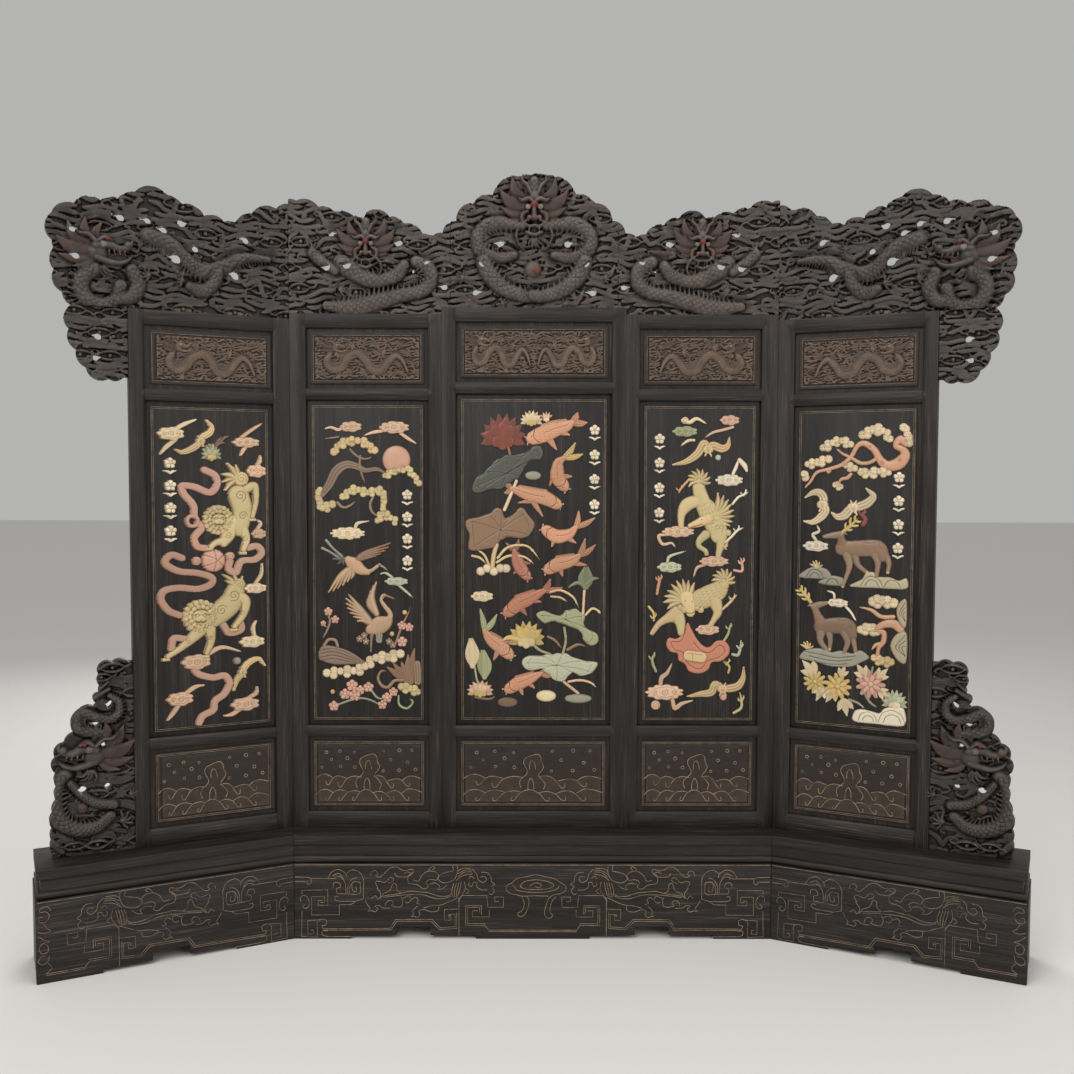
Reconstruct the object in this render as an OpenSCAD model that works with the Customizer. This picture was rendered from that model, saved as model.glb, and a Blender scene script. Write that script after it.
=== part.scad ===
// Five-leaf seated screen: a mitred three-part plinth, three leaves in the middle,
// one angled leaf at each end, an openwork cloud-and-dragon crest and two foot brackets.
// Millimetres. X runs along the screen, Y from the viewer to the back, Z up.

/* [Plinth] */
// Half the length of the middle plinth section, at its front face
plinth_half = 795; // [700:5:900]
// Length of each angled plinth section, at its front face
wing_length = 785; // [720:5:860]
// Angle by which each end section turns towards the viewer
wing_angle = 26; // [15:1:35]
// Depth of the plinth from front to back
plinth_depth = 238; // [210:2:280]
// Height of the apron boards
apron_height = 255; // [220:1:300]
// Thickness of the apron boards
apron_thick = 30; // [22:1:36]
// Height of the rounded moulding above the aprons
bead_height = 25; // [16:1:32]
// Height of the recessed waist
waist_height = 38; // [26:1:50]
// Setback of the waist behind the apron face
waist_setback = 16; // [8:1:20]
// Thickness of the waist boards
waist_thick = 28; // [20:1:34]
// Thickness of the top boards
cap_thick = 31; // [30:1:44]
// Setback of the top boards behind the apron face
cap_setback = 4; // [2:1:8]

/* [Feet] */
// Length of each end foot
foot_length = 190; // [140:5:230]
// Height from the floor to the long arch between feet
arch_height = 12; // [6:1:24]
// Height from the floor to the top of the deep notch
notch_height = 40; // [26:1:60]
// Width of the deep notch
notch_width = 112; // [80:2:150]

/* [Leaves] */
// Setback of the leaves behind the apron face
leaf_setback = 90; // [80:1:105]
// Thickness of the leaf frames
leaf_thick = 50; // [44:1:56]
// Half the width of the middle leaf
middle_half = 308; // [280:2:340]
// Distance from the mitre corner to the outer edge of an end leaf
end_leaf_reach = 485; // [440:5:520]
// Width of a stile face
stile_width = 46; // [40:1:56]
// Extra width of the stiles that meet at a mitre
corner_extra = 7; // [0:1:12]
// Height of the bottom rails
bottom_rail = 55; // [50:1:70]
// Height of the two middle rails
mid_rail = 38; // [34:1:50]
// Height of the top rails
top_rail = 46; // [42:1:60]
// Height of the lower opening
lower_open = 257; // [220:1:290]
// Height of the upper opening
upper_open = 201; // [170:1:240]
// Height of the field opening of the middle leaf
middle_field = 1122; // [1000:2:1200]
// How much lower the field of the next two leaves is
side_drop = 22; // [10:1:40]
// How much lower the field of the end leaves is
end_drop = 40; // [20:1:70]
// Width of the sloping edge round each opening
slope_width = 13; // [8:1:16]
// Depth of the sloping edge
slope_depth = 5; // [3:0.5:8]

/* [Panels] */
// Depth of a raised panel face behind the frame face
panel_recess = 11; // [9:0.5:13]
// How far the raised face stands before the panel's margin
panel_raise = 6; // [3:0.5:7]
// Width of the panel's margin, from the opening to the raised face
panel_margin = 15; // [8:1:22]
// Thickness of a panel in its groove
panel_thick = 14; // [10:0.5:16]
// Depth of the groove that holds a panel
groove_depth = 8; // [6:0.5:10]
// Thickness of the stone inlays that stand on the panels
inlay_thick = 7; // [4:0.5:8]

/* [Joinery] */
// Clearance of a piece that slides
slide_fit = 0.5; // [0.3:0.1:1]
// Clearance of a piece that is glued in place
glue_fit = 0.2; // [0.1:0.05:0.3]
// Length of the tenons that stand in the plinth and the leaves
tenon_length = 26; // [18:1:28]
// Width of a leaf's foot tenon
foot_tenon_width = 30; // [24:1:34]
// Thickness of every tenon
tenon_thick = 18; // [14:1:22]
// Length of a rail's tenon in its stile
rail_tenon = 28; // [20:1:30]
// Width of a crest or bracket tenon
crest_tenon_width = 70; // [50:2:90]
// Thickness of the tongues between the leaves
tongue_thick = 8; // [6:0.5:10]
// How far a tongue reaches into each leaf
tongue_reach = 12; // [8:1:14]
// Space kept above a mitre tongue so that the leaves can be lifted
tongue_headroom = 120; // [100:5:160]

/* [Crest and brackets] */
// Thickness of the crest boards
crest_thick = 36; // [30:1:42]
// Radius of a dragon's body
body_radius = 19; // [14:1:22]
// How far the middle of a carved body lies behind the face of its board
carving_sink = 3; // [1:0.5:6]
// Height of the crest in the middle above the middle leaf
crest_rise = 444; // [400:2:480]
// Thickness of the foot brackets
bracket_thick = 44; // [36:1:50]
// Height of the foot brackets
bracket_height = 612; // [560:2:660]
// How far the brackets and crest ears stand beyond the end leaves
bracket_reach = 252; // [220:2:270]

/* [Hidden] */
$fn = 40;
tiny = 0.01;

// Plinth levels and the shear of a mitre plane for each millimetre of depth
bead_level = apron_height;
waist_level = bead_level + bead_height;
cap_level = waist_level + waist_height;
plinth_height = cap_level + cap_thick;
mitre = tan(wing_angle / 2);
frame_shift = (wing_length * sin(wing_angle) - plinth_depth) / 2;
reach_far = 4 * plinth_half;

// Leaves by number, 1 at the left: section, field height and frame height
leaf_sections = [-1, 0, 0, 0, 1];
leaf_fields = [
    middle_field - end_drop, middle_field - side_drop, middle_field,
    middle_field - side_drop, middle_field - end_drop
];
leaf_back = leaf_setback + leaf_thick;
leaf_mid = leaf_setback + leaf_thick / 2;
function field_height(n) = leaf_fields[n - 1];
function leaf_height(n) =
    bottom_rail + lower_open + 2 * mid_rail + field_height(n) + upper_open + top_rail;
function section_of(n) = leaf_sections[n - 1];

// Edges of a leaf in its own section, at depth y. A mitred edge leans with the depth.
mitre_gap = slide_fit / 2 / cos(wing_angle / 2);
function low_edge(n, y) =
    n == 1 ? -end_leaf_reach :
    n == 2 ? -plinth_half - y * mitre + mitre_gap :
    n == 3 ? -middle_half :
    n == 4 ? middle_half :
    -y * mitre + mitre_gap;
function high_edge(n, y) = -low_edge(6 - n, y);
function low_extra(n) = (n == 2 || n == 5) ? corner_extra : 0;
function high_extra(n) = low_extra(6 - n);
function open_low(n) = low_edge(n, leaf_setback) + stile_width + low_extra(n);
function open_high(n) = high_edge(n, leaf_setback) - stile_width - high_extra(n);
function open_mid(n) = (open_low(n) + open_high(n)) / 2;

// Levels of the three openings of a leaf, above the plinth
lower_base = bottom_rail;
field_base = lower_base + lower_open + mid_rail;
function upper_base(n) = field_base + field_height(n) + mid_rail;
function opening_base(n, k) = [lower_base, field_base, upper_base(n)][k];
function opening_height(n, k) = [lower_open, field_height(n), upper_open][k];
panel_front = leaf_setback + panel_recess;
panel_back = panel_front + panel_raise + panel_thick;
crest_front = leaf_mid - crest_thick / 2;

// Places where tongues and tenons sit
middle_tongue_height = field_base + middle_field - side_drop + mid_rail;
mitre_tongue_height = leaf_height(1) - tongue_headroom;
lift_clear = 70;
bracket_key_height = bracket_height * 0.62;
bracket_inner = end_leaf_reach + slide_fit;
bracket_tenon_mid = bracket_inner + bracket_reach * 0.45;
end_tenons = [0.3, 0.72];
middle_tenons = [-0.55, 0.55];
side_leaf_mid = (open_low(4) + open_high(4)) / 2;
end_rail_span = open_high(5) - open_low(5);

module place() {
    translate([0, frame_shift, 0]) children();
}

module in_section(side) {
    place()
        if (side == 0) children();
        else translate([side * plinth_half, 0, 0]) rotate([0, 0, -side * wing_angle]) children();
}

module in_leaf(n) {
    in_section(section_of(n)) translate([0, 0, plinth_height]) children();
}

// Stands a flat drawing of x and z upright, from depth y to y + thick
module upright(y, thick) {
    translate([0, y + thick, 0]) rotate([90, 0, 0]) linear_extrude(thick) children();
}

// Plan of a plinth section between its mitre planes, inset from the outer faces
module section_plan(side, inset) {
    back = plinth_depth - inset;
    if (side == 0)
        polygon([
            [-plinth_half - inset * mitre, inset], [plinth_half + inset * mitre, inset],
            [plinth_half + back * mitre, back], [-plinth_half - back * mitre, back]
        ]);
    else
        polygon([
            [-side * inset * mitre, inset], [side * (wing_length - inset), inset],
            [side * (wing_length - inset), back], [-side * back * mitre, back]
        ]);
}

// Plan of the strip along one side of a section, as thick as the plan is deep, with its
// corners mitred: the front and back reach the joint between sections
module front_plan(side, deep) {
    if (side == 0)
        polygon([
            [-plinth_half, 0], [plinth_half, 0],
            [plinth_half + deep * mitre, deep], [-plinth_half - deep * mitre, deep]
        ]);
    else
        polygon([
            [0, 0], [side * wing_length, 0],
            [side * (wing_length - deep), deep], [-side * deep * mitre, deep]
        ]);
}

module back_plan(side, deep) {
    inner = plinth_depth - deep;
    if (side == 0)
        polygon([
            [-plinth_half - plinth_depth * mitre, plinth_depth],
            [plinth_half + plinth_depth * mitre, plinth_depth],
            [plinth_half + inner * mitre, inner], [-plinth_half - inner * mitre, inner]
        ]);
    else
        polygon([
            [-side * plinth_depth * mitre, plinth_depth], [side * wing_length, plinth_depth],
            [side * (wing_length - deep), inner], [-side * inner * mitre, inner]
        ]);
}

module end_plan(side, deep) {
    polygon([
        [side * wing_length, 0], [side * wing_length, plinth_depth],
        [side * (wing_length - deep), plinth_depth - deep], [side * (wing_length - deep), deep]
    ]);
}

// An apron between two ends, with a long arch and a deep notch in each bay
module apron_drawing(low, high, bays) {
    difference() {
        translate([low, 0]) square([high - low, apron_height]);
        for (bay = bays) {
            translate([bay[0], -tiny]) square([bay[1] - bay[0], arch_height + tiny]);
            translate([(bay[0] + bay[1] - notch_width) / 2, -tiny])
                square([notch_width, notch_height + tiny]);
        }
    }
}

function section_bays(side) =
    side == 0
        ? [[foot_length - plinth_half, -foot_length], [foot_length, plinth_half - foot_length]] :
    side == 1
        ? [[foot_length, wing_length - foot_length]]
        : [[foot_length - wing_length, -foot_length]];

module section_apron_drawing(side) {
    far = plinth_half + plinth_depth;
    low = side == 0 ? -far : min(side * wing_length, -side * plinth_depth);
    high = side == 0 ? far : max(side * wing_length, -side * plinth_depth);
    apron_drawing(low, high, section_bays(side));
}

module front_apron(side) {
    color([0.15, 0.12, 0.1]) in_section(side) intersection() {
        upright(0, apron_thick) section_apron_drawing(side);
        linear_extrude(apron_height) front_plan(side, apron_thick);
    }
}

module back_apron(side) {
    color([0.15, 0.12, 0.1]) in_section(side) intersection() {
        upright(plinth_depth - apron_thick, apron_thick) section_apron_drawing(side);
        linear_extrude(apron_height) back_plan(side, apron_thick);
    }
}

// The end board of a wing, raised between its corners as the aprons are
module end_apron(side) {
    color([0.15, 0.12, 0.1]) in_section(side) difference() {
        linear_extrude(apron_height) end_plan(side, apron_thick);
        translate([-reach_far, plinth_depth / 4, -tiny])
            cube([2 * reach_far, plinth_depth / 2, arch_height + tiny]);
    }
}

// Half-round moulding under a recessed waist: depth to the right, height upwards
module waist_profile() {
    translate([waist_setback, bead_level]) square([waist_thick, bead_height + waist_height]);
    translate([waist_setback, bead_level + bead_height / 2]) circle(d = bead_height);
}

// Runs a profile along X, with its first coordinate as depth
module along_x(low, high) {
    translate([low, 0, 0]) rotate([90, 0, 90]) linear_extrude(high - low) children();
}

// The waist boards of a section, mitred at its corners, with a glue line at the end board
module section_waist(side) {
    deep = waist_setback + waist_thick;
    rise = cap_level + tiny;
    color([0.2, 0.17, 0.14]) in_section(side) {
        intersection() {
            along_x(-reach_far, reach_far) waist_profile();
            linear_extrude(rise) front_plan(side, deep);
        }
        intersection() {
            along_x(-reach_far, reach_far)
                translate([plinth_depth, 0]) mirror([1, 0]) waist_profile();
            linear_extrude(rise) back_plan(side, deep);
        }
        if (side != 0) intersection() {
            translate([side * wing_length, 0, 0]) rotate([0, 0, side * 90])
                along_x(-reach_far, reach_far) waist_profile();
            linear_extrude(rise) offset(delta = -glue_fit) end_plan(side, deep);
        }
    }
}

// Tenon of one leaf's two stiles, in plan
module foot_tenons_plan(n, fit) {
    size = [foot_tenon_width + 2 * fit, tenon_thick + 2 * fit];
    for (x = [
        (low_edge(n, leaf_mid) + open_low(n)) / 2, (high_edge(n, leaf_mid) + open_high(n)) / 2
    ])
        translate([x, leaf_mid]) square(size, center = true);
}

module bracket_tenon_plan(side, fit) {
    translate([side * bracket_tenon_mid, leaf_mid])
        square([crest_tenon_width + 2 * fit, tenon_thick + 2 * fit], center = true);
}

// Butterfly key across the mitre between the top boards, in the middle section's plan
module butterfly_plan(side, fit) {
    key_depth = leaf_back + (plinth_depth - leaf_back) / 2;
    long = 46;
    wide = 22;
    waist = 11;
    translate([side * (plinth_half + key_depth * mitre), key_depth])
        rotate(-side * wing_angle / 2)
            for (end = [-1, 1])
                polygon([
                    [0, -waist - fit], [end * (long + fit), -wide - fit],
                    [end * (long + fit), wide + fit], [0, waist + fit]
                ]);
}

key_thick = 14;

module section_top(side) {
    color([0.19, 0.16, 0.13]) difference() {
        in_section(side) difference() {
            translate([0, 0, cap_level]) linear_extrude(cap_thick)
                section_plan(side, cap_setback);
            for (n = [1:5])
                if (section_of(n) == side)
                    translate([0, 0, cap_level - tiny]) linear_extrude(cap_thick + 2 * tiny)
                        foot_tenons_plan(n, slide_fit);
            if (side != 0)
                translate([0, 0, cap_level - tiny]) linear_extrude(cap_thick + 2 * tiny)
                    bracket_tenon_plan(side, slide_fit);
        }
        in_section(0) for (end = [-1, 1])
            if (side == 0 || side == end)
                translate([0, 0, cap_level - tiny]) linear_extrude(key_thick + glue_fit)
                    butterfly_plan(end, glue_fit);
    }
}

module plinth_butterfly_keys() {
    color([0.3, 0.22, 0.15]) in_section(0) for (side = [-1, 1])
        translate([0, 0, cap_level]) linear_extrude(key_thick) butterfly_plan(side, 0);
}

// Ribs that carry the top boards from front to back
module plinth_cross_ribs() {
    rib = 24;
    low = notch_height + 20;
    inner = waist_setback + waist_thick;
    color([0.25, 0.19, 0.14]) for (side = [-1, 0, 1])
        in_section(side)
            for (x = side == 0 ? [-plinth_half * 0.62, 0, plinth_half * 0.62]
                               : [side * wing_length * 0.27, side * wing_length * 0.72])
                along_x(x - rib / 2, x + rib / 2) {
                    translate([apron_thick, low])
                        square([plinth_depth - 2 * apron_thick, apron_height - low]);
                    translate([inner, low])
                        square([plinth_depth - 2 * inner, cap_level - low]);
                }
}

// Solid that removes the sloping edge round one opening of a leaf
module opening_slope(n, k) {
    base = opening_base(n, k);
    wide = open_high(n) - open_low(n);
    tall = opening_height(n, k);
    hull() {
        translate([open_low(n) - slope_width, leaf_setback - tiny, base - slope_width])
            cube([wide + 2 * slope_width, tiny, tall + 2 * slope_width]);
        translate([open_low(n), leaf_setback + slope_depth, base])
            cube([wide, tiny, tall]);
    }
}

// Rails of a leaf from the floor up: base level and height
function rails_of(n) = [
    [0, bottom_rail],
    [lower_base + lower_open, mid_rail],
    [field_base + field_height(n), mid_rail],
    [upper_base(n) + upper_open, top_rail]
];
rail_shoulder = groove_depth + 2;

module rail_tenons(n, fit) {
    for (rail = rails_of(n))
        translate([
            open_low(n) - rail_tenon - fit, leaf_mid - tenon_thick / 2 - fit,
            rail[0] + rail_shoulder - fit
        ])
            cube([
                open_high(n) - open_low(n) + 2 * rail_tenon + 2 * fit,
                tenon_thick + 2 * fit,
                rail[1] - 2 * rail_shoulder + 2 * fit
            ]);
}

// Space that the three panels take up in their grooves
module panel_grooves(n) {
    for (k = [0:2])
        translate([
            open_low(n) - groove_depth, panel_front + panel_raise - glue_fit,
            opening_base(n, k) - groove_depth
        ])
            cube([
                open_high(n) - open_low(n) + 2 * groove_depth,
                panel_thick + 2 * glue_fit,
                opening_height(n, k) + 2 * groove_depth
            ]);
}

// Long tongue that holds two neighbouring leaves in line
module tongue_plan(fit) {
    square([2 * tongue_reach + 2 * fit, tongue_thick + 2 * fit], center = true);
}

module mitre_tongue_plan(n, fit) {
    end = n < 3 ? -1 : 1;
    wing = section_of(n) == 0 ? 0 : 1;
    translate([
        wing == 1 ? -end * leaf_mid * mitre : end * (plinth_half + leaf_mid * mitre), leaf_mid
    ])
        rotate(end * (wing == 1 ? 1 : -1) * wing_angle / 2) tongue_plan(fit);
}

module stile(n, edge) {
    outer = n == 1 || n == 5;
    at_mitre = (n == 1 && edge == 1) || (n == 2 && edge == -1)
        || (n == 4 && edge == 1) || (n == 5 && edge == -1);
    at_bracket = outer && !at_mitre;
    front = leaf_setback;
    low_front = edge == -1 ? low_edge(n, front) : open_high(n);
    low_back = edge == -1 ? low_edge(n, leaf_back) : open_high(n);
    high_front = edge == -1 ? open_low(n) : high_edge(n, front);
    high_back = edge == -1 ? open_low(n) : high_edge(n, leaf_back);
    color([0.16, 0.13, 0.11]) in_leaf(n) difference() {
        union() {
            linear_extrude(leaf_height(n)) polygon([
                [low_front, front], [high_front, front],
                [high_back, leaf_back], [low_back, leaf_back]
            ]);
            translate([0, 0, -tenon_length]) linear_extrude(tenon_length + bottom_rail / 2)
                intersection() {
                    foot_tenons_plan(n, 0);
                    translate([edge == -1 ? -reach_far : open_mid(n), 0])
                        square([edge == -1 ? reach_far + open_mid(n) : reach_far, plinth_depth]);
                }
        }
        rail_tenons(n, glue_fit);
        panel_grooves(n);
        for (k = [0:2]) opening_slope(n, k);
        if (at_mitre)
            translate([0, 0, outer ? -tiny : 0])
                linear_extrude(outer ? leaf_height(n) + 1 : mitre_tongue_height + glue_fit)
                    mitre_tongue_plan(n, outer ? slide_fit : glue_fit);
        else if (at_bracket)
            translate([edge * end_leaf_reach, leaf_mid, -tenon_length - tiny])
                linear_extrude(tenon_length + bracket_key_height + lift_clear)
                    tongue_plan(slide_fit);
        else
            translate([n < 3 || (n == 3 && edge == -1) ? -middle_half : middle_half, leaf_mid, 0])
                linear_extrude(middle_tongue_height + glue_fit) tongue_plan(glue_fit);
    }
}

module leaf_rails(n) {
    color([0.17, 0.14, 0.12]) in_leaf(n) difference() {
        union() {
            for (rail = rails_of(n))
                translate([open_low(n), leaf_setback, rail[0]])
                    cube([open_high(n) - open_low(n), leaf_thick, rail[1]]);
            rail_tenons(n, 0);
        }
        panel_grooves(n);
        for (k = [0:2]) opening_slope(n, k);
        for (x = crest_tenon_places(n))
            translate([x, leaf_mid, leaf_height(n) - tenon_length - 1])
                linear_extrude(tenon_length + 2) crest_tenon_plan(slide_fit);
    }
}

// A raised panel: its tongue in the grooves and its face inside the margin
module panel(n, k) {
    low = open_low(n);
    high = open_high(n);
    base = opening_base(n, k);
    tall = opening_height(n, k);
    inset = groove_depth - glue_fit;
    translate([low - inset, panel_front + panel_raise, base - inset])
        cube([high - low + 2 * inset, panel_thick, tall + 2 * inset]);
    translate([low + panel_margin, panel_front, base + panel_margin])
        cube([high - low - 2 * panel_margin, panel_raise + tiny, tall - 2 * panel_margin]);
}

module field(n) {
    color([0.12, 0.1, 0.09]) in_leaf(n) panel(n, 1);
}

// Sea of rounded waves with a pierced rock in the middle
module lower_plaque(n) {
    line = panel_margin + 9;
    wide = open_high(n) - open_low(n) - 2 * line;
    hump = wide / 6;
    base = lower_base + line;
    color([0.2, 0.16, 0.12]) in_leaf(n) {
        panel(n, 0);
        upright(panel_front - 2, 2 + tiny) intersection() {
            translate([open_low(n) + line, base]) square([wide, lower_open - 2 * line]);
            difference() {
                union() {
                    for (i = [0:6])
                        translate([open_low(n) + line + i * hump, base - hump * 0.15])
                            circle(r = hump * 0.62);
                    for (i = [0:5])
                        translate([open_low(n) + line + (i + 0.5) * hump, base + hump * 0.36])
                            circle(r = hump * 0.62);
                    translate([open_mid(n), base + 85]) circle(r = 36);
                    translate([open_mid(n), base + 128]) circle(r = 26);
                }
                translate([open_mid(n), base + 108]) circle(r = 10);
                translate([open_mid(n), base + 30]) circle(r = 12);
            }
        }
    }
}

// One scaled dragon among clouds, in low relief
module upper_plaque(n) {
    base = upper_base(n) + upper_open / 2;
    mid = open_mid(n);
    turn = n > 3 ? -1 : 1;
    thin = 7;
    color([0.24, 0.19, 0.14]) in_leaf(n) {
        panel(n, 2);
        translate([0, panel_front, 0]) {
            for (arc = [
                [-95, -8, 34, 180, 350], [-29, 4, 34, 20, 170], [37, -6, 34, 190, 360],
                [101, -4, 30, 20, 180]
            ])
                body_arc(mid + turn * arc[0], base + arc[1], arc[2],
                    turn == 1 ? arc[3] : 180 - arc[4], turn == 1 ? arc[4] : 180 - arc[3], thin);
            for (cloud = [[-150, 42], [-110, -44], [-40, 48], [10, -46], [70, 46], [140, -40]])
                translate([mid + turn * cloud[0], 0, base + cloud[1]])
                    rotate([90, 0, 0]) {
                        cylinder(r = 17, h = 4, center = true);
                        cylinder(r = 8, h = 8, center = true);
                    }
        }
    }
}

// Part of a ring in the plane of the screen, from one angle to another
module body_arc(x, z, r, from, to, thick) {
    translate([x, carving_sink, z]) rotate([90, 0, 0]) rotate([0, 0, from])
        rotate_extrude(angle = to - from) translate([r, 0]) circle(r = thick);
}

module middle_leaf_tongues() {
    color([0.3, 0.22, 0.15]) in_leaf(3) for (x = [-middle_half, middle_half])
        translate([x, leaf_mid, 0]) linear_extrude(middle_tongue_height) tongue_plan(0);
}

module mitre_tongues() {
    color([0.3, 0.22, 0.15]) for (n = [2, 4])
        in_leaf(n) linear_extrude(mitre_tongue_height) mitre_tongue_plan(n, 0);
}

// Tenons of the crest, in the top rails
function crest_tenon_places(n) =
    n == 3 ? [for (share = middle_tenons) share * middle_half] :
    (n == 2 || n == 4) ? [(n - 3) * side_leaf_mid] :
    [for (share = end_tenons) (n - 3) / 2 * (open_low(5) + share * end_rail_span)];

module crest_tenon_plan(fit) {
    square([crest_tenon_width + 2 * fit, tenon_thick + 2 * fit], center = true);
}

module crest_tenons(n) {
    for (x = crest_tenon_places(n))
        translate([x, leaf_mid, leaf_height(n) - tenon_length])
            linear_extrude(tenon_length + 10) crest_tenon_plan(0);
}

// Round lobes of a cloud edge: place and radius of each
module lobes(list) {
    for (lobe = list) translate([lobe[0], lobe[1]]) circle(r = lobe[2]);
}

// A comma-shaped opening between clouds: its eye and its tail
module comma(x, z, r, tail) {
    translate([x, z]) {
        circle(r = r);
        polygon([[0, r * 0.95], [0, -r * 0.55], [tail, r * 0.35]]);
    }
}

// A cloud scroll: a curled head with its pearl, and a tail that thins out
module cloud_scroll(x, z, r, turn) {
    translate([x, crest_front, z]) {
        rotate([90, 0, 0]) {
            linear_extrude(2 * r / 3, center = true) difference() {
                union() {
                    circle(r = r);
                    translate([turn * r * 1.1, -r * 0.25]) circle(r = r * 0.7);
                    polygon([[0, -r], [turn * r * 3, -r * 0.75], [turn * r, r * 0.2], [0, r * 0.2]]);
                }
                translate([-turn * r * 0.1, r * 0.1]) circle(r = r * 0.55);
            }
            linear_extrude(r / 3, center = true) circle(r = r * 0.6);
            linear_extrude(r * 0.8, center = true) translate([-turn * r * 0.1, r * 0.1])
                circle(r = r * 0.3);
        }
    }
}

// A dragon's head from the front: skull, snout, brow, horns and jowls
module front_head(x, z, size) {
    translate([x, crest_front + carving_sink, z]) scale(size) {
        translate([0, -12, 0]) sphere(r = 36);
        translate([0, -26, -18]) sphere(r = 24);
        translate([0, -38, -30]) sphere(r = 14);
        for (side = [-1, 1]) {
            translate([side * 17, -32, 8]) sphere(r = 10);
            translate([side * 36, -6, -6]) sphere(r = 17);
            translate([side * 22, -8, 26]) rotate([0, side * 30, 0])
                cylinder(r1 = 11, r2 = 3, h = 62);
            translate([side * 40, -4, 12]) rotate([0, side * 62, 0])
                cylinder(r1 = 11, r2 = 2, h = 46);
        }
    }
}

// A dragon's head from the side, with its mouth open towards turn
module side_head(x, y, z, size, turn) {
    translate([x, y, z]) scale(size) {
        sphere(r = 30);
        translate([turn * 34, -4, 8]) rotate([0, turn * 84, 0])
            cylinder(r1 = 20, r2 = 12, h = 46, center = true);
        translate([turn * 30, -4, -22]) rotate([0, turn * 98, 0])
            cylinder(r1 = 14, r2 = 8, h = 42, center = true);
        translate([turn * 8, -22, 11]) sphere(r = 9);
        for (lift = [0, 1, 2])
            translate([-turn * 14, -6, 16 - 18 * lift]) rotate([0, -turn * (62 + 22 * lift), 0])
                cylinder(r1 = 10, r2 = 2, h = 58);
    }
}

// Crest boards: half of the middle one, to the right of its centre, from the middle leaf's top
middle_lobes = [
    [0, crest_rise - 92, 92], [56, crest_rise - 92, 85], [150, 315, 60], [205, 290, 55],
    [262, 245, 42], [310, 205, 42], [362, 195, 48], [420, 225, 52], [475, 250, 50],
    [526, 268, 55], [585, 250, 50], [640, 265, 54], [702, 278, 54], [765, 298, 58],
    [818, 300, 56], [868, 296, 56]
];
middle_commas = [
    [150, 265, 14, -30], [112, 214, 12, 34], [168, 148, 15, 26], [196, 52, 11, -34],
    [420, 118, 15, -28], [452, 214, 12, 22], [560, 116, 15, -34], [622, 138, 13, 30],
    [690, 132, 12, 34], [676, 244, 10, -30], [300, 70, 10, 30], [360, 150, 10, -26]
];
middle_clouds = [
    [195, 330, 18, -1], [245, 262, 17, 1], [240, 205, 16, 1], [285, 130, 17, -1],
    [330, 180, 15, 1], [375, 215, 17, 1], [405, 60, 15, -1], [250, 40, 15, 1],
    [335, 30, 14, 1], [480, 278, 18, 1], [560, 285, 17, -1], [620, 290, 17, 1],
    [700, 305, 18, -1], [765, 320, 20, 1], [770, 250, 17, -1], [720, 200, 16, 1],
    [775, 180, 16, -1], [770, 110, 17, -1], [710, 70, 15, 1], [770, 40, 16, -1],
    [640, 30, 15, 1], [130, 90, 14, 1], [60, 30, 15, 1], [160, 20, 13, -1]
];
middle_dragon_arcs = [
    [125, 205, 56, -110, 110], [520, 170, 74, 180, 370],
    [400, 78, 44, -80, 80], [560, 66, 48, 95, 165]
];

module crest_centre_drawing() {
    top = leaf_height(3);
    far = plinth_half + plinth_depth;
    difference() {
        translate([0, top]) {
            for (side = [0, 1]) mirror([side, 0]) {
                lobes(middle_lobes);
                translate([430, 0]) square([far - 430, 246]);
            }
            translate([-far, -side_drop]) square([2 * far, 196 + side_drop]);
            translate([-250, 0]) square([500, 262]);
            translate([-138, 0]) square([276, 350]);
        }
        translate([-middle_half, top - 2 * side_drop]) square([2 * middle_half, 2 * side_drop]);
        for (side = [0, 1]) mirror([side, 0])
            for (hole = middle_commas) comma(hole[0], top + hole[1], hole[2], hole[3]);
    }
}

// Clouds and dragons on half of the middle crest
module middle_relief() {
    for (cloud = middle_clouds) cloud_scroll(cloud[0], cloud[1], cloud[2], cloud[3]);
    translate([0, crest_front, 0])
        for (arc = middle_dragon_arcs)
            body_arc(arc[0], arc[1], arc[2], arc[3], arc[4], body_radius);
    front_head(567, 229, 0.88);
}

module crest_centre() {
    color([0.18, 0.15, 0.14]) in_leaf(3) {
        intersection() {
            union() {
                upright(crest_front, crest_thick) crest_centre_drawing();
                translate([0, 0, leaf_height(3)]) {
                    for (side = [0, 1]) mirror([side, 0, 0]) middle_relief();
                    translate([0, crest_front, 0]) body_arc(0, 138, 92, 180, 360, body_radius);
                    front_head(0, 292, 1.25);
                    translate([0, crest_front - 6, 128]) sphere(r = 24);
                }
            }
            linear_extrude(leaf_height(3) + crest_rise + 1)
                polygon([
                    [low_edge(2, 0), 0], [high_edge(4, 0), 0],
                    [high_edge(4, plinth_depth), plinth_depth],
                    [low_edge(2, plinth_depth), plinth_depth]
                ]);
        }
        for (n = [2, 3, 4]) crest_tenons(n);
    }
}

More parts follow.
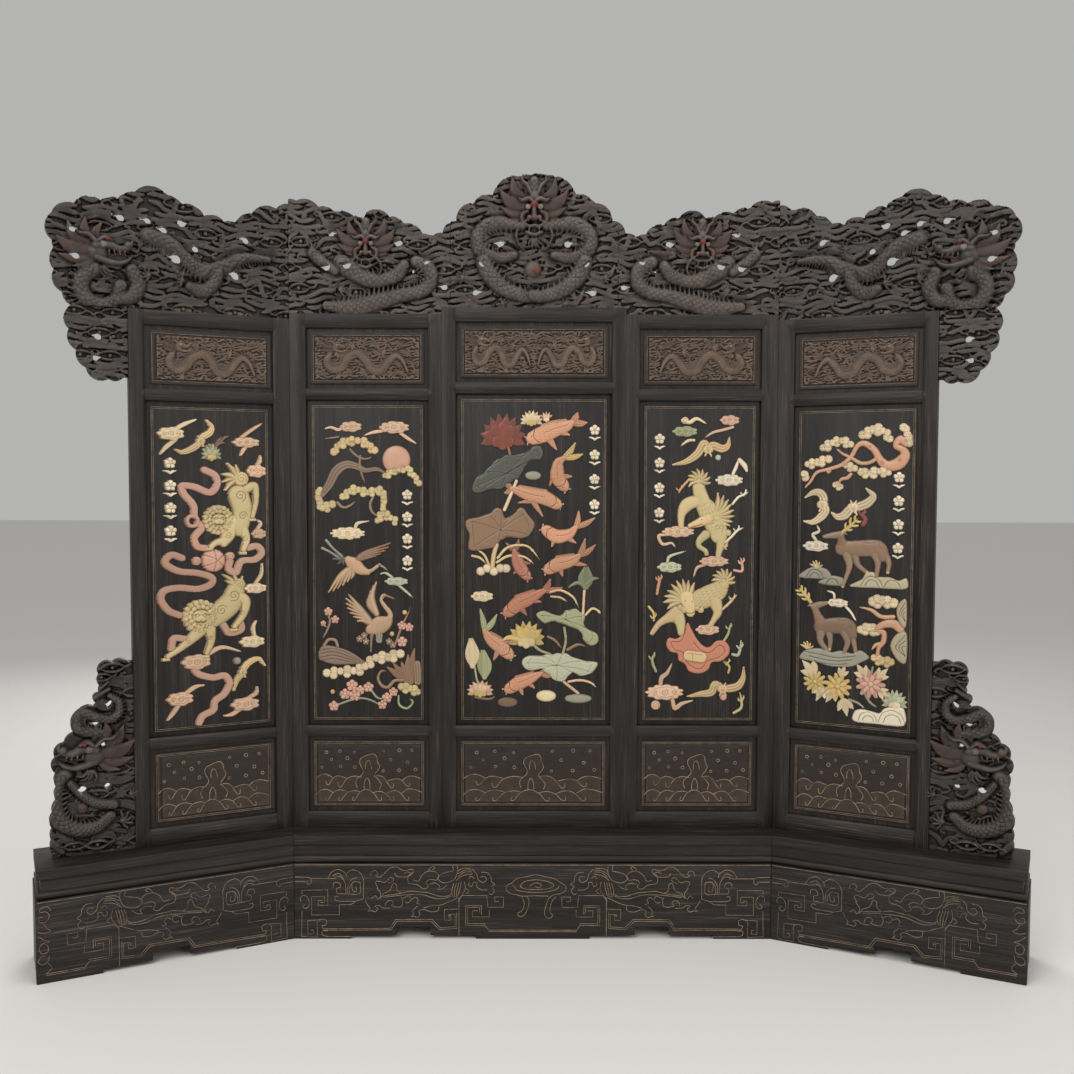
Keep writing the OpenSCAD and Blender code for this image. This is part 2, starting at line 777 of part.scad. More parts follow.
// End crests, outwards from the mitre corner and up from the end leaf's top
end_lobes = [
    [-28, 320, 60], [45, 310, 56], [100, 285, 50], [160, 255, 50], [225, 265, 52],
    [300, 285, 58], [365, 305, 60], [410, 325, 62], [460, 305, 58], [525, 285, 55],
    [590, 282, 54], [650, 258, 52], [672, 236, 46], [655, 195, 44], [656, 140, 50],
    [652, 85, 48], [628, 42, 44]
];
end_commas = [
    [115, 248, 13, 32], [150, 130, 15, 26], [275, 205, 12, 34], [318, 282, 13, -30],
    [372, 255, 12, 30], [420, 280, 12, 34], [335, 168, 16, 34], [500, 282, 12, 40],
    [640, 232, 11, -36], [632, 152, 12, 32]
];
end_clouds = [
    [20, 330, 17, 1], [60, 270, 17, 1], [30, 200, 17, 1], [40, 130, 16, 1],
    [105, 160, 16, -1], [60, 60, 16, 1], [150, 40, 15, 1], [190, 280, 16, 1],
    [250, 290, 17, 1], [380, 315, 18, 1], [460, 325, 18, -1], [440, 240, 16, 1],
    [540, 300, 18, 1], [600, 290, 16, -1], [590, 240, 16, 1], [480, 190, 15, 1],
    [650, 200, 16, -1], [660, 110, 16, -1], [640, 50, 15, -1], [360, 40, 15, 1],
    [440, 40, 14, -1], [290, 50, 14, 1], [210, 60, 14, 1]
];
end_dragon_arcs = [
    [552, 72, 56, 120, 410], [180, 110, 74, 30, 125], [256, 190, 52, 225, 320],
    [352, 150, 72, 60, 140], [418, 240, 60, 235, 300]
];

// Shows a piece of the right end at the right, or its mirror image at the left
module on_side(side) {
    mirror([side == 1 ? 0 : 1, 0, 0]) in_leaf(5) children();
}

// Side head on each end crest: place along it, stand-out and height. Carved by hand, they differ.
right_head = [540, 4, 158];
left_head = [543, 6, 156];

module crest_end(side) {
    top = leaf_height(5);
    head = side == 1 ? right_head : left_head;
    color([0.18, 0.15, 0.14]) on_side(side) {
        difference() {
            intersection() {
                union() {
                    upright(crest_front, crest_thick) difference() {
                        translate([0, top]) {
                            lobes(end_lobes);
                            translate([-plinth_depth, 0]) square([plinth_depth + 640, 270]);
                            square([end_leaf_reach + bracket_reach * 0.6, 60]);
                        }
                        for (hole = end_commas) comma(hole[0], top + hole[1], hole[2], hole[3]);
                    }
                    translate([0, 0, top]) {
                        for (cloud = end_clouds)
                            cloud_scroll(cloud[0], cloud[1], cloud[2], cloud[3]);
                        translate([0, crest_front, 0])
                            for (arc = end_dragon_arcs)
                                body_arc(arc[0], arc[1], arc[2], arc[3], arc[4], body_radius);
                        side_head(head[0], crest_front - head[1], head[2], 0.95, -1);
                    }
                }
                translate([0, 0, top]) linear_extrude(crest_rise)
                    polygon([
                        [low_edge(5, 0), 0], [wing_length + 20, 0],
                        [wing_length + 20, plinth_depth],
                        [low_edge(5, plinth_depth), plinth_depth]
                    ]);
            }
            for (x = ear_dowels)
                translate([x, leaf_mid, top - tiny])
                    cylinder(r = dowel_radius + glue_fit, h = dowel_length + 1);
        }
        crest_tenons(5);
    }
}

// Cloud ear that hangs below an end crest, outside the leaf
ear_lobes = [
    [625, -38, 44], [612, -92, 48], [590, -145, 46], [564, -184, 43], [522, -196, 31]
];
ear_clouds = [[520, -40, 16, 1], [590, -60, 17, -1], [530, -100, 15, 1], [590, -130, 15, -1],
    [525, -170, 15, 1]];
ear_dowels = [end_leaf_reach + 45, end_leaf_reach + 120];
dowel_radius = 6;
dowel_length = 22;

module crest_ear(side) {
    top = leaf_height(5);
    color([0.18, 0.15, 0.14]) on_side(side) {
        intersection() {
            union() {
                upright(crest_front, crest_thick) difference() {
                    translate([0, top]) {
                        lobes(ear_lobes);
                        polygon([
                            [bracket_inner, 0], [640, 0], [610, -150], [570, -200],
                            [bracket_inner, -216]
                        ]);
                    }
                    comma(572, top - 92, 11, 26);
                    comma(580, top - 158, 9, -24);
                }
                translate([0, 0, top])
                    for (cloud = ear_clouds) cloud_scroll(cloud[0], cloud[1], cloud[2], cloud[3]);
            }
            translate([bracket_inner, 0, top - bracket_reach])
                cube([bracket_reach, plinth_depth, bracket_reach]);
        }
        for (x = ear_dowels)
            translate([x, leaf_mid, top - 10])
                cylinder(r = dowel_radius, h = dowel_length + 10);
    }
}

// Foot bracket: an openwork dragon rising from the plinth beside the end leaf
bracket_lobes = [
    [522, bracket_height - 34, 34], [560, bracket_height - 34, 30], [566, 548, 26],
    [562, 515, 26], [590, 492, 15], [618, 432, 38], [632, 395, 28], [655, 352, 36],
    [690, 326, 31], [702, 290, 27], [694, 245, 28], [690, 200, 32], [694, 150, 36],
    [702, 116, 35], [700, 70, 36], [702, 36, 35]
];
bracket_commas = [[548, 466, 17, 24], [596, 412, 9, 30], [572, 345, 11, 24], [640, 205, 13, 26],
    [566, 210, 10, -20]];
bracket_arcs = [
    [622, 192, 78, 190, 400], [568, 478, 40, 95, 290], [622, 415, 30, -70, 110],
    [592, 348, 40, 90, 200]
];
bracket_clouds = [[515, 570, 15, 1], [560, 575, 15, -1], [515, 510, 14, 1], [512, 400, 14, 1],
    [515, 270, 15, 1], [700, 120, 15, -1], [515, 60, 15, 1], [640, 30, 14, -1], [570, 30, 14, 1]];

module bracket(side) {
    front = leaf_mid - bracket_thick / 2;
    color([0.19, 0.15, 0.13]) on_side(side) {
        intersection() {
            union() {
                upright(front, bracket_thick) difference() {
                    union() {
                        lobes(bracket_lobes);
                        polygon([
                            [bracket_inner, 0], [732, 0], [716, 60], [700, 300], [640, 380],
                            [600, 470], [560, 500], [552, 600], [bracket_inner, 604]
                        ]);
                    }
                    for (hole = bracket_commas) comma(hole[0], hole[1], hole[2], hole[3]);
                }
                translate([0, front - crest_front, 0])
                    for (cloud = bracket_clouds)
                        cloud_scroll(cloud[0], cloud[1], cloud[2], cloud[3]);
                translate([0, front, 0])
                    for (arc = bracket_arcs)
                        body_arc(arc[0], arc[1], arc[2], arc[3], arc[4], body_radius);
                side_head(652, front, 315, 0.85, 1);
            }
            translate([bracket_inner, 0, 0])
                cube([bracket_reach, plinth_depth, bracket_height]);
        }
        translate([0, 0, -tenon_length]) linear_extrude(tenon_length + 10)
            bracket_tenon_plan(1, 0);
        translate([end_leaf_reach - tongue_reach, leaf_mid - tongue_thick / 2, 0])
            cube([tongue_reach + slide_fit + tiny, tongue_thick, bracket_key_height]);
    }
}

// Flat drawings of the inlay motifs, in x and z, each about its own middle
module cloud_motif(size, turn) {
    scale(size) mirror([turn == 1 ? 0 : 1, 0]) {
        for (lobe = [[-26, -2, 15], [-6, 6, 19], [16, 2, 16], [-14, -12, 14], [6, -12, 15]])
            translate([lobe[0], lobe[1]]) circle(r = lobe[2]);
        polygon([[16, -10], [30, 4], [52, 34], [60, 30], [40, -2], [26, -16]]);
    }
}

// A fish swimming to the right
module koi_motif(size, angle) {
    rotate(angle) scale(size) {
        intersection() {
            translate([0, 48]) circle(r = 76);
            translate([0, -48]) circle(r = 76);
        }
        polygon([[-44, 12], [-92, 34], [-80, 4], [-96, -26], [-44, -12]]);
        polygon([[6, 22], [-20, 44], [-30, 20]]);
        polygon([[14, -22], [-2, -46], [-14, -22]]);
    }
}

module petal(long, wide) {
    bow = (long * long + wide * wide) / (4 * wide);
    intersection() {
        translate([bow - wide / 2, long / 2]) circle(r = bow);
        translate([-bow + wide / 2, long / 2]) circle(r = bow);
    }
}

module lotus_motif(size) {
    scale(size)
        for (angle = [-112, -84, -56, -30, 0, 30, 56, 84, 112])
            rotate(angle) petal(abs(angle) > 80 ? 76 : 70, 34);
}

module leaf_motif(wide, tall, angle) {
    rotate(angle) intersection() {
        for (i = [-2:2])
            translate([i * wide / 5, (i % 2 == 0 ? 1 : -1) * tall / 10]) circle(r = tall * 0.46);
        square([wide, tall], center = true);
    }
}

module blossom_motif(r) {
    circle(r = r * 0.5);
    for (angle = [0:72:359]) rotate(angle) translate([r * 0.62, 0]) circle(r = r * 0.42);
}

module pine_motif(wide) {
    for (i = [-2:2])
        translate([i * wide / 5, -abs(i) * wide / 16]) circle(r = wide / 7);
    translate([-wide / 2.4, -wide / 6]) square([wide / 1.2, wide / 7]);
}

module bat_motif(size, turn) {
    scale(size) mirror([turn == 1 ? 0 : 1, 0]) {
        circle(r = 17);
        difference() {
            translate([26, 8]) circle(r = 32);
            translate([16, 26]) circle(r = 32);
        }
        difference() {
            translate([-26, -2]) circle(r = 28);
            translate([-20, 18]) circle(r = 30);
        }
    }
}

// A crouching beast with a curled mane: head, body and legs
module beast_motif(size, turn) {
    scale(size) mirror([turn == 1 ? 0 : 1, 0]) {
        for (angle = [0:30:359]) rotate(angle) translate([38, 0]) circle(r = 13);
        circle(r = 40);
        translate([50, 30]) circle(r = 36);
        translate([62, 66]) circle(r = 26);
        polygon([[30, 90], [62, 120], [84, 74], [60, 50]]);
        polygon([[20, 6], [84, 40], [104, 0], [92, -36], [70, -34], [60, -8], [34, -30]]);
        polygon([[-20, -30], [-44, -62], [-70, -66], [-72, -80], [-34, -84], [4, -40]]);
        polygon([[34, -14], [44, -76], [20, -84], [22, -94], [66, -92], [66, -20]]);
    }
}

module crane_motif(size, turn) {
    scale(size) mirror([turn == 1 ? 0 : 1, 0]) {
        intersection() {
            translate([10, 34]) circle(r = 62);
            translate([10, -34]) circle(r = 62);
        }
        polygon([[-20, 10], [-70, 70], [-74, 94], [-30, 60], [16, 20]]);
        polygon([[-34, 0], [-60, -50], [-66, -84], [-22, -52], [10, -18]]);
        polygon([[44, -4], [74, 10], [84, 44], [96, 48], [92, 8], [62, -16]]);
        translate([92, 48]) circle(r = 11);
    }
}

module deer_motif(size, turn) {
    scale(size) mirror([turn == 1 ? 0 : 1, 0]) {
        polygon([
            [-52, 22], [40, 26], [62, 10], [58, -24], [62, -74], [50, -76], [44, -28],
            [-28, -22], [-34, -78], [-48, -78], [-54, -18], [-66, 16], [-82, 44], [-66, 54]
        ]);
        translate([-80, 52]) circle(r = 15);
        polygon([[-90, 56], [-112, 44], [-110, 38], [-80, 42]]);
        polygon([[-80, 62], [-96, 100], [-88, 100], [-76, 72], [-60, 102], [-54, 96], [-68, 62]]);
    }
}

module rock_motif(wide, tall) {
    polygon([
        [-wide / 2, 0], [wide / 2, 0], [wide * 0.42, tall * 0.6], [wide * 0.2, tall],
        [-wide * 0.05, tall * 0.7], [-wide * 0.25, tall * 0.9], [-wide * 0.46, tall * 0.5]
    ]);
}

// A flowing ribbon: half rings joined end to end, stepping down the panel
module ribbon_motif(wide, turns, radius) {
    for (i = [0:turns - 1]) translate([0, -i * 2 * radius])
        intersection() {
            difference() {
                circle(r = radius + wide / 2);
                circle(r = radius - wide / 2);
            }
            translate([i % 2 == 0 ? 0 : -2 * radius, -2 * radius])
                square([2 * radius, 4 * radius]);
        }
}

// Small ornaments in a column
module ornament_column(x, high, low, count) {
    for (i = [0:count - 1])
        translate([x, high - (high - low) * i / (count - 1)]) blossom_motif(21);
}

module lion_drawing() {
    for (c = [
        [-120, 1330, 0.8, 1], [104, 1308, 0.8, 1], [145, 1214, 0.6, 1], [148, 1004, 0.5, 1],
        [133, 822, 0.7, 1], [122, 648, 0.7, 1], [97, 438, 0.8, 1], [-106, 470, 0.9, 1]
    ])
        translate([c[0], c[1]]) cloud_motif(c[2], c[3]);
    translate([-41, 1300]) bat_motif(0.95, 1);
    translate([111, 547]) bat_motif(0.9, 1);
    translate([17, 1047]) beast_motif(1.15, 1);
    translate([-48, 736]) beast_motif(1.15, 1);
    translate([-2, 916]) circle(r = 36);
    translate([-70, 1130]) ribbon_motif(17, 3, 42);
    translate([-96, 880]) ribbon_motif(19, 2, 40);
    translate([0, 520]) ribbon_motif(17, 2, 36);
    ornament_column(-138, 1255, 975, 4);
}

module crane_drawing() {
    for (c = [[-75, 1357, 0.8, -1], [89, 1353, 0.9, -1], [-68, 1007, 0.9, 1], [96, 843, 0.8, -1]])
        translate([c[0], c[1]]) cloud_motif(c[2], c[3]);
    translate([94, 1264]) circle(r = 47);
    for (p = [
        [-54, 1300, 150], [104, 1214, 120], [-146, 1114, 66], [-25, 1136, 140],
        [32, 1093, 70], [54, 1057, 70], [-100, 545, 130], [20, 575, 190]
    ])
        translate([p[0], p[1]]) pine_motif(p[2]);
    polygon([
        [-150, 1080], [-130, 1190], [-80, 1235], [-20, 1232], [10, 1190], [30, 1240],
        [-10, 1260], [-90, 1256], [-150, 1210], [-170, 1090]
    ]);
    translate([-50, 893]) crane_motif(1, 1);
    translate([26, 705]) rotate(48) crane_motif(0.95, 1);
    for (b = [
        [-132, 730, 16], [-118, 695, 17], [-140, 650, 15], [112, 735, 14], [120, 690, 18],
        [104, 640, 18], [-85, 445, 26], [-40, 470, 30], [10, 440, 26], [-125, 415, 18],
        [60, 470, 24], [30, 490, 18]
    ])
        translate([b[0], b[1]]) blossom_motif(b[2]);
    translate([115, 395]) rock_motif(120, 130);
    translate([95, 480]) rock_motif(150, 130);
    translate([-100, 570]) rock_motif(150, 80);
    ornament_column(131, 1130, 880, 4);
}

module koi_drawing() {
    translate([-120, 1330]) lotus_motif(1);
    translate([-11, 1380]) lotus_motif(0.42);
    translate([-30, 655]) lotus_motif(0.72);
    translate([170, 815]) lotus_motif(0.6);
    translate([-180, 465]) lotus_motif(0.5);
    for (k = [
        [66, 1343, 0.98, 200], [104, 1215, 0.82, 278], [15, 1121, 0.95, -12], [100, 1003, 0.95, 205],
        [108, 912, 0.95, 208], [-47, 893, 0.66, -58], [-32, 770, 1, 206], [-125, 640, 0.95, -48],
        [-50, 495, 0.72, 200]
    ])
        translate([k[0], k[1]]) koi_motif(k[2], k[3]);
    translate([-96, 1215]) leaf_motif(250, 92, 28);
    translate([-116, 1021]) leaf_motif(214, 140, 0);
    translate([112, 690]) leaf_motif(205, 74, -22);
    translate([92, 552]) leaf_motif(244, 92, -4);
    for (p = [[-172, 793, 0.6], [-4, 1193, 0.5], [-91, 429, 0.55], [44, 453, 0.55], [156, 443, 0.7]])
        translate([p[0], p[1]]) cloud_motif(p[2], 1);
    polygon([[-90, 1300], [-80, 1300], [-70, 1250], [-80, 1250]]);
    polygon([[-60, 1180], [-46, 1184], [-80, 1080], [-96, 1080]]);
    translate([-137, 870]) cloud_motif(0.9, 1);
    ribbon_arc(-110, 820, 100, 50, 150);
    ribbon_arc(150, 740, 70, 20, 130);
    translate([-209, 560]) petal(90, 40);
    translate([-166, 520]) petal(80, 34);
    ornament_column(188, 1345, 1090, 4);
}

// A curved stem: part of a thin ring
module ribbon_arc(x, z, r, from, to) {
    thin = 9;
    translate([x, z]) intersection() {
        difference() {
            circle(r = r);
            circle(r = r - thin);
        }
        polygon([
            [0, 0], [2 * r * cos(from), 2 * r * sin(from)],
            [2.4 * r * cos((from + to) / 2), 2.4 * r * sin((from + to) / 2)],
            [2 * r * cos(to), 2 * r * sin(to)]
        ]);
    }
}

module qilin_drawing() {
    for (c = [
        [-35, 1364, 0.8, 1], [101, 1383, 0.7, -1], [122, 1186, 0.9, 1], [-92, 1007, 0.9, -1],
        [-92, 893, 0.8, 1], [-114, 464, 1, 1], [30, 905, 0.8, 1], [110, 700, 0.6, 1]
    ])
        translate([c[0], c[1]]) cloud_motif(c[2], c[3]);
    translate([22, 1279]) bat_motif(1.1, 1);
    translate([86, 479]) bat_motif(1.1, 1);
    translate([-10, 1060]) rotate(20) beast_motif(1.2, 1);
    translate([20, 760]) beast_motif(1.2, -1);
    for (lobe = [[-60, 630, 42], [-6, 600, 52], [50, 625, 42], [-10, 660, 44], [-2, 560, 30]])
        translate([lobe[0], lobe[1]]) circle(r = lobe[2]);
    for (x = [-140, 140])
        for (z = [585, 735]) translate([x, z]) petal(70, 26);
    ornament_column(-135, 1330, 1050, 4);
}

module deer_drawing() {
    for (p = [
        [-64, 1301, 110], [66, 1333, 120], [120, 1290, 110], [-115, 1236, 110], [-130, 1190, 60],
        [52, 1214, 120], [85, 775, 110], [60, 690, 90], [100, 610, 90], [130, 700, 70]
    ])
        translate([p[0], p[1]]) pine_motif(p[2]);
    polygon([[-60, 1225], [-20, 1235], [50, 1320], [60, 1300], [0, 1215], [-50, 1205]]);
    translate([-112, 1083]) bat_motif(1.1, -1);
    translate([6, 1100]) bat_motif(1.2, 1);
    translate([-125, 967]) cloud_motif(0.9, 1);
    translate([20, 950]) deer_motif(1.2, 1);
    translate([-45, 700]) deer_motif(1.15, 1);
    for (r = [[-110, 845, 120, 60], [0, 840, 250, 36], [-60, 585, 220, 45], [105, 385, 130, 90]])
        translate([r[0], r[1]]) rock_motif(r[2], r[3]);
    for (b = [[-120, 518, 42], [-35, 492, 42], [70, 520, 44], [-20, 420, 24], [-112, 450, 20],
        [120, 470, 26]])
        translate([b[0], b[1]]) blossom_motif(b[2]);
    ornament_column(134, 1190, 935, 4);
}

// The stones of one leaf, standing on the raised face of its field
module inlays(n) {
    margin = panel_margin + 12;
    field_mid = field_base + field_height(n) / 2;
    drawn_mid = 911;
    color([0.85, 0.72, 0.5]) in_leaf(n) upright(panel_front - inlay_thick, inlay_thick)
        intersection() {
            translate([open_mid(n), field_mid - drawn_mid]) {
                if (n == 1) lion_drawing();
                if (n == 2) crane_drawing();
                if (n == 3) koi_drawing();
                if (n == 4) qilin_drawing();
                if (n == 5) deer_drawing();
            }
            translate([open_low(n) + margin, field_base + margin])
                square([open_high(n) - open_low(n) - 2 * margin, field_height(n) - 2 * margin]);
        }
}

front_apron(0);  // plinth_centre_front_apron
front_apron(-1);  // plinth_left_front_apron
front_apron(1);  // plinth_right_front_apron
back_apron(0);  // plinth_centre_back_apron
back_apron(-1);  // plinth_left_back_apron
back_apron(1);  // plinth_right_back_apron
end_apron(-1);  // plinth_left_end_apron
end_apron(1);  // plinth_right_end_apron
section_waist(0);  // plinth_centre_waist
section_waist(-1);  // plinth_left_waist
section_waist(1);  // plinth_right_waist
section_top(0);  // plinth_centre_top
section_top(-1);  // plinth_left_top
section_top(1);  // plinth_right_top
plinth_cross_ribs();
plinth_butterfly_keys();
stile(1, -1);  // leaf_1_left_stile
stile(1, 1);  // leaf_1_right_stile
leaf_rails(1);  // leaf_1_rails
upper_plaque(1);  // leaf_1_upper_plaque
field(1);  // leaf_1_field
lower_plaque(1);  // leaf_1_lower_plaque
inlays(1);  // leaf_1_inlays
stile(2, -1);  // leaf_2_left_stile
stile(2, 1);  // leaf_2_right_stile
leaf_rails(2);  // leaf_2_rails
upper_plaque(2);  // leaf_2_upper_plaque
field(2);  // leaf_2_field
lower_plaque(2);  // leaf_2_lower_plaque
inlays(2);  // leaf_2_inlays
stile(3, -1);  // leaf_3_left_stile
stile(3, 1);  // leaf_3_right_stile
leaf_rails(3);  // leaf_3_rails
upper_plaque(3);  // leaf_3_upper_plaque
field(3);  // leaf_3_field
lower_plaque(3);  // leaf_3_lower_plaque
inlays(3);  // leaf_3_inlays
stile(4, -1);  // leaf_4_left_stile
stile(4, 1);  // leaf_4_right_stile
leaf_rails(4);  // leaf_4_rails
upper_plaque(4);  // leaf_4_upper_plaque
field(4);  // leaf_4_field
lower_plaque(4);  // leaf_4_lower_plaque
inlays(4);  // leaf_4_inlays
stile(5, -1);  // leaf_5_left_stile
stile(5, 1);  // leaf_5_right_stile
leaf_rails(5);  // leaf_5_rails
upper_plaque(5);  // leaf_5_upper_plaque
field(5);  // leaf_5_field
lower_plaque(5);  // leaf_5_lower_plaque
inlays(5);  // leaf_5_inlays
middle_leaf_tongues();
mitre_tongues();
crest_centre();
crest_end(-1);  // crest_left
crest_end(1);  // crest_right
crest_ear(-1);  // crest_ear_left
crest_ear(1);  // crest_ear_right
bracket(-1);  // bracket_left
bracket(1);  // bracket_right
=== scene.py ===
"""Dresses a seated five-leaf screen: carved ebonised wood, gilt lines and coloured stone inlays."""

import logging
import math
from dataclasses import dataclass
from enum import Enum
from typing import Callable, ClassVar, Iterable, Sequence

import bmesh
import bpy
import numpy as np
from mathutils import Matrix, Vector
from mathutils.bvhtree import BVHTree


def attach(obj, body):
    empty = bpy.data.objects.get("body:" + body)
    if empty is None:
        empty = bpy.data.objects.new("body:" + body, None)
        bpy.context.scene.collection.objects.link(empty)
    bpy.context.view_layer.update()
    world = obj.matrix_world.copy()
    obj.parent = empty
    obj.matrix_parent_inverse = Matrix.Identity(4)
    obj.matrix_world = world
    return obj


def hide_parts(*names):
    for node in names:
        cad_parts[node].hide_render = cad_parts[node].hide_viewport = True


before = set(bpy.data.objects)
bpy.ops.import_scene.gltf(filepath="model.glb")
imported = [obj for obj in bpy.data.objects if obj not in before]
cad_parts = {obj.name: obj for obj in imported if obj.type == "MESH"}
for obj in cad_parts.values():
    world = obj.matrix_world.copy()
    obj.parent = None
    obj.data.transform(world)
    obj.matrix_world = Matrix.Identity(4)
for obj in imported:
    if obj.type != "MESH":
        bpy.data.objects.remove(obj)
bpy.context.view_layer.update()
log = logging.getLogger("screen")

MILLIMETRE = 0.001
OUTSIDE = -60.0
BEYOND = 9999.0
MITRE_REACH = 40.0
MITRE_PLAY = 0.35
Point = tuple[float, float]
Colour = tuple[float, float, float]


def linear(red: float, green: float, blue: float) -> Colour:
    """Turns a colour as a screen shows it, from 0 to 255, into shares of light."""
    return tuple(((c / 255 + 0.055) / 1.055)**2.4 for c in (red, green, blue))


@dataclass(frozen=True)
class ScreenSizes:
    """Sizes of the construction in millimetres, under the names that a joiner would use."""

    plinth_half: float = 795
    wing_length: float = 785
    wing_angle: float = 26
    plinth_depth: float = 238
    apron_height: float = 255
    plinth_height: float = 349
    leaf_front: float = 90
    leaf_back: float = 140
    panel_front: float = 101
    panel_back: float = 121
    lower_base: float = 55
    lower_open: float = 257
    field_base: float = 350
    mid_rail: float = 38
    upper_open: float = 201
    top_rail: float = 46
    line_inset: float = 25
    crest_front: float = 97
    crest_back: float = 133
    bracket_front: float = 93
    bracket_back: float = 137

    @property
    def shift(self) -> float:
        """Depth of the middle section's front face behind the origin."""
        return (self.wing_length * math.sin(math.radians(self.wing_angle)) - self.plinth_depth) / 2

    @property
    def mitre(self) -> float:
        """Lean of a mitre plane for each millimetre of depth."""
        return math.tan(math.radians(self.wing_angle / 2))


SIZES = ScreenSizes()


@dataclass(frozen=True)
class LeafSizes:
    """Opening edges and field height of one leaf, in its own section."""

    number: int
    side: int
    low: float
    high: float
    field_open: float

    @property
    def middle(self) -> float:
        """Middle of the leaf's openings."""
        return (self.low + self.high) / 2

    @property
    def upper_base(self) -> float:
        """Level of the upper opening above the plinth."""
        return SIZES.field_base + self.field_open + SIZES.mid_rail

    @property
    def height(self) -> float:
        """Height of the leaf above the plinth."""
        return self.upper_base + SIZES.upper_open + SIZES.top_rail

    @property
    def body(self) -> str:
        """The body that the leaf moves with."""
        return {-1: "left_leaf", 0: "centre_leaves", 1: "right_leaf"}[self.side]


LEAVES = (
    LeafSizes(1, -1, -439, -32.5, 1082),
    LeafSizes(2, 0, -762.5, -354, 1100),
    LeafSizes(3, 0, -262, 262, 1122),
    LeafSizes(4, 0, 354, 762.5, 1100),
    LeafSizes(5, 1, 32.5, 439, 1082),
)


@dataclass(frozen=True)
class Place:
    """A straight section of the screen, -1 at the left, 0 in the middle and 1 at the right."""

    side: int
    mirrored: bool = False

    def world(self, x: np.ndarray, y: np.ndarray, z: np.ndarray) -> np.ndarray:
        """Turns a section's own millimetres into metres in the frame.

        Args:
            x: Places along the section, outwards from the mitre on a wing.
            y: Depths behind the section's front face.
            z: Heights above the floor.

        Returns:
            One row of three numbers for each point.
        """
        if self.mirrored:
            x = -x
        turn = math.radians(-self.side * SIZES.wing_angle)
        east = x * math.cos(turn) - y * math.sin(turn) + self.side * SIZES.plinth_half
        north = x * math.sin(turn) + y * math.cos(turn) + SIZES.shift
        return np.stack([east, north, np.broadcast_to(z, east.shape)], axis=-1) * MILLIMETRE

    def mitred(self, x: np.ndarray, y: np.ndarray) -> np.ndarray:
        """Draws a carved board's end in to its leaning mitre plane, with a little play.

        Args:
            x: Places along the section, as seen from the front.
            y: Depths behind the section's front face.

        Returns:
            The places, moved only near a mitre.
        """
        lean = (SIZES.crest_back - y) * SIZES.mitre + MITRE_PLAY
        end = SIZES.crest_back * SIZES.mitre
        if self.side:
            return x + lean * np.clip(1 - (x + end) / MITRE_REACH, 0, 1)
        inward = np.clip(1 - (SIZES.plinth_half + end - np.abs(x)) / MITRE_REACH, 0, 1)
        return x - np.sign(x) * lean * inward


def wing(side: int) -> tuple[str, Place]:
    """Word and mirrored section of the wing at one side."""
    return ("left" if side < 0 else "right"), Place(side, mirrored=side < 0)


def linked(name: str, data: bpy.types.ID) -> bpy.types.Object:
    """Makes an object of a mesh, a lamp or a camera and puts it into the scene.

    Args:
        name: Name of the object.
        data: Its mesh, lamp or camera.

    Returns:
        The new object.
    """
    made = bpy.data.objects.new(name, data)
    bpy.context.scene.collection.objects.link(made)
    return made


def smooth_path(points: Sequence[Point], spacing: float, closed: bool = False) -> np.ndarray:
    """Runs a smooth curve through a few points.

    Args:
        points: Points on the curve.
        spacing: Distance between the points of the result.
        closed: Whether the curve returns to its start.

    Returns:
        Points along the curve, with each one's share of the way between the given points.
    """
    given = np.asarray(points, float)
    if closed:
        given = np.vstack([given[-1:], given, given[:2]])
    else:
        given = np.vstack([2 * given[0] - given[1], given, 2 * given[-1] - given[-2]])
    found = []
    for i in range(1, len(given) - 2):
        p0, p1, p2, p3 = given[i - 1:i + 3]
        count = max(2, int(np.hypot(*(p2 - p1)[:2]) / spacing))
        t = np.arange(count)[:, None] / count
        found.append(0.5 * (2 * p1 + (p2 - p0) * t + (2 * p0 - 5 * p1 + 4 * p2 - p3) * t**2
                            + (3 * p1 - p0 - 3 * p2 + p3) * t**3))
    if not closed:
        found.append(given[-2:-1])
    return np.vstack(found)


class Profile(Enum):
    """Section of a carved stroke, from its middle to its edge."""

    ROUND = "round"
    FLAT = "flat"
    RIDGE = "ridge"
    SCALES = "scales"
    HOLLOW = "hollow"
    REEDS = "reeds"
    NET = "net"


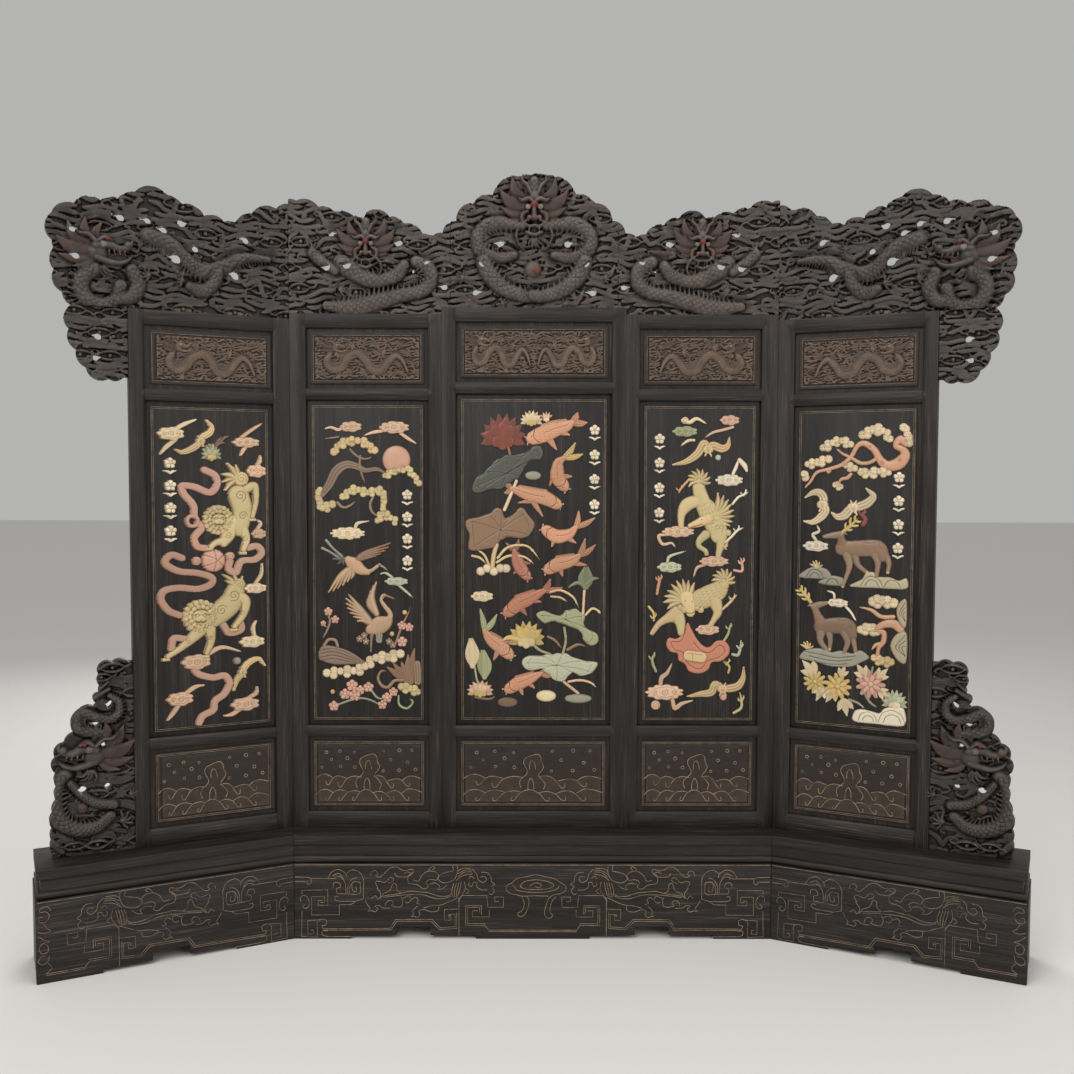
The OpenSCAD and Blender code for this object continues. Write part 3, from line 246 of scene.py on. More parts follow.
def profile_height(kind: Profile, near: np.ndarray, along: np.ndarray, across: np.ndarray,
                   radius: np.ndarray) -> np.ndarray:
    """Height of a stroke's surface as a share of its full height.

    Args:
        kind: The section.
        near: Distance from the middle line as a share of the radius.
        along: Distance along the stroke.
        across: Distance to one side as a share of the radius, with its sign.
        radius: The stroke's own radius at each point.

    Returns:
        Shares from 0 to 1.
    """
    edge = np.clip(1 - near, 0, 1)
    dome = np.sqrt(np.clip(1 - near**2, 0, 1))
    if kind == Profile.FLAT:
        rim = np.clip(edge * radius / 3.0, 0, 1)
        return np.sqrt(np.clip(1 - (1 - rim)**2, 0, 1))
    if kind == Profile.RIDGE:
        return edge**0.8
    if kind == Profile.HOLLOW:
        return dome * (0.72 + 0.28 * near**2 / np.maximum(dome, 0.3))
    if kind == Profile.REEDS:
        return dome * (0.8 + 0.2 * np.cos(across * math.pi * 3))
    if kind == Profile.NET:
        pitch = np.clip(radius * 0.42, 6.0, 11.0)
        u, v = along / pitch, across * radius / pitch
        lines = [np.abs(((u + sign * v) / 2) % 1 - 0.5) * 2 for sign in (-1, 1)]
        cell = np.clip((1 - np.maximum(*lines)) * 2.6, 0, 1)
        return dome * (0.84 + 0.16 * cell)
    if kind == Profile.SCALES:
        pitch = np.maximum(radius * 0.46, 4.6)
        row = np.floor(along / pitch)
        col = across * 3.2 + 0.5 * (row % 2)
        u = along / pitch - row
        v = (col - np.floor(col)) - 0.5
        scale = np.clip(1 - (u**2 + (v * 2)**2) * 0.8, 0, 1)
        return dome * (0.78 + 0.22 * scale)
    return dome


class Relief:
    """A carved surface kept as heights, inside distances and colours over a grid."""

    def __init__(self, low: Point, high: Point, step: float, ground: float | None = None) -> None:
        """Makes an empty grid.

        Args:
            low: Lowest corner in millimetres.
            high: Highest corner in millimetres.
            step: Distance between grid points.
            ground: Height of the surface that the carving starts from, or None for bare inlays.
        """
        self.step = step
        self.xs = np.arange(low[0], high[0] + step, step)
        self.zs = np.arange(low[1], high[1] + step, step)
        shape = (len(self.zs), len(self.xs))
        self.floor = -99.0 if ground is None else ground
        self.height = np.full(shape, self.floor)
        self.inside = np.full(shape, OUTSIDE)
        self.tint = np.zeros(shape + (3,))

    def window(self, low: np.ndarray, high: np.ndarray) -> tuple[slice, slice]:
        """Rows and columns of the grid between two corners.

        Args:
            low: Lowest corner.
            high: Highest corner.

        Returns:
            Slices of rows and of columns.
        """
        c0 = int(np.clip((low[0] - self.xs[0]) / self.step, 0, len(self.xs)))
        c1 = int(np.clip((high[0] - self.xs[0]) / self.step + 2, 0, len(self.xs)))
        r0 = int(np.clip((low[1] - self.zs[0]) / self.step, 0, len(self.zs)))
        r1 = int(np.clip((high[1] - self.zs[0]) / self.step + 2, 0, len(self.zs)))
        return slice(r0, r1), slice(c0, c1)

    def trace(self, path: np.ndarray, radii: np.ndarray) -> tuple:
        """Measures the grid points near a path.

        Args:
            path: Points along the middle of a stroke.
            radii: The stroke's radius at each point.

        Returns:
            The window, then nearness, distance along, side share and radius at each of its points.
        """
        reach = radii.max() + self.step
        rows, cols = self.window(path.min(0) - reach, path.max(0) + reach)
        x, z = self.xs[cols], self.zs[rows]
        shape = (len(z), len(x))
        near = np.full(shape, 9.0)
        along, across, radius = np.zeros(shape), np.zeros(shape), np.ones(shape)
        if not near.size:
            return (rows, cols), near, along, across, radius
        run = 0.0
        for a, b, ra, rb in zip(path, path[1:], radii, radii[1:]):
            big = max(ra, rb) + self.step * 1.5
            c0 = max(0, int((min(a[0], b[0]) - big - x[0]) / self.step))
            c1 = int((max(a[0], b[0]) + big - x[0]) / self.step) + 2
            r0 = max(0, int((min(a[1], b[1]) - big - z[0]) / self.step))
            r1 = int((max(a[1], b[1]) + big - z[0]) / self.step) + 2
            gx, gz = x[None, c0:c1] - a[0], z[r0:r1, None] - a[1]
            step = b - a
            length = float(np.hypot(*step))
            if gx.size and gz.size and length > 0:
                t = np.clip((gx * step[0] + gz * step[1]) / length**2, 0, 1)
                ox, oz = gx - t * step[0], gz - t * step[1]
                r = ra + t * (rb - ra)
                share = np.hypot(ox, oz) / np.maximum(r, 0.1)
                old = near[r0:r1, c0:c1]
                better = share < old
                old[better] = share[better]
                along[r0:r1, c0:c1][better] = (run + t * length)[better]
                side = np.sign(ox * step[1] - oz * step[0]) * share
                across[r0:r1, c0:c1][better] = side[better]
                radius[r0:r1, c0:c1][better] = r[better]
            run += length
        return (rows, cols), near, along, across, radius

    def lay(self, where: tuple[slice, slice], keep: np.ndarray, height: np.ndarray,
            inside: np.ndarray, tint: Colour | None) -> None:
        """Adds a form where it stands above what is there.

        Args:
            where: Window of the grid.
            keep: Points that the form covers.
            height: Heights of the form.
            inside: Distances inside the form's edge.
            tint: Colour, or None to keep what is there.
        """
        target = self.height[where]
        wins = keep & (height > target)
        target[wins] = height[wins]
        if tint is not None:
            self.tint[where][wins] = tint
        np.maximum(self.inside[where], inside, out=self.inside[where])

    def stroke(self, points: Sequence[Point], radii: float | Sequence[float], height: float,
               base: float = 0.0, kind: Profile = Profile.ROUND, tint: Colour | None = None,
               straight: bool = False, fills: bool = True) -> None:
        """Carves a rounded stroke along a path.

        Args:
            points: Points on the middle line.
            radii: One radius, or one for each point.
            height: How far the middle stands above the base.
            base: Level at the stroke's edge.
            kind: The stroke's section.
            tint: Colour, or None to keep what is there.
            straight: Whether the path keeps its corners.
            fills: Whether the stroke closes openings under it.
        """
        given = np.asarray(points, float)
        sizes = np.full(len(given), float(radii)) if np.isscalar(radii) else np.asarray(radii, float)
        if straight:
            path = np.column_stack([given, sizes])
        else:
            path = smooth_path(np.column_stack([given, sizes]), max(3 * self.step, 4.0))
        where, near, along, across, radius = self.trace(path[:, :2], np.maximum(path[:, 2], 0.4))
        if not near.size:
            return
        rise = base + height * profile_height(kind, near, along, across, radius)
        inside = (1 - near) * radius if fills else np.full(near.shape, OUTSIDE)
        self.lay(where, near < 1, rise, inside, tint)

    def groove(self, points: Sequence[Point], radius: float, depth: float,
               straight: bool = False) -> None:
        """Cuts a rounded groove along a path into what is there.

        Args:
            points: Points on the groove's middle line.
            radius: Half its width.
            depth: How deep its middle is.
            straight: Whether the path keeps its corners.
        """
        path = np.asarray(points, float)
        if not straight:
            path = smooth_path(path, max(3 * self.step, 4.0))
        where, near, *_ = self.trace(path, np.full(len(path), radius))
        if near.size:
            self.height[where] -= depth * np.clip(1 - near**2, 0, 1)

    def outline_distance(self, outline: np.ndarray, margin: float) -> tuple:
        """Measures how far the grid points near a closed outline lie inside it.

        Args:
            outline: Points round the outline.
            margin: Width of the band outside it that is measured too.

        Returns:
            The window and the distances, negative outside.
        """
        rows, cols = self.window(outline.min(0) - margin, outline.max(0) + margin)
        x, z = self.xs[None, cols], self.zs[rows, None]
        best = np.full((z.shape[0], x.shape[1]), 1e9)
        odd = np.zeros(best.shape, bool)
        for a, b in zip(outline, np.roll(outline, -1, axis=0)):
            d = b - a
            square = float(d @ d)
            if square == 0:
                continue
            gx, gz = x - a[0], z - a[1]
            t = np.clip((gx * d[0] + gz * d[1]) / square, 0, 1)
            np.minimum(best, (gx - t * d[0])**2 + (gz - t * d[1])**2, out=best)
            if a[1] != b[1]:
                spans = (z < a[1]) != (z < b[1])
                odd ^= spans & (x < a[0] + (z - a[1]) * d[0] / d[1])
        distance = np.sqrt(best)
        return (rows, cols), np.where(odd, distance, -distance)

    def blob(self, points: Sequence[Point], height: float, base: float = 0.0, rim: float = 8.0,
             tint: Colour | None = None, straight: bool = False) -> None:
        """Carves a closed form with a flat middle and a rounded rim.

        Args:
            points: Points round the outline.
            height: How far the middle stands above the base.
            base: Level at the outline.
            rim: Width of the rounded rim.
            tint: Colour, or None to keep what is there.
            straight: Whether the outline keeps its corners.
        """
        outline = np.asarray(points, float) if straight else smooth_path(points, 6.0, closed=True)
        where, distance = self.outline_distance(outline, 2 * self.step)
        share = np.clip(distance / rim, 0, 1)
        rise = base + height * np.sqrt(np.clip(1 - (1 - share)**2, 0, 1))
        self.lay(where, distance > 0, rise, distance, tint)

    def cut(self, points: Sequence[Point], straight: bool = False) -> None:
        """Cuts an opening right through.

        Args:
            points: Points round the opening.
            straight: Whether the outline keeps its corners.
        """
        outline = np.asarray(points, float) if straight else smooth_path(points, 6.0, closed=True)
        where, distance = self.outline_distance(outline, 3 * self.step)
        np.minimum(self.inside[where], -distance, out=self.inside[where])
        target = self.height[where]
        target[distance > 0] = self.floor

    def disc(self, x: float, z: float, radius: float, height: float, base: float = 0.0,
             tint: Colour | None = None, stretch: float = 1.0, fills: bool = True) -> None:
        """Carves a round or stretched button.

        Args:
            x: Place of the middle along the section.
            z: Height of the middle.
            radius: Radius, measured upwards.
            height: How far the middle stands above the base.
            base: Level at the edge.
            tint: Colour, or None to keep what is there.
            stretch: How many times wider than tall it is.
            fills: Whether it closes openings under it.
        """
        reach = np.array([radius * stretch, radius]) + self.step
        rows, cols = self.window(np.array([x, z]) - reach, np.array([x, z]) + reach)
        dx, dz = (self.xs[None, cols] - x) / stretch, self.zs[rows, None] - z
        near = np.hypot(dx, dz) / radius
        rise = base + height * np.sqrt(np.clip(1 - near**2, 0, 1))
        inside = (1 - near) * radius if fills else np.full(near.shape, OUTSIDE)
        self.lay((rows, cols), near < 1, rise, inside, tint)

    def ring(self, x: float, z: float, radius: float, width: float, depth: float) -> None:
        """Cuts a round groove.

        Args:
            x: Place of the middle along the section.
            z: Height of the middle.
            radius: Radius of the groove's middle line.
            width: Half the groove's width.
            depth: How deep its middle is.
        """
        reach = radius + width
        rows, cols = self.window(np.array([x, z]) - reach, np.array([x, z]) + reach)
        away = np.abs(np.hypot(self.xs[None, cols] - x, self.zs[rows, None] - z) - radius) / width
        self.height[rows, cols] -= depth * np.clip(1 - away**2, 0, 1)

    def wear_and_shade(self, used: np.ndarray, height: np.ndarray, crisp: float) -> np.ndarray:
        """Measures how raised each point is over its surroundings: low in hollows, where the finishes paint
        shade, and high on ridges and edges, which the carved finish shows as rubbed wood.

        Args:
            used: Points that belong to the carving.
            height: Heights of the surface.
            crisp: Height over the surroundings that makes the whole difference.

        Returns:
            Shares from 0 to 1.
        """
        reach = 4

        def summed(values: np.ndarray) -> np.ndarray:
            """Sums the values in a square window round each point."""
            for axis in (0, 1):
                around = [(reach + 1, reach) if side == axis else (0, 0) for side in (0, 1)]
                total = np.moveaxis(np.cumsum(np.pad(values, around), axis), axis, 0)
                values = np.moveaxis(total[2 * reach + 1:] - total[:-2 * reach - 1], 0, axis)
            return values

        around = summed(np.where(used, height, 0.0)) / np.maximum(summed(used.astype(float)), 1.0)
        low, high = np.percentile(height[used], [4, 96])
        broad = np.clip((height - low) / max(high - low, 1), 0, 1)
        return np.clip(0.3 * broad + 0.7 * (0.5 + (height - around) / crisp), 0, 1)

    def mesh(self, name: str, place: Place, face: float, back: float, lift: float = 0.0,
             roll: float = 3.0, open_back: bool = False, crisp: float = 4.0) -> bpy.types.Object:
        """Turns the grid into a closed mesh.

        Args:
            name: Name of the piece.
            place: The section that it belongs to.
            face: Depth of the surface that heights are measured from.
            back: Depth of the flat back.
            lift: Height of the grid's zero above the floor.
            roll: Width over which edges are rounded off.
            open_back: Whether the back may show, so that openings go through it.
            crisp: Height over its surroundings at which the surface is free of painted shade and, on carved
                wood, rubbed bare.

        Returns:
            The new object, with its place in its mesh and its colours in an attribute.
        """
        solid = self.inside > 0
        cells = solid[:-1, :-1] & solid[1:, :-1] & solid[:-1, 1:] & solid[1:, 1:]
        count = np.zeros(solid.shape, int)
        for rows in (slice(0, -1), slice(1, None)):
            for cols in (slice(0, -1), slice(1, None)):
                count[rows, cols] += cells
        used = count > 0
        rim = used & (count < 4)
        index = np.full(solid.shape, -1)
        index[used] = np.arange(used.sum())
        gz, gx = np.gradient(np.clip(self.inside, -3 * self.step, 3 * self.step), self.step)
        steep = np.maximum(gx**2 + gz**2, 0.25)
        move = np.where(rim, np.clip(self.inside, 0, 1.3 * self.step), 0) / steep
        x = np.broadcast_to(self.xs[None, :], solid.shape) - gx * move
        z = np.broadcast_to(self.zs[:, None], solid.shape) - gz * move
        edge = np.clip(self.inside / roll, 0, 1)
        height = self.height - roll * 0.8 * (1 - np.sqrt(np.clip(1 - (1 - edge)**2, 0, 1)))
        depth = np.minimum(face - height, back - 0.6)
        front = place.world(place.mitred(x[used], depth[used]), depth[used], z[used] + lift)
        corners = [index[:-1, :-1], index[:-1, 1:], index[1:, 1:], index[1:, :-1]]
        quads = np.stack([c[cells] for c in corners], axis=1)
        near_cells = np.pad(cells, 1)
        inner = near_cells[1:-1, 1:-1]
        sides = [(near_cells[:-2, 1:-1], 0, 1), (near_cells[1:-1, 2:], 1, 2),
                 (near_cells[2:, 1:-1], 2, 3), (near_cells[1:-1, :-2], 3, 0)]
        edges = np.vstack([
            np.stack([corners[a][inner & ~beside], corners[b][inner & ~beside]], axis=1)
            for beside, a, b in sides
        ])
        if open_back:
            rear_of = np.arange(used.sum()) + used.sum()
            deep = np.full(int(used.sum()), float(back))
            rear = place.world(place.mitred(x[used], deep), deep, z[used] + lift)
        else:
            rear_ids = np.unique(edges)
            rear_of = np.full(int(used.sum()), -1)
            rear_of[rear_ids] = np.arange(len(rear_ids)) + used.sum()
            rear = place.world(x[used][rear_ids], np.full(len(rear_ids), float(back)),
                               z[used][rear_ids] + lift)
        walls = np.stack([edges[:, 1], edges[:, 0], rear_of[edges[:, 0]], rear_of[edges[:, 1]]], 1)
        faces = [quads, walls] + ([rear_of[quads][:, ::-1]] if open_back else [])
        faces = np.vstack(faces)
        if place.mirrored:
            faces = faces[:, ::-1]
        vertices = np.vstack([front, rear])
        data = bpy.data.meshes.new(name)
        data.vertices.add(len(vertices))
        data.vertices.foreach_set("co", vertices.ravel())
        data.loops.add(faces.size)
        data.loops.foreach_set("vertex_index", faces.ravel().astype(np.int32))
        data.polygons.add(len(faces))
        data.polygons.foreach_set("loop_start", np.arange(0, faces.size, 4, dtype=np.int32))
        data.polygons.foreach_set("loop_total", np.full(len(faces), 4, np.int32))
        data.update(calc_edges=True)
        tints = np.ones((len(vertices), 4), np.float32)
        tints[:int(used.sum()), :3] = self.tint[used]
        tints[int(used.sum()):, :3] = self.tint[used] if open_back else self.tint[used][rear_ids]
        paint = data.attributes.new("tint", "FLOAT_COLOR", "POINT")
        paint.data.foreach_set("color", tints.ravel())
        # Rise carries painted shade in the hollows and rubbed wear on the ridges.
        rise = np.zeros(len(vertices), np.float32)
        rise[:int(used.sum())] = self.wear_and_shade(used, height, crisp)[used]
        data.attributes.new("rise", "FLOAT", "POINT").data.foreach_set("value", rise)
        if not open_back:
            form = bmesh.new()
            form.from_mesh(data)
            gaps = [e for e in form.edges if e.is_boundary]
            bmesh.ops.holes_fill(form, edges=gaps, sides=0)
            loose = [e for e in form.edges if e.is_boundary]
            if loose:
                bmesh.ops.triangle_fill(form, edges=loose, use_beauty=False)
            bmesh.ops.recalc_face_normals(form, faces=form.faces)
            form.to_mesh(data)
            form.free()
        data.polygons.foreach_set("use_smooth", np.ones(len(data.polygons), bool))
        data.set_sharp_from_angle(angle=math.radians(48))
        return linked(name, data)


class Sum:
    """A number on a shader socket, so that sums are written as Python expressions."""

    def __init__(self, shader: "Shader", socket: bpy.types.NodeSocket) -> None:
        """Wraps one output socket."""
        self.shader = shader
        self.socket = socket

    def _with(self, operation: str, first: "Sum | float", second: "Sum | float") -> "Sum":
        """Adds one Math node."""
        made = self.shader.node("ShaderNodeMath", {"operation": operation}, {0: first, 1: second})
        return Sum(self.shader, made.outputs[0])

    def __add__(self, other: "Sum | float") -> "Sum":
        """Sum of two numbers."""
        return self._with("ADD", self, other)

    __radd__ = __add__

    def __sub__(self, other: "Sum | float") -> "Sum":
        """Difference of two numbers."""
        return self._with("SUBTRACT", self, other)

    def __rsub__(self, other: "Sum | float") -> "Sum":
        """Difference the other way round."""
        return self._with("SUBTRACT", other, self)

    def __mul__(self, other: "Sum | float") -> "Sum":
        """Product of two numbers."""
        return self._with("MULTIPLY", self, other)

    __rmul__ = __mul__

    def between(self, low: float, high: float) -> "Sum":
        """Share of the way from low to high, kept between 0 and 1.

        Args:
            low: Value that gives 0.
            high: Value that gives 1.

        Returns:
            The share.
        """
        made = self.shader.node("ShaderNodeMapRange", {"clamp": True},
                                {0: self, 1: low, 2: high, 3: 0.0, 4: 1.0})
        return Sum(self.shader, made.outputs[0])


class Shader:
    """Builds one material round a Principled shader."""

    def __init__(self, name: str) -> None:
        """Makes an empty material of that name.

        Args:
            name: Name of the material.
        """
        self.material = bpy.data.materials.new(name)
        self.material.use_nodes = True
        self.tree = self.material.node_tree
        self.tree.nodes.clear()
        self.surface = self.node("ShaderNodeBsdfPrincipled")
        output = self.node("ShaderNodeOutputMaterial")
        self.tree.links.new(self.surface.outputs[0], output.inputs[0])

    def node(self, kind: str, settings: dict | None = None, values: dict | None = None) -> bpy.types.Node:
        """Adds a node.

        Args:
            kind: The node's type.
            settings: Its own settings, which are set first.
            values: Numbers, links or sums for its sockets, by name or place.

        Returns:
            The new node.
        """
        made = self.tree.nodes.new(kind)
        for key, value in (settings or {}).items():
            setattr(made, key, value)
        for key, value in (values or {}).items():
            self.feed(made.inputs[key], value)
        return made

    def feed(self, socket: bpy.types.NodeSocket, value: object) -> None:
        """Gives a socket a sum, a link, a number or a colour.

        Args:
            socket: The input socket.
            value: What it gets.
        """
        if isinstance(value, Sum):
            self.tree.links.new(value.socket, socket)
        elif isinstance(value, bpy.types.NodeSocket):
            self.tree.links.new(value, socket)
        else:
            socket.default_value = (*value, 1.0) if socket.type == "RGBA" else value

    def attribute(self, name: str) -> bpy.types.Node:
        """Reads one of the mesh's own attributes."""
        return self.node("ShaderNodeAttribute", {"attribute_name": name})

    def place(self, scale: Sequence[float], turn: float = 0.0) -> bpy.types.NodeSocket:
        """Object coordinates, turned about the upright axis and then scaled.

        Args:
            scale: Factors along the three axes.
            turn: Angle about the upright axis, in radians.

        Returns:
            The socket with the coordinates.
        """
        coords = self.node("ShaderNodeTexCoord").outputs["Object"]
        swung = self.node("ShaderNodeMapping", None, {0: coords, "Rotation": (0, 0, turn)})
        sized = self.node("ShaderNodeMapping", None, {0: swung.outputs[0], "Scale": tuple(scale)})
        return sized.outputs[0]

    def noise(self, where: bpy.types.NodeSocket, scale: float, detail: float = 3.0,
              rough: float = 0.5) -> Sum:
        """Smooth random values about 0.5.

        Args:
            where: Coordinates to read it at.
            scale: How fine it is.
            detail: How many finer layers it has.
            rough: How strong the finer layers are.

        Returns:
            The values.
        """
        made = self.node("ShaderNodeTexNoise", None,
                         {"Vector": where, "Scale": scale, "Detail": detail, "Roughness": rough})
        return Sum(self, made.outputs[0])

    def mix(self, share: "Sum | float", first: object, second: object,
            blend: str = "MIX") -> bpy.types.NodeSocket:
        """Blends two colours.

        Args:
            share: How much of the second colour there is.
            first: Colour socket or colour.
            second: Colour socket or colour.
            blend: How the two are blended.

        Returns:
            The colour socket of the result.
        """
        made = self.node("ShaderNodeMix", {"data_type": "RGBA", "blend_type": blend},
                         {0: share, 6: first, 7: second})
        return made.outputs[2]

    def bump(self, height: Sum, depth: float) -> None:
        """Feeds a height in metres to the surface's normal."""
        made = self.node("ShaderNodeBump", None, {"Height": height, "Distance": depth, "Strength": 1.0})
        self.tree.links.new(made.outputs[0], self.surface.inputs["Normal"])

    def finish(self, colour: object, roughness: "Sum | float", coat: float = 0.0,
               shine: float = 0.5) -> bpy.types.Material:
        """Connects colour and roughness and returns the material.

        Args:
            colour: Colour socket or colour.
            roughness: Roughness of the surface.
            coat: Strength of a clear coat.
            shine: Strength of the plain reflection.

        Returns:
            The finished material.
        """
        self.surface.inputs["Specular IOR Level"].default_value = shine
        self.surface.inputs["Coat Weight"].default_value = coat
        self.surface.inputs["Coat Roughness"].default_value = 0.3
        self.feed(self.surface.inputs["Base Color"], colour)
        self.feed(self.surface.inputs["Roughness"], roughness)
        return self.material


class Grain(Enum):
    """Direction in which the wood's fibres run."""

    UPRIGHT = "upright"
    LEVEL = "level"
    LEVEL_LEFT = "level_left"
    LEVEL_RIGHT = "level_right"


@dataclass(frozen=True)
class WoodFinish:
    """Ebonised hardwood: near black, with worn grey-brown fibres."""

    name: str
    grain: Grain
    deep: Colour = (0.0075, 0.0062, 0.0057)
    body: Colour = (0.0175, 0.0140, 0.0125)
    fibre: Colour = (0.085, 0.069, 0.060)
    roughness: float = 0.42

    def material(self) -> bpy.types.Material:
        """Builds the finish.

        Returns:
            The finished material.
        """
        shader = Shader(self.name)
        turn = {Grain.LEVEL_LEFT: -1, Grain.LEVEL_RIGHT: 1}.get(self.grain, 0)
        turn = math.radians(turn * SIZES.wing_angle)
        along = (420, 420, 7) if self.grain == Grain.UPRIGHT else (7, 420, 420)
        broad = (40, 40, 2) if self.grain == Grain.UPRIGHT else (2, 40, 40)
        fibres = shader.noise(shader.place(along, turn), 1.0, 4.0, 0.62)
        bands = shader.noise(shader.place(broad, turn), 1.0, 3.0, 0.55)
        cloudy = shader.noise(shader.place((1, 1, 1)), 3.4, 3.0)
        pale_share = fibres.between(0.50, 0.72) * (0.35 + 0.9 * bands.between(0.42, 0.66))
        colour = shader.mix(bands.between(0.3, 0.7), self.deep, self.body)
        colour = shader.mix(pale_share * (0.55 + 0.6 * cloudy.between(0.35, 0.68)), colour, self.fibre)
        shader.bump(fibres * 0.8 + bands * 0.2, 0.0006)
        return shader.finish(colour, self.roughness + 0.22 * fibres.between(0.4, 0.7), shine=0.3)


@dataclass(frozen=True)
class CarvedFinish:
    """Carved wood: painted shade in the hollows, worn on the high spots, with painted touches."""

    name: str
    hollow: Colour
    gain: float = 1.0
    roughness: float = 0.42

    def material(self) -> bpy.types.Material:
        """Builds the finish from the piece's own colour and rise.

        Returns:
            The finished material.
        """
        shader = Shader(self.name)
        tint = shader.attribute("tint").outputs["Color"]
        rise = Sum(shader, shader.attribute("rise").outputs["Fac"])
        fibres = shader.noise(shader.place((30, 30, 260)), 1.0, 4.0, 0.6)
        patches = shader.noise(shader.place((1, 1, 1)), 28.0, 4.0, 0.6)
        # Painted shade: low rise blends towards the near-black hollow colour, and high rise shows the rubbed
        # tint.
        pale_share = rise.between(0.22, 0.92) * (0.6 + 0.5 * patches.between(0.35, 0.65)) * self.gain
        colour = shader.mix(pale_share.between(0.0, 1.0), self.hollow, tint)
        colour = shader.mix(fibres.between(0.5, 0.75) * 0.30, colour, (0.070, 0.056, 0.049))
        shader.bump(fibres * 0.5 + patches * 0.5, 0.0005)
        return shader.finish(colour, self.roughness + 0.2 * patches.between(0.4, 0.7), shine=0.32)


@dataclass(frozen=True)
class StoneFinish:
    """Polished soapstone that takes each piece's own colour and mottles it, with painted shade in its
    hollows and along its rims.
    """

    name: str
    roughness: float = 0.38

    def material(self) -> bpy.types.Material:
        """Builds the finish.

        Returns:
            The finished material.
        """
        shader = Shader(self.name)
        tint = shader.attribute("tint").outputs["Color"]
        rise = Sum(shader, shader.attribute("rise").outputs["Fac"])
        cloudy = shader.noise(shader.place((1, 1, 1)), 24.0, 5.0, 0.6)
        veins = shader.noise(shader.place((1.0, 1.0, 2.6)), 60.0, 6.0, 0.7)
        colour = shader.mix(cloudy.between(0.35, 0.7) * 0.30, tint, (0.86, 0.74, 0.55), "MULTIPLY")
        colour = shader.mix(veins.between(0.58, 0.78) * 0.22, colour, (0.80, 0.70, 0.58))
        # Painted shade: the low parts of each stone, its hollows and rolled rims, are darkened towards
        # brown.
        colour = shader.mix((1 - rise).between(0.38, 0.88) * 0.85, colour, (0.32, 0.23, 0.165), "MULTIPLY")
        shader.bump(veins, 0.0003)
        return shader.finish(colour, self.roughness + 0.18 * cloudy.between(0.4, 0.7), 0.08)


@dataclass(frozen=True)
class GiltFinish:
    """Thin gilt lines, rubbed away in places."""

    name: str
    bright: Colour = (0.33, 0.225, 0.13)
    rubbed: Colour = (0.10, 0.068, 0.045)

    def material(self) -> bpy.types.Material:
        """Builds the finish.

        Returns:
            The finished material.
        """
        shader = Shader(self.name)
        rubbed = shader.noise(shader.place((1, 1, 1)), 38.0, 5.0, 0.65)
        colour = shader.mix(rubbed.between(0.42, 0.66), self.bright, self.rubbed)
        shader.bump(rubbed, 0.0002)
        return shader.finish(colour, 0.5 + 0.2 * rubbed.between(0.3, 0.7))


@dataclass(frozen=True)
class SawnFinish:
    """Plain sawn wood of the pieces inside."""

    name: str

    def material(self) -> bpy.types.Material:
        """Builds the finish.

        Returns:
            The finished material.
        """
        shader = Shader(self.name)
        fibres = shader.noise(shader.place((60, 60, 8)), 1.0, 4.0, 0.6)
        colour = shader.mix(fibres.between(0.35, 0.7), (0.10, 0.065, 0.04), (0.24, 0.17, 0.11))
        shader.bump(fibres, 0.0006)
        return shader.finish(colour, 0.65 + 0.15 * fibres)


class Workshop:
    """Keeps the finishes and hands finished pieces to their bodies."""

    def __init__(self) -> None:
        """Builds every finish once."""
        self.upright = WoodFinish("wood_upright", Grain.UPRIGHT).material()
        self.level = {
            0: WoodFinish("wood_level", Grain.LEVEL).material(),
            -1: WoodFinish("wood_level_left", Grain.LEVEL_LEFT).material(),
            1: WoodFinish("wood_level_right", Grain.LEVEL_RIGHT).material(),
        }
        self.ground = WoodFinish("wood_field", Grain.UPRIGHT, body=(0.014, 0.0118, 0.0108),
                                 fibre=(0.058, 0.048, 0.042), roughness=0.46).material()
        # The second value of each carved finish is the near-black painted shade of its hollows.
        self.carved = CarvedFinish("wood_carved", (0.0045, 0.0038, 0.0036)).material()
        self.plaque = CarvedFinish("wood_plaque", (0.008, 0.006, 0.005), 1.15, 0.46).material()
        self.stone = StoneFinish("stone").material()
        self.gilt = GiltFinish("gilt").material()
        self.dull_gilt = GiltFinish("dull_gilt", (0.24, 0.17, 0.105), (0.07, 0.052, 0.038)).material()
        self.sawn = SawnFinish("wood_sawn").material()
        self.count = 0

    def deliver(self, piece: bpy.types.Object, body: str, slot: str,
                material: bpy.types.Material | None = None, replaces: Iterable[str] = ()) -> None:
        """Gives a piece its finish and its body, and hides the nodes that it stands for.

        Args:
            piece: The finished object.
            body: The body that it moves with.
            slot: The record's slot of its finish; not used.
            material: The finish, unless the piece already has it.
            replaces: Names of the nodes that it replaces.
        """
        if material is not None:
            piece.data.materials.clear()
            piece.data.materials.append(material)
        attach(piece, body)
        names = list(replaces)
        if names:
            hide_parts(*names)
        self.count += 1
        log.info("%s rides on %s with %d faces", piece.name, body, len(piece.data.polygons))


def plain_object(name: str, vertices: Sequence, faces: Sequence) -> bpy.types.Object:
    """Makes an object from points in metres and faces.

    Args:
        name: Name of the object.
        vertices: Its points.
        faces: Places of each face's points in that row.

    Returns:
        The new object.
    """
    data = bpy.data.meshes.new(name)
    data.from_pydata([tuple(v) for v in vertices], [], [tuple(f) for f in faces])
    data.update()
    return linked(name, data)


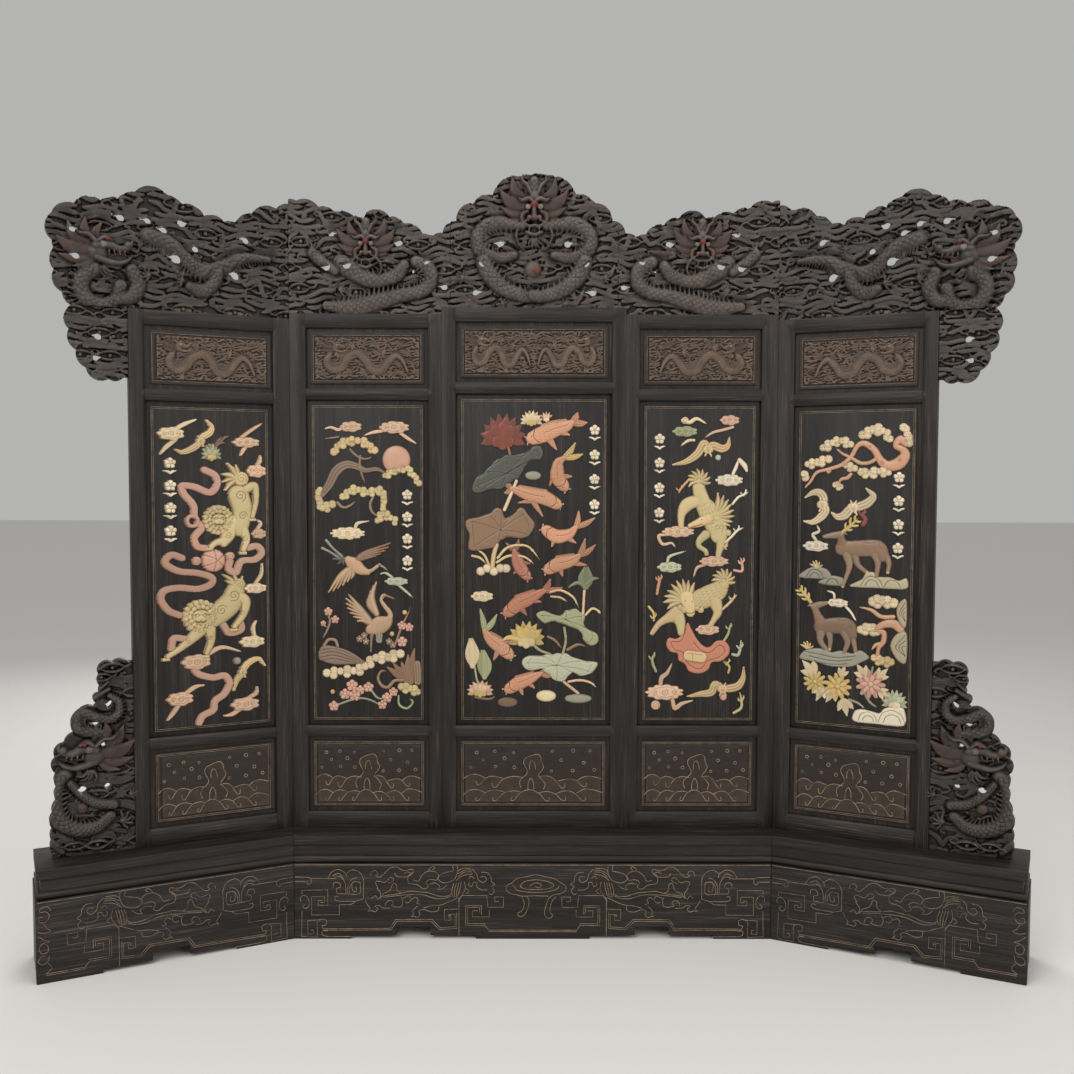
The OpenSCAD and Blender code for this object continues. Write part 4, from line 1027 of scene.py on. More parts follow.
def eased_copy(node: str, name: str, width: float = 1.6) -> bpy.types.Object:
    """Copies a node's mesh and eases its sharp edges, as a hand plane would.

    Args:
        node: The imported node.
        name: Name of the new piece.
        width: Width of the eased edge in millimetres.

    Returns:
        The new object.
    """
    form = bmesh.new()
    form.from_mesh(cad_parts[node].data)
    bmesh.ops.remove_doubles(form, verts=form.verts, dist=0.00002)
    bmesh.ops.dissolve_limit(form, angle_limit=math.radians(0.5), verts=form.verts, edges=form.edges)
    crisp = [e for e in form.edges if len(e.link_faces) == 2 and e.calc_face_angle(0) > math.radians(25)]
    bmesh.ops.bevel(form, geom=crisp, offset=width * MILLIMETRE, offset_type="OFFSET", segments=2,
                    profile=0.5, affect="EDGES", clamp_overlap=True)
    data = bpy.data.meshes.new(name)
    form.to_mesh(data)
    form.free()
    data.polygons.foreach_set("use_smooth", np.ones(len(data.polygons), bool))
    data.set_sharp_from_angle(angle=math.radians(40))
    return linked(name, data)


def group_input(tree: bpy.types.NodeTree, name: str, kind: str, value: float | None = None) -> str:
    """Adds a named input to a node tree and returns its identifier.

    Args:
        tree: The node tree.
        name: Name of the input.
        kind: Type of its socket.
        value: Its first value, if it has one.

    Returns:
        The identifier of the socket.
    """
    socket = tree.interface.new_socket(name=name, in_out="INPUT", socket_type=kind)
    if value is not None:
        socket.default_value = value
    return socket.identifier


class LineTree:
    """Geometry nodes that lay a fine round line along drawn paths."""

    def __init__(self) -> None:
        """Builds the tree once."""
        tree = bpy.data.node_groups.new("Laid line", "GeometryNodeTree")
        group_input(tree, "Drawing", "NodeSocketGeometry")
        self.width = group_input(tree, "Half width", "NodeSocketFloat", 0.0014)
        self.finish = group_input(tree, "Finish", "NodeSocketMaterial")
        tree.interface.new_socket(name="Lines", in_out="OUTPUT", socket_type="NodeSocketGeometry")
        self.tree = tree
        start = tree.nodes.new("NodeGroupInput")
        end = tree.nodes.new("NodeGroupOutput")
        curve = tree.nodes.new("GeometryNodeMeshToCurve")
        section = tree.nodes.new("GeometryNodeCurvePrimitiveCircle")
        section.inputs["Resolution"].default_value = 6
        sweep = tree.nodes.new("GeometryNodeCurveToMesh")
        sweep.inputs["Fill Caps"].default_value = True
        realise = tree.nodes.new("GeometryNodeRealizeInstances")
        paint = tree.nodes.new("GeometryNodeSetMaterial")
        smooth = tree.nodes.new("GeometryNodeSetShadeSmooth")
        join = tree.links.new
        join(start.outputs["Drawing"], curve.inputs["Mesh"])
        join(start.outputs["Half width"], section.inputs["Radius"])
        join(curve.outputs[0], sweep.inputs["Curve"])
        join(section.outputs[0], sweep.inputs["Profile Curve"])
        join(sweep.outputs[0], smooth.inputs[0])
        join(smooth.outputs[0], realise.inputs[0])
        join(realise.outputs[0], paint.inputs["Geometry"])
        join(start.outputs["Finish"], paint.inputs["Material"])
        join(paint.outputs[0], end.inputs[0])

    def lay(self, name: str, paths: Sequence[tuple[np.ndarray, bool]], place: Place, depth: float,
            lift: float, half_width: float, finish: bpy.types.Material) -> bpy.types.Object:
        """Lays lines on one face of a section.

        Args:
            name: Name of the piece.
            paths: Points of each line in the section's own x and z, and whether it is closed.
            place: The section.
            depth: Depth of the face that the lines lie on.
            lift: Height of the drawing's zero above the floor.
            half_width: Half the width of a line in millimetres.
            finish: Material of the lines.

        Returns:
            The new object, made a plain mesh.
        """
        vertices, edges = [], []
        for path, closed in paths:
            first = len(vertices)
            flat = np.asarray(path, float)
            points = place.world(flat[:, 0], np.full(len(flat), depth), flat[:, 1] + lift)
            vertices.extend(tuple(p) for p in points)
            edges.extend((first + i, first + i + 1) for i in range(len(flat) - 1))
            if closed:
                edges.append((first + len(flat) - 1, first))
        data = bpy.data.meshes.new(name + "_drawing")
        data.from_pydata(vertices, edges, [])
        drawn = linked(name + "_drawing", data)
        return settled(drawn, name, self.tree, {self.width: half_width * MILLIMETRE, self.finish: finish})


class RingTree:
    """Geometry nodes that set a small ring on each point of a scattered drawing."""

    def __init__(self) -> None:
        """Builds the tree once."""
        tree = bpy.data.node_groups.new("Scattered rings", "GeometryNodeTree")
        group_input(tree, "Places", "NodeSocketGeometry")
        self.radius = group_input(tree, "Ring radius", "NodeSocketFloat", 0.004)
        self.width = group_input(tree, "Half width", "NodeSocketFloat", 0.0012)
        self.turn = group_input(tree, "Facing", "NodeSocketFloat", 0.0)
        self.finish = group_input(tree, "Finish", "NodeSocketMaterial")
        tree.interface.new_socket(name="Rings", in_out="OUTPUT", socket_type="NodeSocketGeometry")
        self.tree = tree
        start = tree.nodes.new("NodeGroupInput")
        end = tree.nodes.new("NodeGroupOutput")
        path = tree.nodes.new("GeometryNodeCurvePrimitiveCircle")
        path.inputs["Resolution"].default_value = 12
        section = tree.nodes.new("GeometryNodeCurvePrimitiveCircle")
        section.inputs["Resolution"].default_value = 5
        sweep = tree.nodes.new("GeometryNodeCurveToMesh")
        scatter = tree.nodes.new("GeometryNodeInstanceOnPoints")
        angles = tree.nodes.new("ShaderNodeCombineXYZ")
        angles.inputs[0].default_value = math.pi / 2
        size = tree.nodes.new("FunctionNodeRandomValue")
        size.data_type = "FLOAT"
        size.inputs[2].default_value = 0.8
        size.inputs[3].default_value = 1.2
        size.inputs["Seed"].default_value = 7
        realise = tree.nodes.new("GeometryNodeRealizeInstances")
        paint = tree.nodes.new("GeometryNodeSetMaterial")
        join = tree.links.new
        join(start.outputs["Ring radius"], path.inputs["Radius"])
        join(start.outputs["Half width"], section.inputs["Radius"])
        join(path.outputs[0], sweep.inputs["Curve"])
        join(section.outputs[0], sweep.inputs["Profile Curve"])
        join(start.outputs["Places"], scatter.inputs["Points"])
        join(sweep.outputs[0], scatter.inputs["Instance"])
        join(start.outputs["Facing"], angles.inputs[2])
        join(angles.outputs[0], scatter.inputs["Rotation"])
        join(size.outputs[1], scatter.inputs["Scale"])
        join(scatter.outputs[0], realise.inputs[0])
        join(realise.outputs[0], paint.inputs["Geometry"])
        join(start.outputs["Finish"], paint.inputs["Material"])
        join(paint.outputs[0], end.inputs[0])

    def scatter(self, name: str, places: np.ndarray, side: int, radius: float,
                finish: bpy.types.Material) -> bpy.types.Object:
        """Sets rings on points given in metres.

        Args:
            name: Name of the piece.
            places: One row for each ring's middle.
            side: The section that they face.
            radius: Radius of a ring in millimetres.
            finish: Material of the rings.

        Returns:
            The new object, made a plain mesh.
        """
        drawn = plain_object(name + "_places", places, [])
        return settled(drawn, name, self.tree, {
            self.radius: radius * MILLIMETRE, self.width: 1.1 * MILLIMETRE,
            self.turn: math.radians(-side * SIZES.wing_angle), self.finish: finish,
        })


def settled(source: bpy.types.Object, name: str, tree: bpy.types.NodeTree,
            inputs: dict) -> bpy.types.Object:
    """Runs a tree on an object and keeps the result as a plain mesh.

    Args:
        source: The drawing that the tree works on, which is removed.
        name: Name of the result.
        tree: The node tree.
        inputs: Values by socket identifier.

    Returns:
        The new object.
    """
    modifier = source.modifiers.new("Build", "NODES")
    modifier.node_group = tree
    for key, value in inputs.items():
        modifier[key] = value
    graph = bpy.context.evaluated_depsgraph_get()
    data = bpy.data.meshes.new_from_object(source.evaluated_get(graph))
    data.name = name
    source.modifiers.remove(modifier)
    bpy.data.objects.remove(source)
    return linked(name, data)


def rectangle(low: Point, high: Point) -> np.ndarray:
    """Corners of a rectangle, one way round."""
    return np.array([low, (high[0], low[1]), high, (low[0], high[1])], float)


class Joinery:
    """Frames, panels and plinth boards, with eased edges and the grain along each board."""

    def __init__(self, shop: Workshop, lines: LineTree) -> None:
        """Keeps the workshop and the line tree."""
        self.shop = shop
        self.lines = lines

    def frames(self, leaf: LeafSizes) -> None:
        """Dresses the stiles, rails and field board of one leaf.

        Args:
            leaf: The leaf's sizes.
        """
        n = leaf.number
        for edge in ("left", "right"):
            node = f"leaf_{n}_{edge}_stile"
            stile = eased_copy(node, f"stile_{n}_{edge}")
            self.shop.deliver(stile, leaf.body, "dark_wood", self.shop.upright, [node])
        rails = eased_copy(f"leaf_{n}_rails", f"rails_{n}")
        self.shop.deliver(rails, leaf.body, "dark_wood", self.shop.level[leaf.side], [f"leaf_{n}_rails"])
        board = eased_copy(f"leaf_{n}_field", f"field_board_{n}", 1.2)
        self.shop.deliver(board, leaf.body, "dark_wood", self.shop.ground, [f"leaf_{n}_field"])

    def panel_lines(self, leaf: LeafSizes) -> None:
        """Lays the fine line round each of a leaf's three panels.

        Args:
            leaf: The leaf's sizes.
        """
        inset = SIZES.line_inset
        openings = [
            (SIZES.lower_base, SIZES.lower_open), (SIZES.field_base, leaf.field_open),
            (leaf.upper_base, SIZES.upper_open),
        ]
        paths = []
        for base, tall in openings:
            low = (leaf.low + inset, base + inset)
            high = (leaf.high - inset, base + tall - inset)
            paths.append((rectangle(low, high), True))
            if base != leaf.upper_base:
                wider = 5.0
                paths.append((rectangle((low[0] - wider, low[1] - wider),
                                        (high[0] + wider, high[1] + wider)), True))
        border = self.lines.lay(f"panel_lines_{leaf.number}", paths, Place(leaf.side),
                                SIZES.panel_front, SIZES.plinth_height, 0.8, self.shop.gilt)
        self.shop.deliver(border, leaf.body, "dark_wood")

    def plinth(self) -> None:
        """Dresses the boards of the plinth."""
        for side, word in ((0, "centre"), (-1, "left"), (1, "right")):
            parts = ["front_apron", "back_apron", "waist", "top"] + (["end_apron"] if side else [])
            for part in parts:
                node = f"plinth_{word}_{part}"
                board = eased_copy(node, f"{part}_{word}", 1.2 if part == "waist" else 2.2)
                self.shop.deliver(board, "plinth", "dark_wood", self.shop.level[side], [node])

    def hidden(self) -> None:
        """Gives the pieces inside their sawn finish."""
        for node in ("plinth_cross_ribs", "plinth_butterfly_keys", "middle_leaf_tongues", "mitre_tongues"):
            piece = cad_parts[node]
            piece.data.materials.clear()
            piece.data.materials.append(self.shop.sawn)
            for slot in piece.material_slots:
                slot.material = self.shop.sawn


class ApronDrawing:
    """Fine gilt lines on the aprons: key frets, leaves, a dragon and a cloud medallion.

    One half of the middle apron is drawn from its mitred end, in millimetres from that end and
    from the floor. The other half mirrors it, and each wing repeats it outwards from its mitre.
    """

    FRET = (
        [(4, 210), (45, 209), (57, 205), (58, 192), (49, 184), (42, 190), (46, 196)],
        [(4, 194), (40, 194)],
        [(26, 152), (26, 165), (112, 166), (112, 114), (80, 114), (80, 130), (92, 130)],
        [(150, 116), (150, 82), (58, 81), (58, 143), (101, 143), (101, 124), (88, 124)],
        [(26, 95), (24, 8), (77, 6), (77, 40)],
        [(85, 65), (45, 62), (45, 16), (64, 18), (64, 30), (55, 30)],
        [(549, 138), (562, 148), (642, 148), (645, 108), (697, 108), (698, 143), (668, 143), (669, 127),
         (682, 127)],
        [(650, 99), (650, 75), (594, 75), (594, 96), (612, 96)],
        [(624, 84), (624, 113), (571, 113), (571, 46), (636, 46), (648, 30)],
        [(618, 90), (618, 107), (577, 107), (577, 52), (638, 52)],
        [(549, 138), (549, 12)],
        [(545, 102), (501, 100), (501, 64), (522, 64), (522, 80), (512, 80)],
        [(96, 34), (319, 36), (338, 66), (460, 66), (487, 38), (536, 42), (536, 84), (516, 84), (516, 72)],
        [(96, 29), (323, 31), (342, 60), (456, 60), (484, 32), (541, 36), (541, 90)],
        [(112, 8), (198, 8)],
        [(231, 146), (231, 136), (205, 128)],
        [(150, 116), (190, 117), (205, 128)],
    )
    SCROLLS = (
        [(23, 127), (20, 138), (31, 148), (45, 140), (50, 122), (47, 108), (36, 103), (28, 111), (36, 117)],
        [(77, 44), (76, 57), (91, 67), (107, 62), (104, 46), (93, 46), (96, 34)],
        [(111, 27), (93, 27), (94, 13), (112, 8)],
        [(58, 205), (80, 205), (140, 205)],
        [(114, 208), (127, 228), (150, 235), (172, 222), (176, 208)],
        [(175, 222), (192, 234), (218, 226), (231, 202), (231, 170), (231, 138)],
        [(135, 210), (155, 210), (170, 190), (173, 156)],
        [(128, 214), (150, 222), (166, 204)],
        [(178, 156), (181, 186), (195, 204), (210, 207)],
        [(184, 156), (188, 182), (202, 196)],
        [(130, 175), (133, 190), (150, 190), (155, 175), (142, 172), (142, 156)],
        [(142, 154), (180, 153), (218, 154), (220, 192)],
        [(220, 192), (195, 192), (195, 164), (208, 162), (206, 178)],
        [(148, 143), (137, 144), (136, 134), (150, 128), (205, 128)],
    )
    DRAGON = (
        [(255, 213), (258, 227), (271, 232), (279, 221), (272, 214), (287, 210), (303, 224), (319, 240),
         (341, 244), (357, 235), (373, 232), (394, 237), (397, 227), (383, 213), (362, 210), (341, 213),
         (335, 224)],
        [(366, 222), (378, 228), (390, 222), (380, 216)],
        [(394, 226), (379, 208), (383, 189), (410, 184), (431, 170), (447, 178), (439, 192), (453, 202),
         (474, 200), (482, 213), (471, 227), (447, 230), (426, 216), (415, 197), (397, 200)],
        [(447, 230), (453, 240), (463, 246), (469, 240), (461, 235)],
        [(477, 205), (488, 219), (511, 227), (531, 232), (528, 246), (536, 252), (544, 246), (544, 224),
         (533, 202), (511, 192), (493, 192), (480, 202)],
        [(286, 142), (298, 146), (351, 154), (383, 162), (415, 160), (447, 157), (480, 146), (512, 146),
         (524, 154)],
        [(298, 141), (362, 149), (426, 150), (469, 138), (501, 138), (522, 146)],
        [(303, 111), (309, 127), (325, 130), (330, 119), (322, 114), (338, 109), (357, 111), (362, 130),
         (356, 143)],
        [(362, 138), (383, 146), (389, 132), (378, 122), (370, 127)],
        [(236, 132), (244, 116), (253, 103), (245, 94), (258, 96), (271, 92), (279, 103), (268, 111),
         (282, 114), (298, 105), (319, 105)],
        [(410, 111), (394, 94), (399, 84), (389, 76), (400, 77), (410, 73), (420, 84), (415, 94), (431, 100),
         (458, 92), (480, 97), (482, 111)],
        [(431, 105), (458, 113), (490, 116), (517, 127), (545, 140)],
        [(392, 134), (404, 142), (414, 132), (408, 122), (420, 118)],
        [(287, 138), (298, 154), (319, 165), (330, 189), (341, 184), (343, 165), (357, 156)],
        [(279, 173), (271, 192), (282, 196), (303, 192), (319, 208), (331, 205), (330, 196), (314, 189)],
        [(258, 138), (271, 147), (279, 135), (289, 152), (276, 173)],
        [(450, 186), (470, 190), (486, 178), (478, 168), (496, 172), (510, 184)],
        [(544, 229), (560, 239), (588, 240)],
        [(546, 221), (568, 233), (590, 234)],
        [(546, 210), (566, 226), (592, 228)],
        [(540, 199), (562, 215), (594, 221)],
        [(592, 238), (608, 221), (613, 202), (629, 192), (641, 202), (634, 213), (621, 210)],
        [(624, 227), (645, 224), (656, 208), (657, 195), (669, 186), (657, 178), (667, 165), (658, 151),
         (649, 155)],
        [(645, 167), (624, 167), (608, 178), (610, 192), (597, 192), (592, 178), (581, 184), (585, 194)],
        [(600, 206), (588, 214), (582, 204)],
        [(533, 189), (525, 165), (528, 143)],
        [(541, 191), (534, 165), (534, 141)],
        [(549, 192), (543, 166), (540, 142)],
        [(557, 193), (552, 168), (545, 146)],
        [(567, 194), (570, 170), (556, 143), (546, 127)],
        [(570, 173), (584, 163), (573, 154)],
    )
    END_SCROLL = (
        [(742, 222), (750, 236), (770, 234), (772, 222), (756, 222), (746, 208), (756, 190), (774, 192),
         (774, 206), (764, 206)],
        [(762, 186), (752, 168), (742, 162), (758, 156), (779, 162)],
        [(779, 150), (760, 134), (745, 128), (764, 126), (776, 112), (768, 94), (752, 98), (752, 116),
         (764, 126)],
        [(748, 86), (752, 68), (768, 60), (779, 70), (772, 84), (756, 86)],
        [(752, 62), (741, 46), (758, 30)],
    )
    MEDALLION = (
        [(-98, 165), (-98, 180), (-80, 190), (-62, 205), (-30, 212), (0, 218), (30, 212), (62, 205),
         (82, 192), (99, 180), (99, 165), (84, 155), (58, 150), (43, 138)],
        [(-98, 165), (-84, 155), (-62, 150), (-46, 146), (0, 147), (43, 146)],
        [(-78, 184), (-70, 176), (-62, 166), (-32, 160), (2, 158), (36, 160), (66, 168), (80, 180)],
        [(-52, 178), (-44, 190), (-28, 198), (8, 201), (44, 194), (60, 182), (40, 171), (0, 168), (-35, 170),
         (-52, 178)],
        [(-20, 178), (-10, 188), (10, 190), (20, 182), (10, 174), (-2, 178)],
        [(-46, 146), (-38, 120), (-46, 96), (-60, 88), (-54, 76), (-38, 82), (-26, 106), (-22, 130),
         (-30, 146)],
        [(43, 140), (36, 118), (30, 96), (32, 78), (45, 70), (57, 80), (48, 92), (50, 116), (58, 134),
         (68, 144)],
    )

    def __init__(self, shop: Workshop, lines: LineTree) -> None:
        """Keeps the workshop and the line tree."""
        self.shop = shop
        self.lines = lines

    @staticmethod
    def run(path: Sequence[Point], along: Callable[[float], float], bent: bool) -> tuple[np.ndarray, bool]:
        """Moves one drawn line to its apron and rounds it where it is bent."""
        moved = [(along(x), z) for x, z in path]
        return (smooth_path(moved, 5.0) if bent else np.array(moved, float)), False

    def half(self, along: Callable[[float], float]) -> list[tuple[np.ndarray, bool]]:
        """Draws the frets, the leaves and the dragon of one half."""
        paths = [self.run(path, along, False) for path in self.FRET]
        return paths + [self.run(path, along, True) for path in self.SCROLLS + self.DRAGON]

    def build(self) -> None:
        """Lays the lines on the three aprons."""
        half = SIZES.plinth_half
        top = SIZES.apron_height - 4
        middle = self.half(lambda x: x - half) + self.half(lambda x: half - x)
        middle += [self.run(path, lambda x: x + 10, True) for path in self.MEDALLION]
        for level in (30, 25):
            middle.append((np.array([(-147, level), (147, level)], float), False))
        middle.append((np.array([(4 - half, top), (half - 4, top)], float), False))
        wing = SIZES.wing_length
        for side, word in ((0, "centre"), (-1, "left"), (1, "right")):
            paths = middle
            if side:
                paths = self.half(lambda x: x)
                paths += [self.run(path, lambda x: x, True) for path in self.END_SCROLL]
                for level in (30, 25):
                    paths.append((np.array([(648, level), (wing - 28, level)], float), False))
                paths.append((np.array([(4, top), (wing - 5, top)], float), False))
            finish = self.shop.dull_gilt if side else self.shop.gilt
            drawn = self.lines.lay(f"apron_lines_{word}", paths, Place(side, mirrored=side < 0),
                                   0.0, 0.0, 1.0, finish)
            self.shop.deliver(drawn, "plinth", "dark_wood")


CREAM = linear(224, 205, 168)
IVORY = linear(232, 220, 196)
BUFF = linear(214, 186, 138)
OCHRE = linear(204, 184, 136)
STRAW = linear(206, 180, 112)
PEACH = linear(218, 182, 152)
ROSE = linear(202, 158, 136)
APRICOT = linear(204, 158, 126)
WHEAT = linear(208, 190, 140)
BISQUE = linear(192, 160, 128)
SAND = linear(184, 174, 146)
SALMON = linear(208, 152, 118)
CORAL = linear(190, 126, 100)
RUST = linear(132, 70, 54)
TAN = linear(148, 116, 90)
FAWN = linear(134, 106, 82)
BROWN = linear(122, 94, 74)
TAUPE = linear(146, 122, 102)
SLATE = linear(86, 90, 80)
ASH = linear(150, 148, 132)
JADE = linear(166, 170, 130)
MIST = linear(190, 194, 166)
PINK = linear(214, 164, 146)
SAGE = linear(128, 134, 104)
DARK_EYE = linear(34, 26, 22)


class StoneArt:
    """Cuts the soapstone forms of one panel; x runs from the opening's middle, z from the plinth."""

    def __init__(self, leaf: LeafSizes, across: float = 0.0, step: float = 1.6) -> None:
        """Makes an empty panel.

        Args:
            leaf: The leaf that carries the stones.
            across: Shift of the whole drawing.
            step: Distance between grid points.
        """
        self.leaf = leaf
        self.middle = leaf.middle + across
        edge = 8.0
        self.relief = Relief((leaf.low + edge, SIZES.field_base + edge),
                             (leaf.high - edge, SIZES.field_base + leaf.field_open - edge), step)
        self.random = np.random.default_rng(100 + leaf.number)

    def at(self, points: Sequence[Point]) -> list[Point]:
        """Moves a drawing to the opening's middle."""
        return [(x + self.middle, z) for x, z in points]

    def shade(self, tint: Colour) -> Colour:
        """Varies a stone's colour a little from piece to piece."""
        gain = self.random.uniform(0.74, 0.96)
        return tuple(min(1.0, c * gain * self.random.uniform(0.97, 1.03)) for c in tint)

    def limb(self, points: Sequence[Point], radii: float | Sequence[float], tint: Colour,
             height: float = 5.0, base: float = 0.0, kind: Profile = Profile.ROUND,
             straight: bool = False) -> None:
        """Cuts a rounded strip along a path."""
        self.relief.stroke(self.at(points), radii, height, base, kind, self.shade(tint), straight)

    def taper(self, points: Sequence[Point], wide: float, tint: Colour, height: float = 4.5,
              kind: Profile = Profile.ROUND) -> None:
        """Cuts a strip that swells at first and ends in a point.

        Args:
            points: Points on its middle line, in millimetres.
            wide: Radius where it is widest.
            tint: Colour of the stone.
            height: How far the middle stands above the field.
            kind: The strip's section.
        """
        count = len(points)
        radii = [wide * min(1.0, 0.7 + 0.6 * k / count) * (1 - (k / (count - 1))**2.2 * 0.85)
                 for k in range(count)]
        self.limb(points, radii, tint, height, kind=kind)

    def form(self, points: Sequence[Point], tint: Colour, height: float = 4.5, rim: float = 7.0) -> None:
        """Cuts a closed form."""
        self.relief.blob(self.at(points), height, 0.0, rim, self.shade(tint))

    def button(self, x: float, z: float, radius: float, tint: Colour, height: float = 5.0,
               base: float = 0.0, stretch: float = 1.0) -> None:
        """Cuts a round or oval button."""
        self.relief.disc(x + self.middle, z, radius, height, base, self.shade(tint), stretch)

    def line(self, points: Sequence[Point], radius: float = 1.3, depth: float = 1.5) -> None:
        """Engraves a line."""
        self.relief.groove(self.at(points), max(radius, 1.25 * self.relief.step), 1.25 * depth)

    def spoke(self, x: float, z: float, start: float, end: float, angle: float, radius: float,
              depth: float) -> None:
        """Engraves a straight line that points away from a middle."""
        ends = [(x + far * math.cos(angle), z + far * math.sin(angle)) for far in (start, end)]
        self.relief.groove(self.at(ends), radius, depth, straight=True)

    def eye(self, x: float, z: float, size: float, top: float) -> None:
        """Sets an eye with a dark middle."""
        self.relief.disc(x + self.middle, z, size * 1.7, 1.4, top - 1.0, IVORY)
        self.relief.disc(x + self.middle, z, size * 0.9, 1.2, top + 0.2, DARK_EYE)

    def spiral(self, x: float, z: float, radius: float, turn: int = 1, depth: float = 1.5) -> None:
        """Engraves a spiral.

        Args:
            x: Place across the panel, from its middle.
            z: Height above the floor.
            radius: Radius where it starts.
            turn: 1 or -1, the way it winds.
            depth: How deep it is engraved.
        """
        start = self.random.uniform(0, 6.28)
        self.line([(x + radius * (1 - t / 15) * math.cos(start + turn * t * 0.75),
                    z + radius * (1 - t / 15) * math.sin(start + turn * t * 0.75)) for t in range(14)],
                  1.3, depth)

    def curl(self, x: float, z: float, radius: float, tint: Colour, height: float = 5.5) -> None:
        """Cuts a lock that winds up on itself."""
        self.button(x, z, radius, tint, height)
        self.spiral(x, z, radius * 0.72, 1 if self.random.random() < 0.5 else -1)

    def cloud(self, x: float, z: float, wide: float, tall: float, tint: Colour,
              tails: Sequence[Sequence[Point]] = ()) -> None:
        """Cuts a lobed cloud with wound lobes and streaming tails.

        Args:
            x: Place across the panel, from its middle.
            z: Height above the floor.
            wide: Its width.
            tall: Its height.
            tint: Colour of the stone.
            tails: Points on the middle line of each tail.
        """
        tone = self.shade(tint)
        for tail in tails:
            self.taper(tail, tall * 0.17, tint, 4.0, kind=Profile.HOLLOW)
        lobes = max(3, int(wide / 24)) + 0.5
        turns = np.linspace(0, 2 * math.pi, 60, endpoint=False)
        swell = 0.84 + 0.16 * np.abs(np.sin(lobes * turns))
        rim = np.stack([x + 0.5 * wide * swell * np.cos(turns), z + 0.5 * tall * swell * np.sin(turns)], 1)
        self.relief.blob(self.at([tuple(p) for p in rim]), 5.4, 0, 0.26 * tall, tone, straight=True)
        inner = [(x + 0.70 * (px - x), z + 0.66 * (pz - z)) for px, pz in rim[::2]]
        self.line(inner + inner[:1], 1.1, 1.1)
        for px, size in ((x - 0.24 * wide, 0.15), (x + 0.24 * wide, 0.15), (x, 0.22)):
            self.spiral(px, z, tall * size, 1 if px > x else -1, 1.4)

    def pine(self, points: Sequence[Point], radius: float, tint: Colour) -> None:
        """Cuts a bank of round needle tufts with fanned lines.

        Args:
            points: Points along the bank.
            radius: Radius of one tuft.
            tint: Colour of the stone.
        """
        path = smooth_path(points, radius * 1.05)
        for k, (x, z) in enumerate(path):
            for lane in (-0.42, 0.42) if k % 2 else (0.1,):
                size = radius * self.random.uniform(0.82, 1.08)
                px, pz = x + self.random.uniform(-2, 2), z + lane * radius * 1.3
                self.button(px, pz, size, tint, 5.4 + self.random.uniform(-1.4, 0.6))
                for spoke in range(5):
                    self.spoke(px, pz - 2, 0.25 * size, 0.9 * size, math.radians(18 + 36 * spoke), 1.7, 1.3)

    def blossom(self, x: float, z: float, radius: float, tint: Colour, heart: Colour = STRAW,
                petals: int = 5) -> None:
        """Cuts an open blossom.

        Args:
            x: Place across the panel, from its middle.
            z: Height above the floor.
            radius: Radius over the petals.
            tint: Colour of the stone.
            heart: Colour of the middle.
            petals: Number of petals.
        """
        for k in range(petals):
            a = math.pi / 2 + 2 * math.pi * k / petals
            px, pz = x + 0.54 * radius * math.cos(a), z + 0.54 * radius * math.sin(a)
            self.button(px, pz, radius * 0.46, tint, 4.6)
        self.button(x, z, radius * 0.26, heart, 2.4, 3.6)
        for k in range(petals):
            a = math.pi / 2 + 2 * math.pi * (k + 0.5) / petals
            self.spoke(x, z, 0.3 * radius, radius, a, 1.0, 1.2)

    def ornament_column(self, x: float, levels: Iterable[float]) -> None:
        """Cuts a column of small cream blossom ornaments.

        Args:
            x: Place across the panel, from its middle.
            levels: Height of each ornament above the floor.
        """
        for z in levels:
            self.blossom(x, z + 6, 18, IVORY, BUFF, 5)
            for side in (-1, 1):
                self.taper([(x, z - 26), (x + side * 9, z - 20), (x + side * 21, z - 18)], 4.4, IVORY)

    def lotus(self, x: float, z: float, wide: float, tall: float, tint: Colour, heart: Colour = BUFF,
              tips: Sequence[float] = (196, 172, 148, 124, 101, 79, 56, 32, 8, -16)) -> None:
        """Cuts an open lotus from rows of pointed petals that spread from one heart.

        Args:
            x: Place across the panel, from its middle.
            z: Height above the floor.
            wide: Its width.
            tall: Its height.
            tint: Colour of the stone.
            heart: Colour of the smallest row, where BUFF leaves it as the others.
            tips: Direction of each outer petal in degrees.
        """
        root = (x, z - tall * 0.22)
        rows = ((tips, 1.0, 0.105, 3.0), (tips[1:-1:2], 0.84, 0.135, 4.4), ((132, 90, 48), 0.62, 0.14, 5.8),
                ((222, 270, 318), 0.5, 0.13, 6.4))
        for angles, share, broad, height in rows:
            for angle in sorted(angles, key=lambda t: -abs(t - 90)):
                a = math.radians(angle)
                far = (share * wide / 2 * math.cos(a), share * tall * 0.72 * math.sin(a))
                tone = heart if share == 0.5 and heart != BUFF else tint
                self.limb([root, (root[0] + far[0] * 0.6, root[1] + far[1] * 0.5),
                           (root[0] + far[0], root[1] + far[1])],
                          [wide * 0.05, wide * broad, 1.6], tone, height, kind=Profile.HOLLOW)

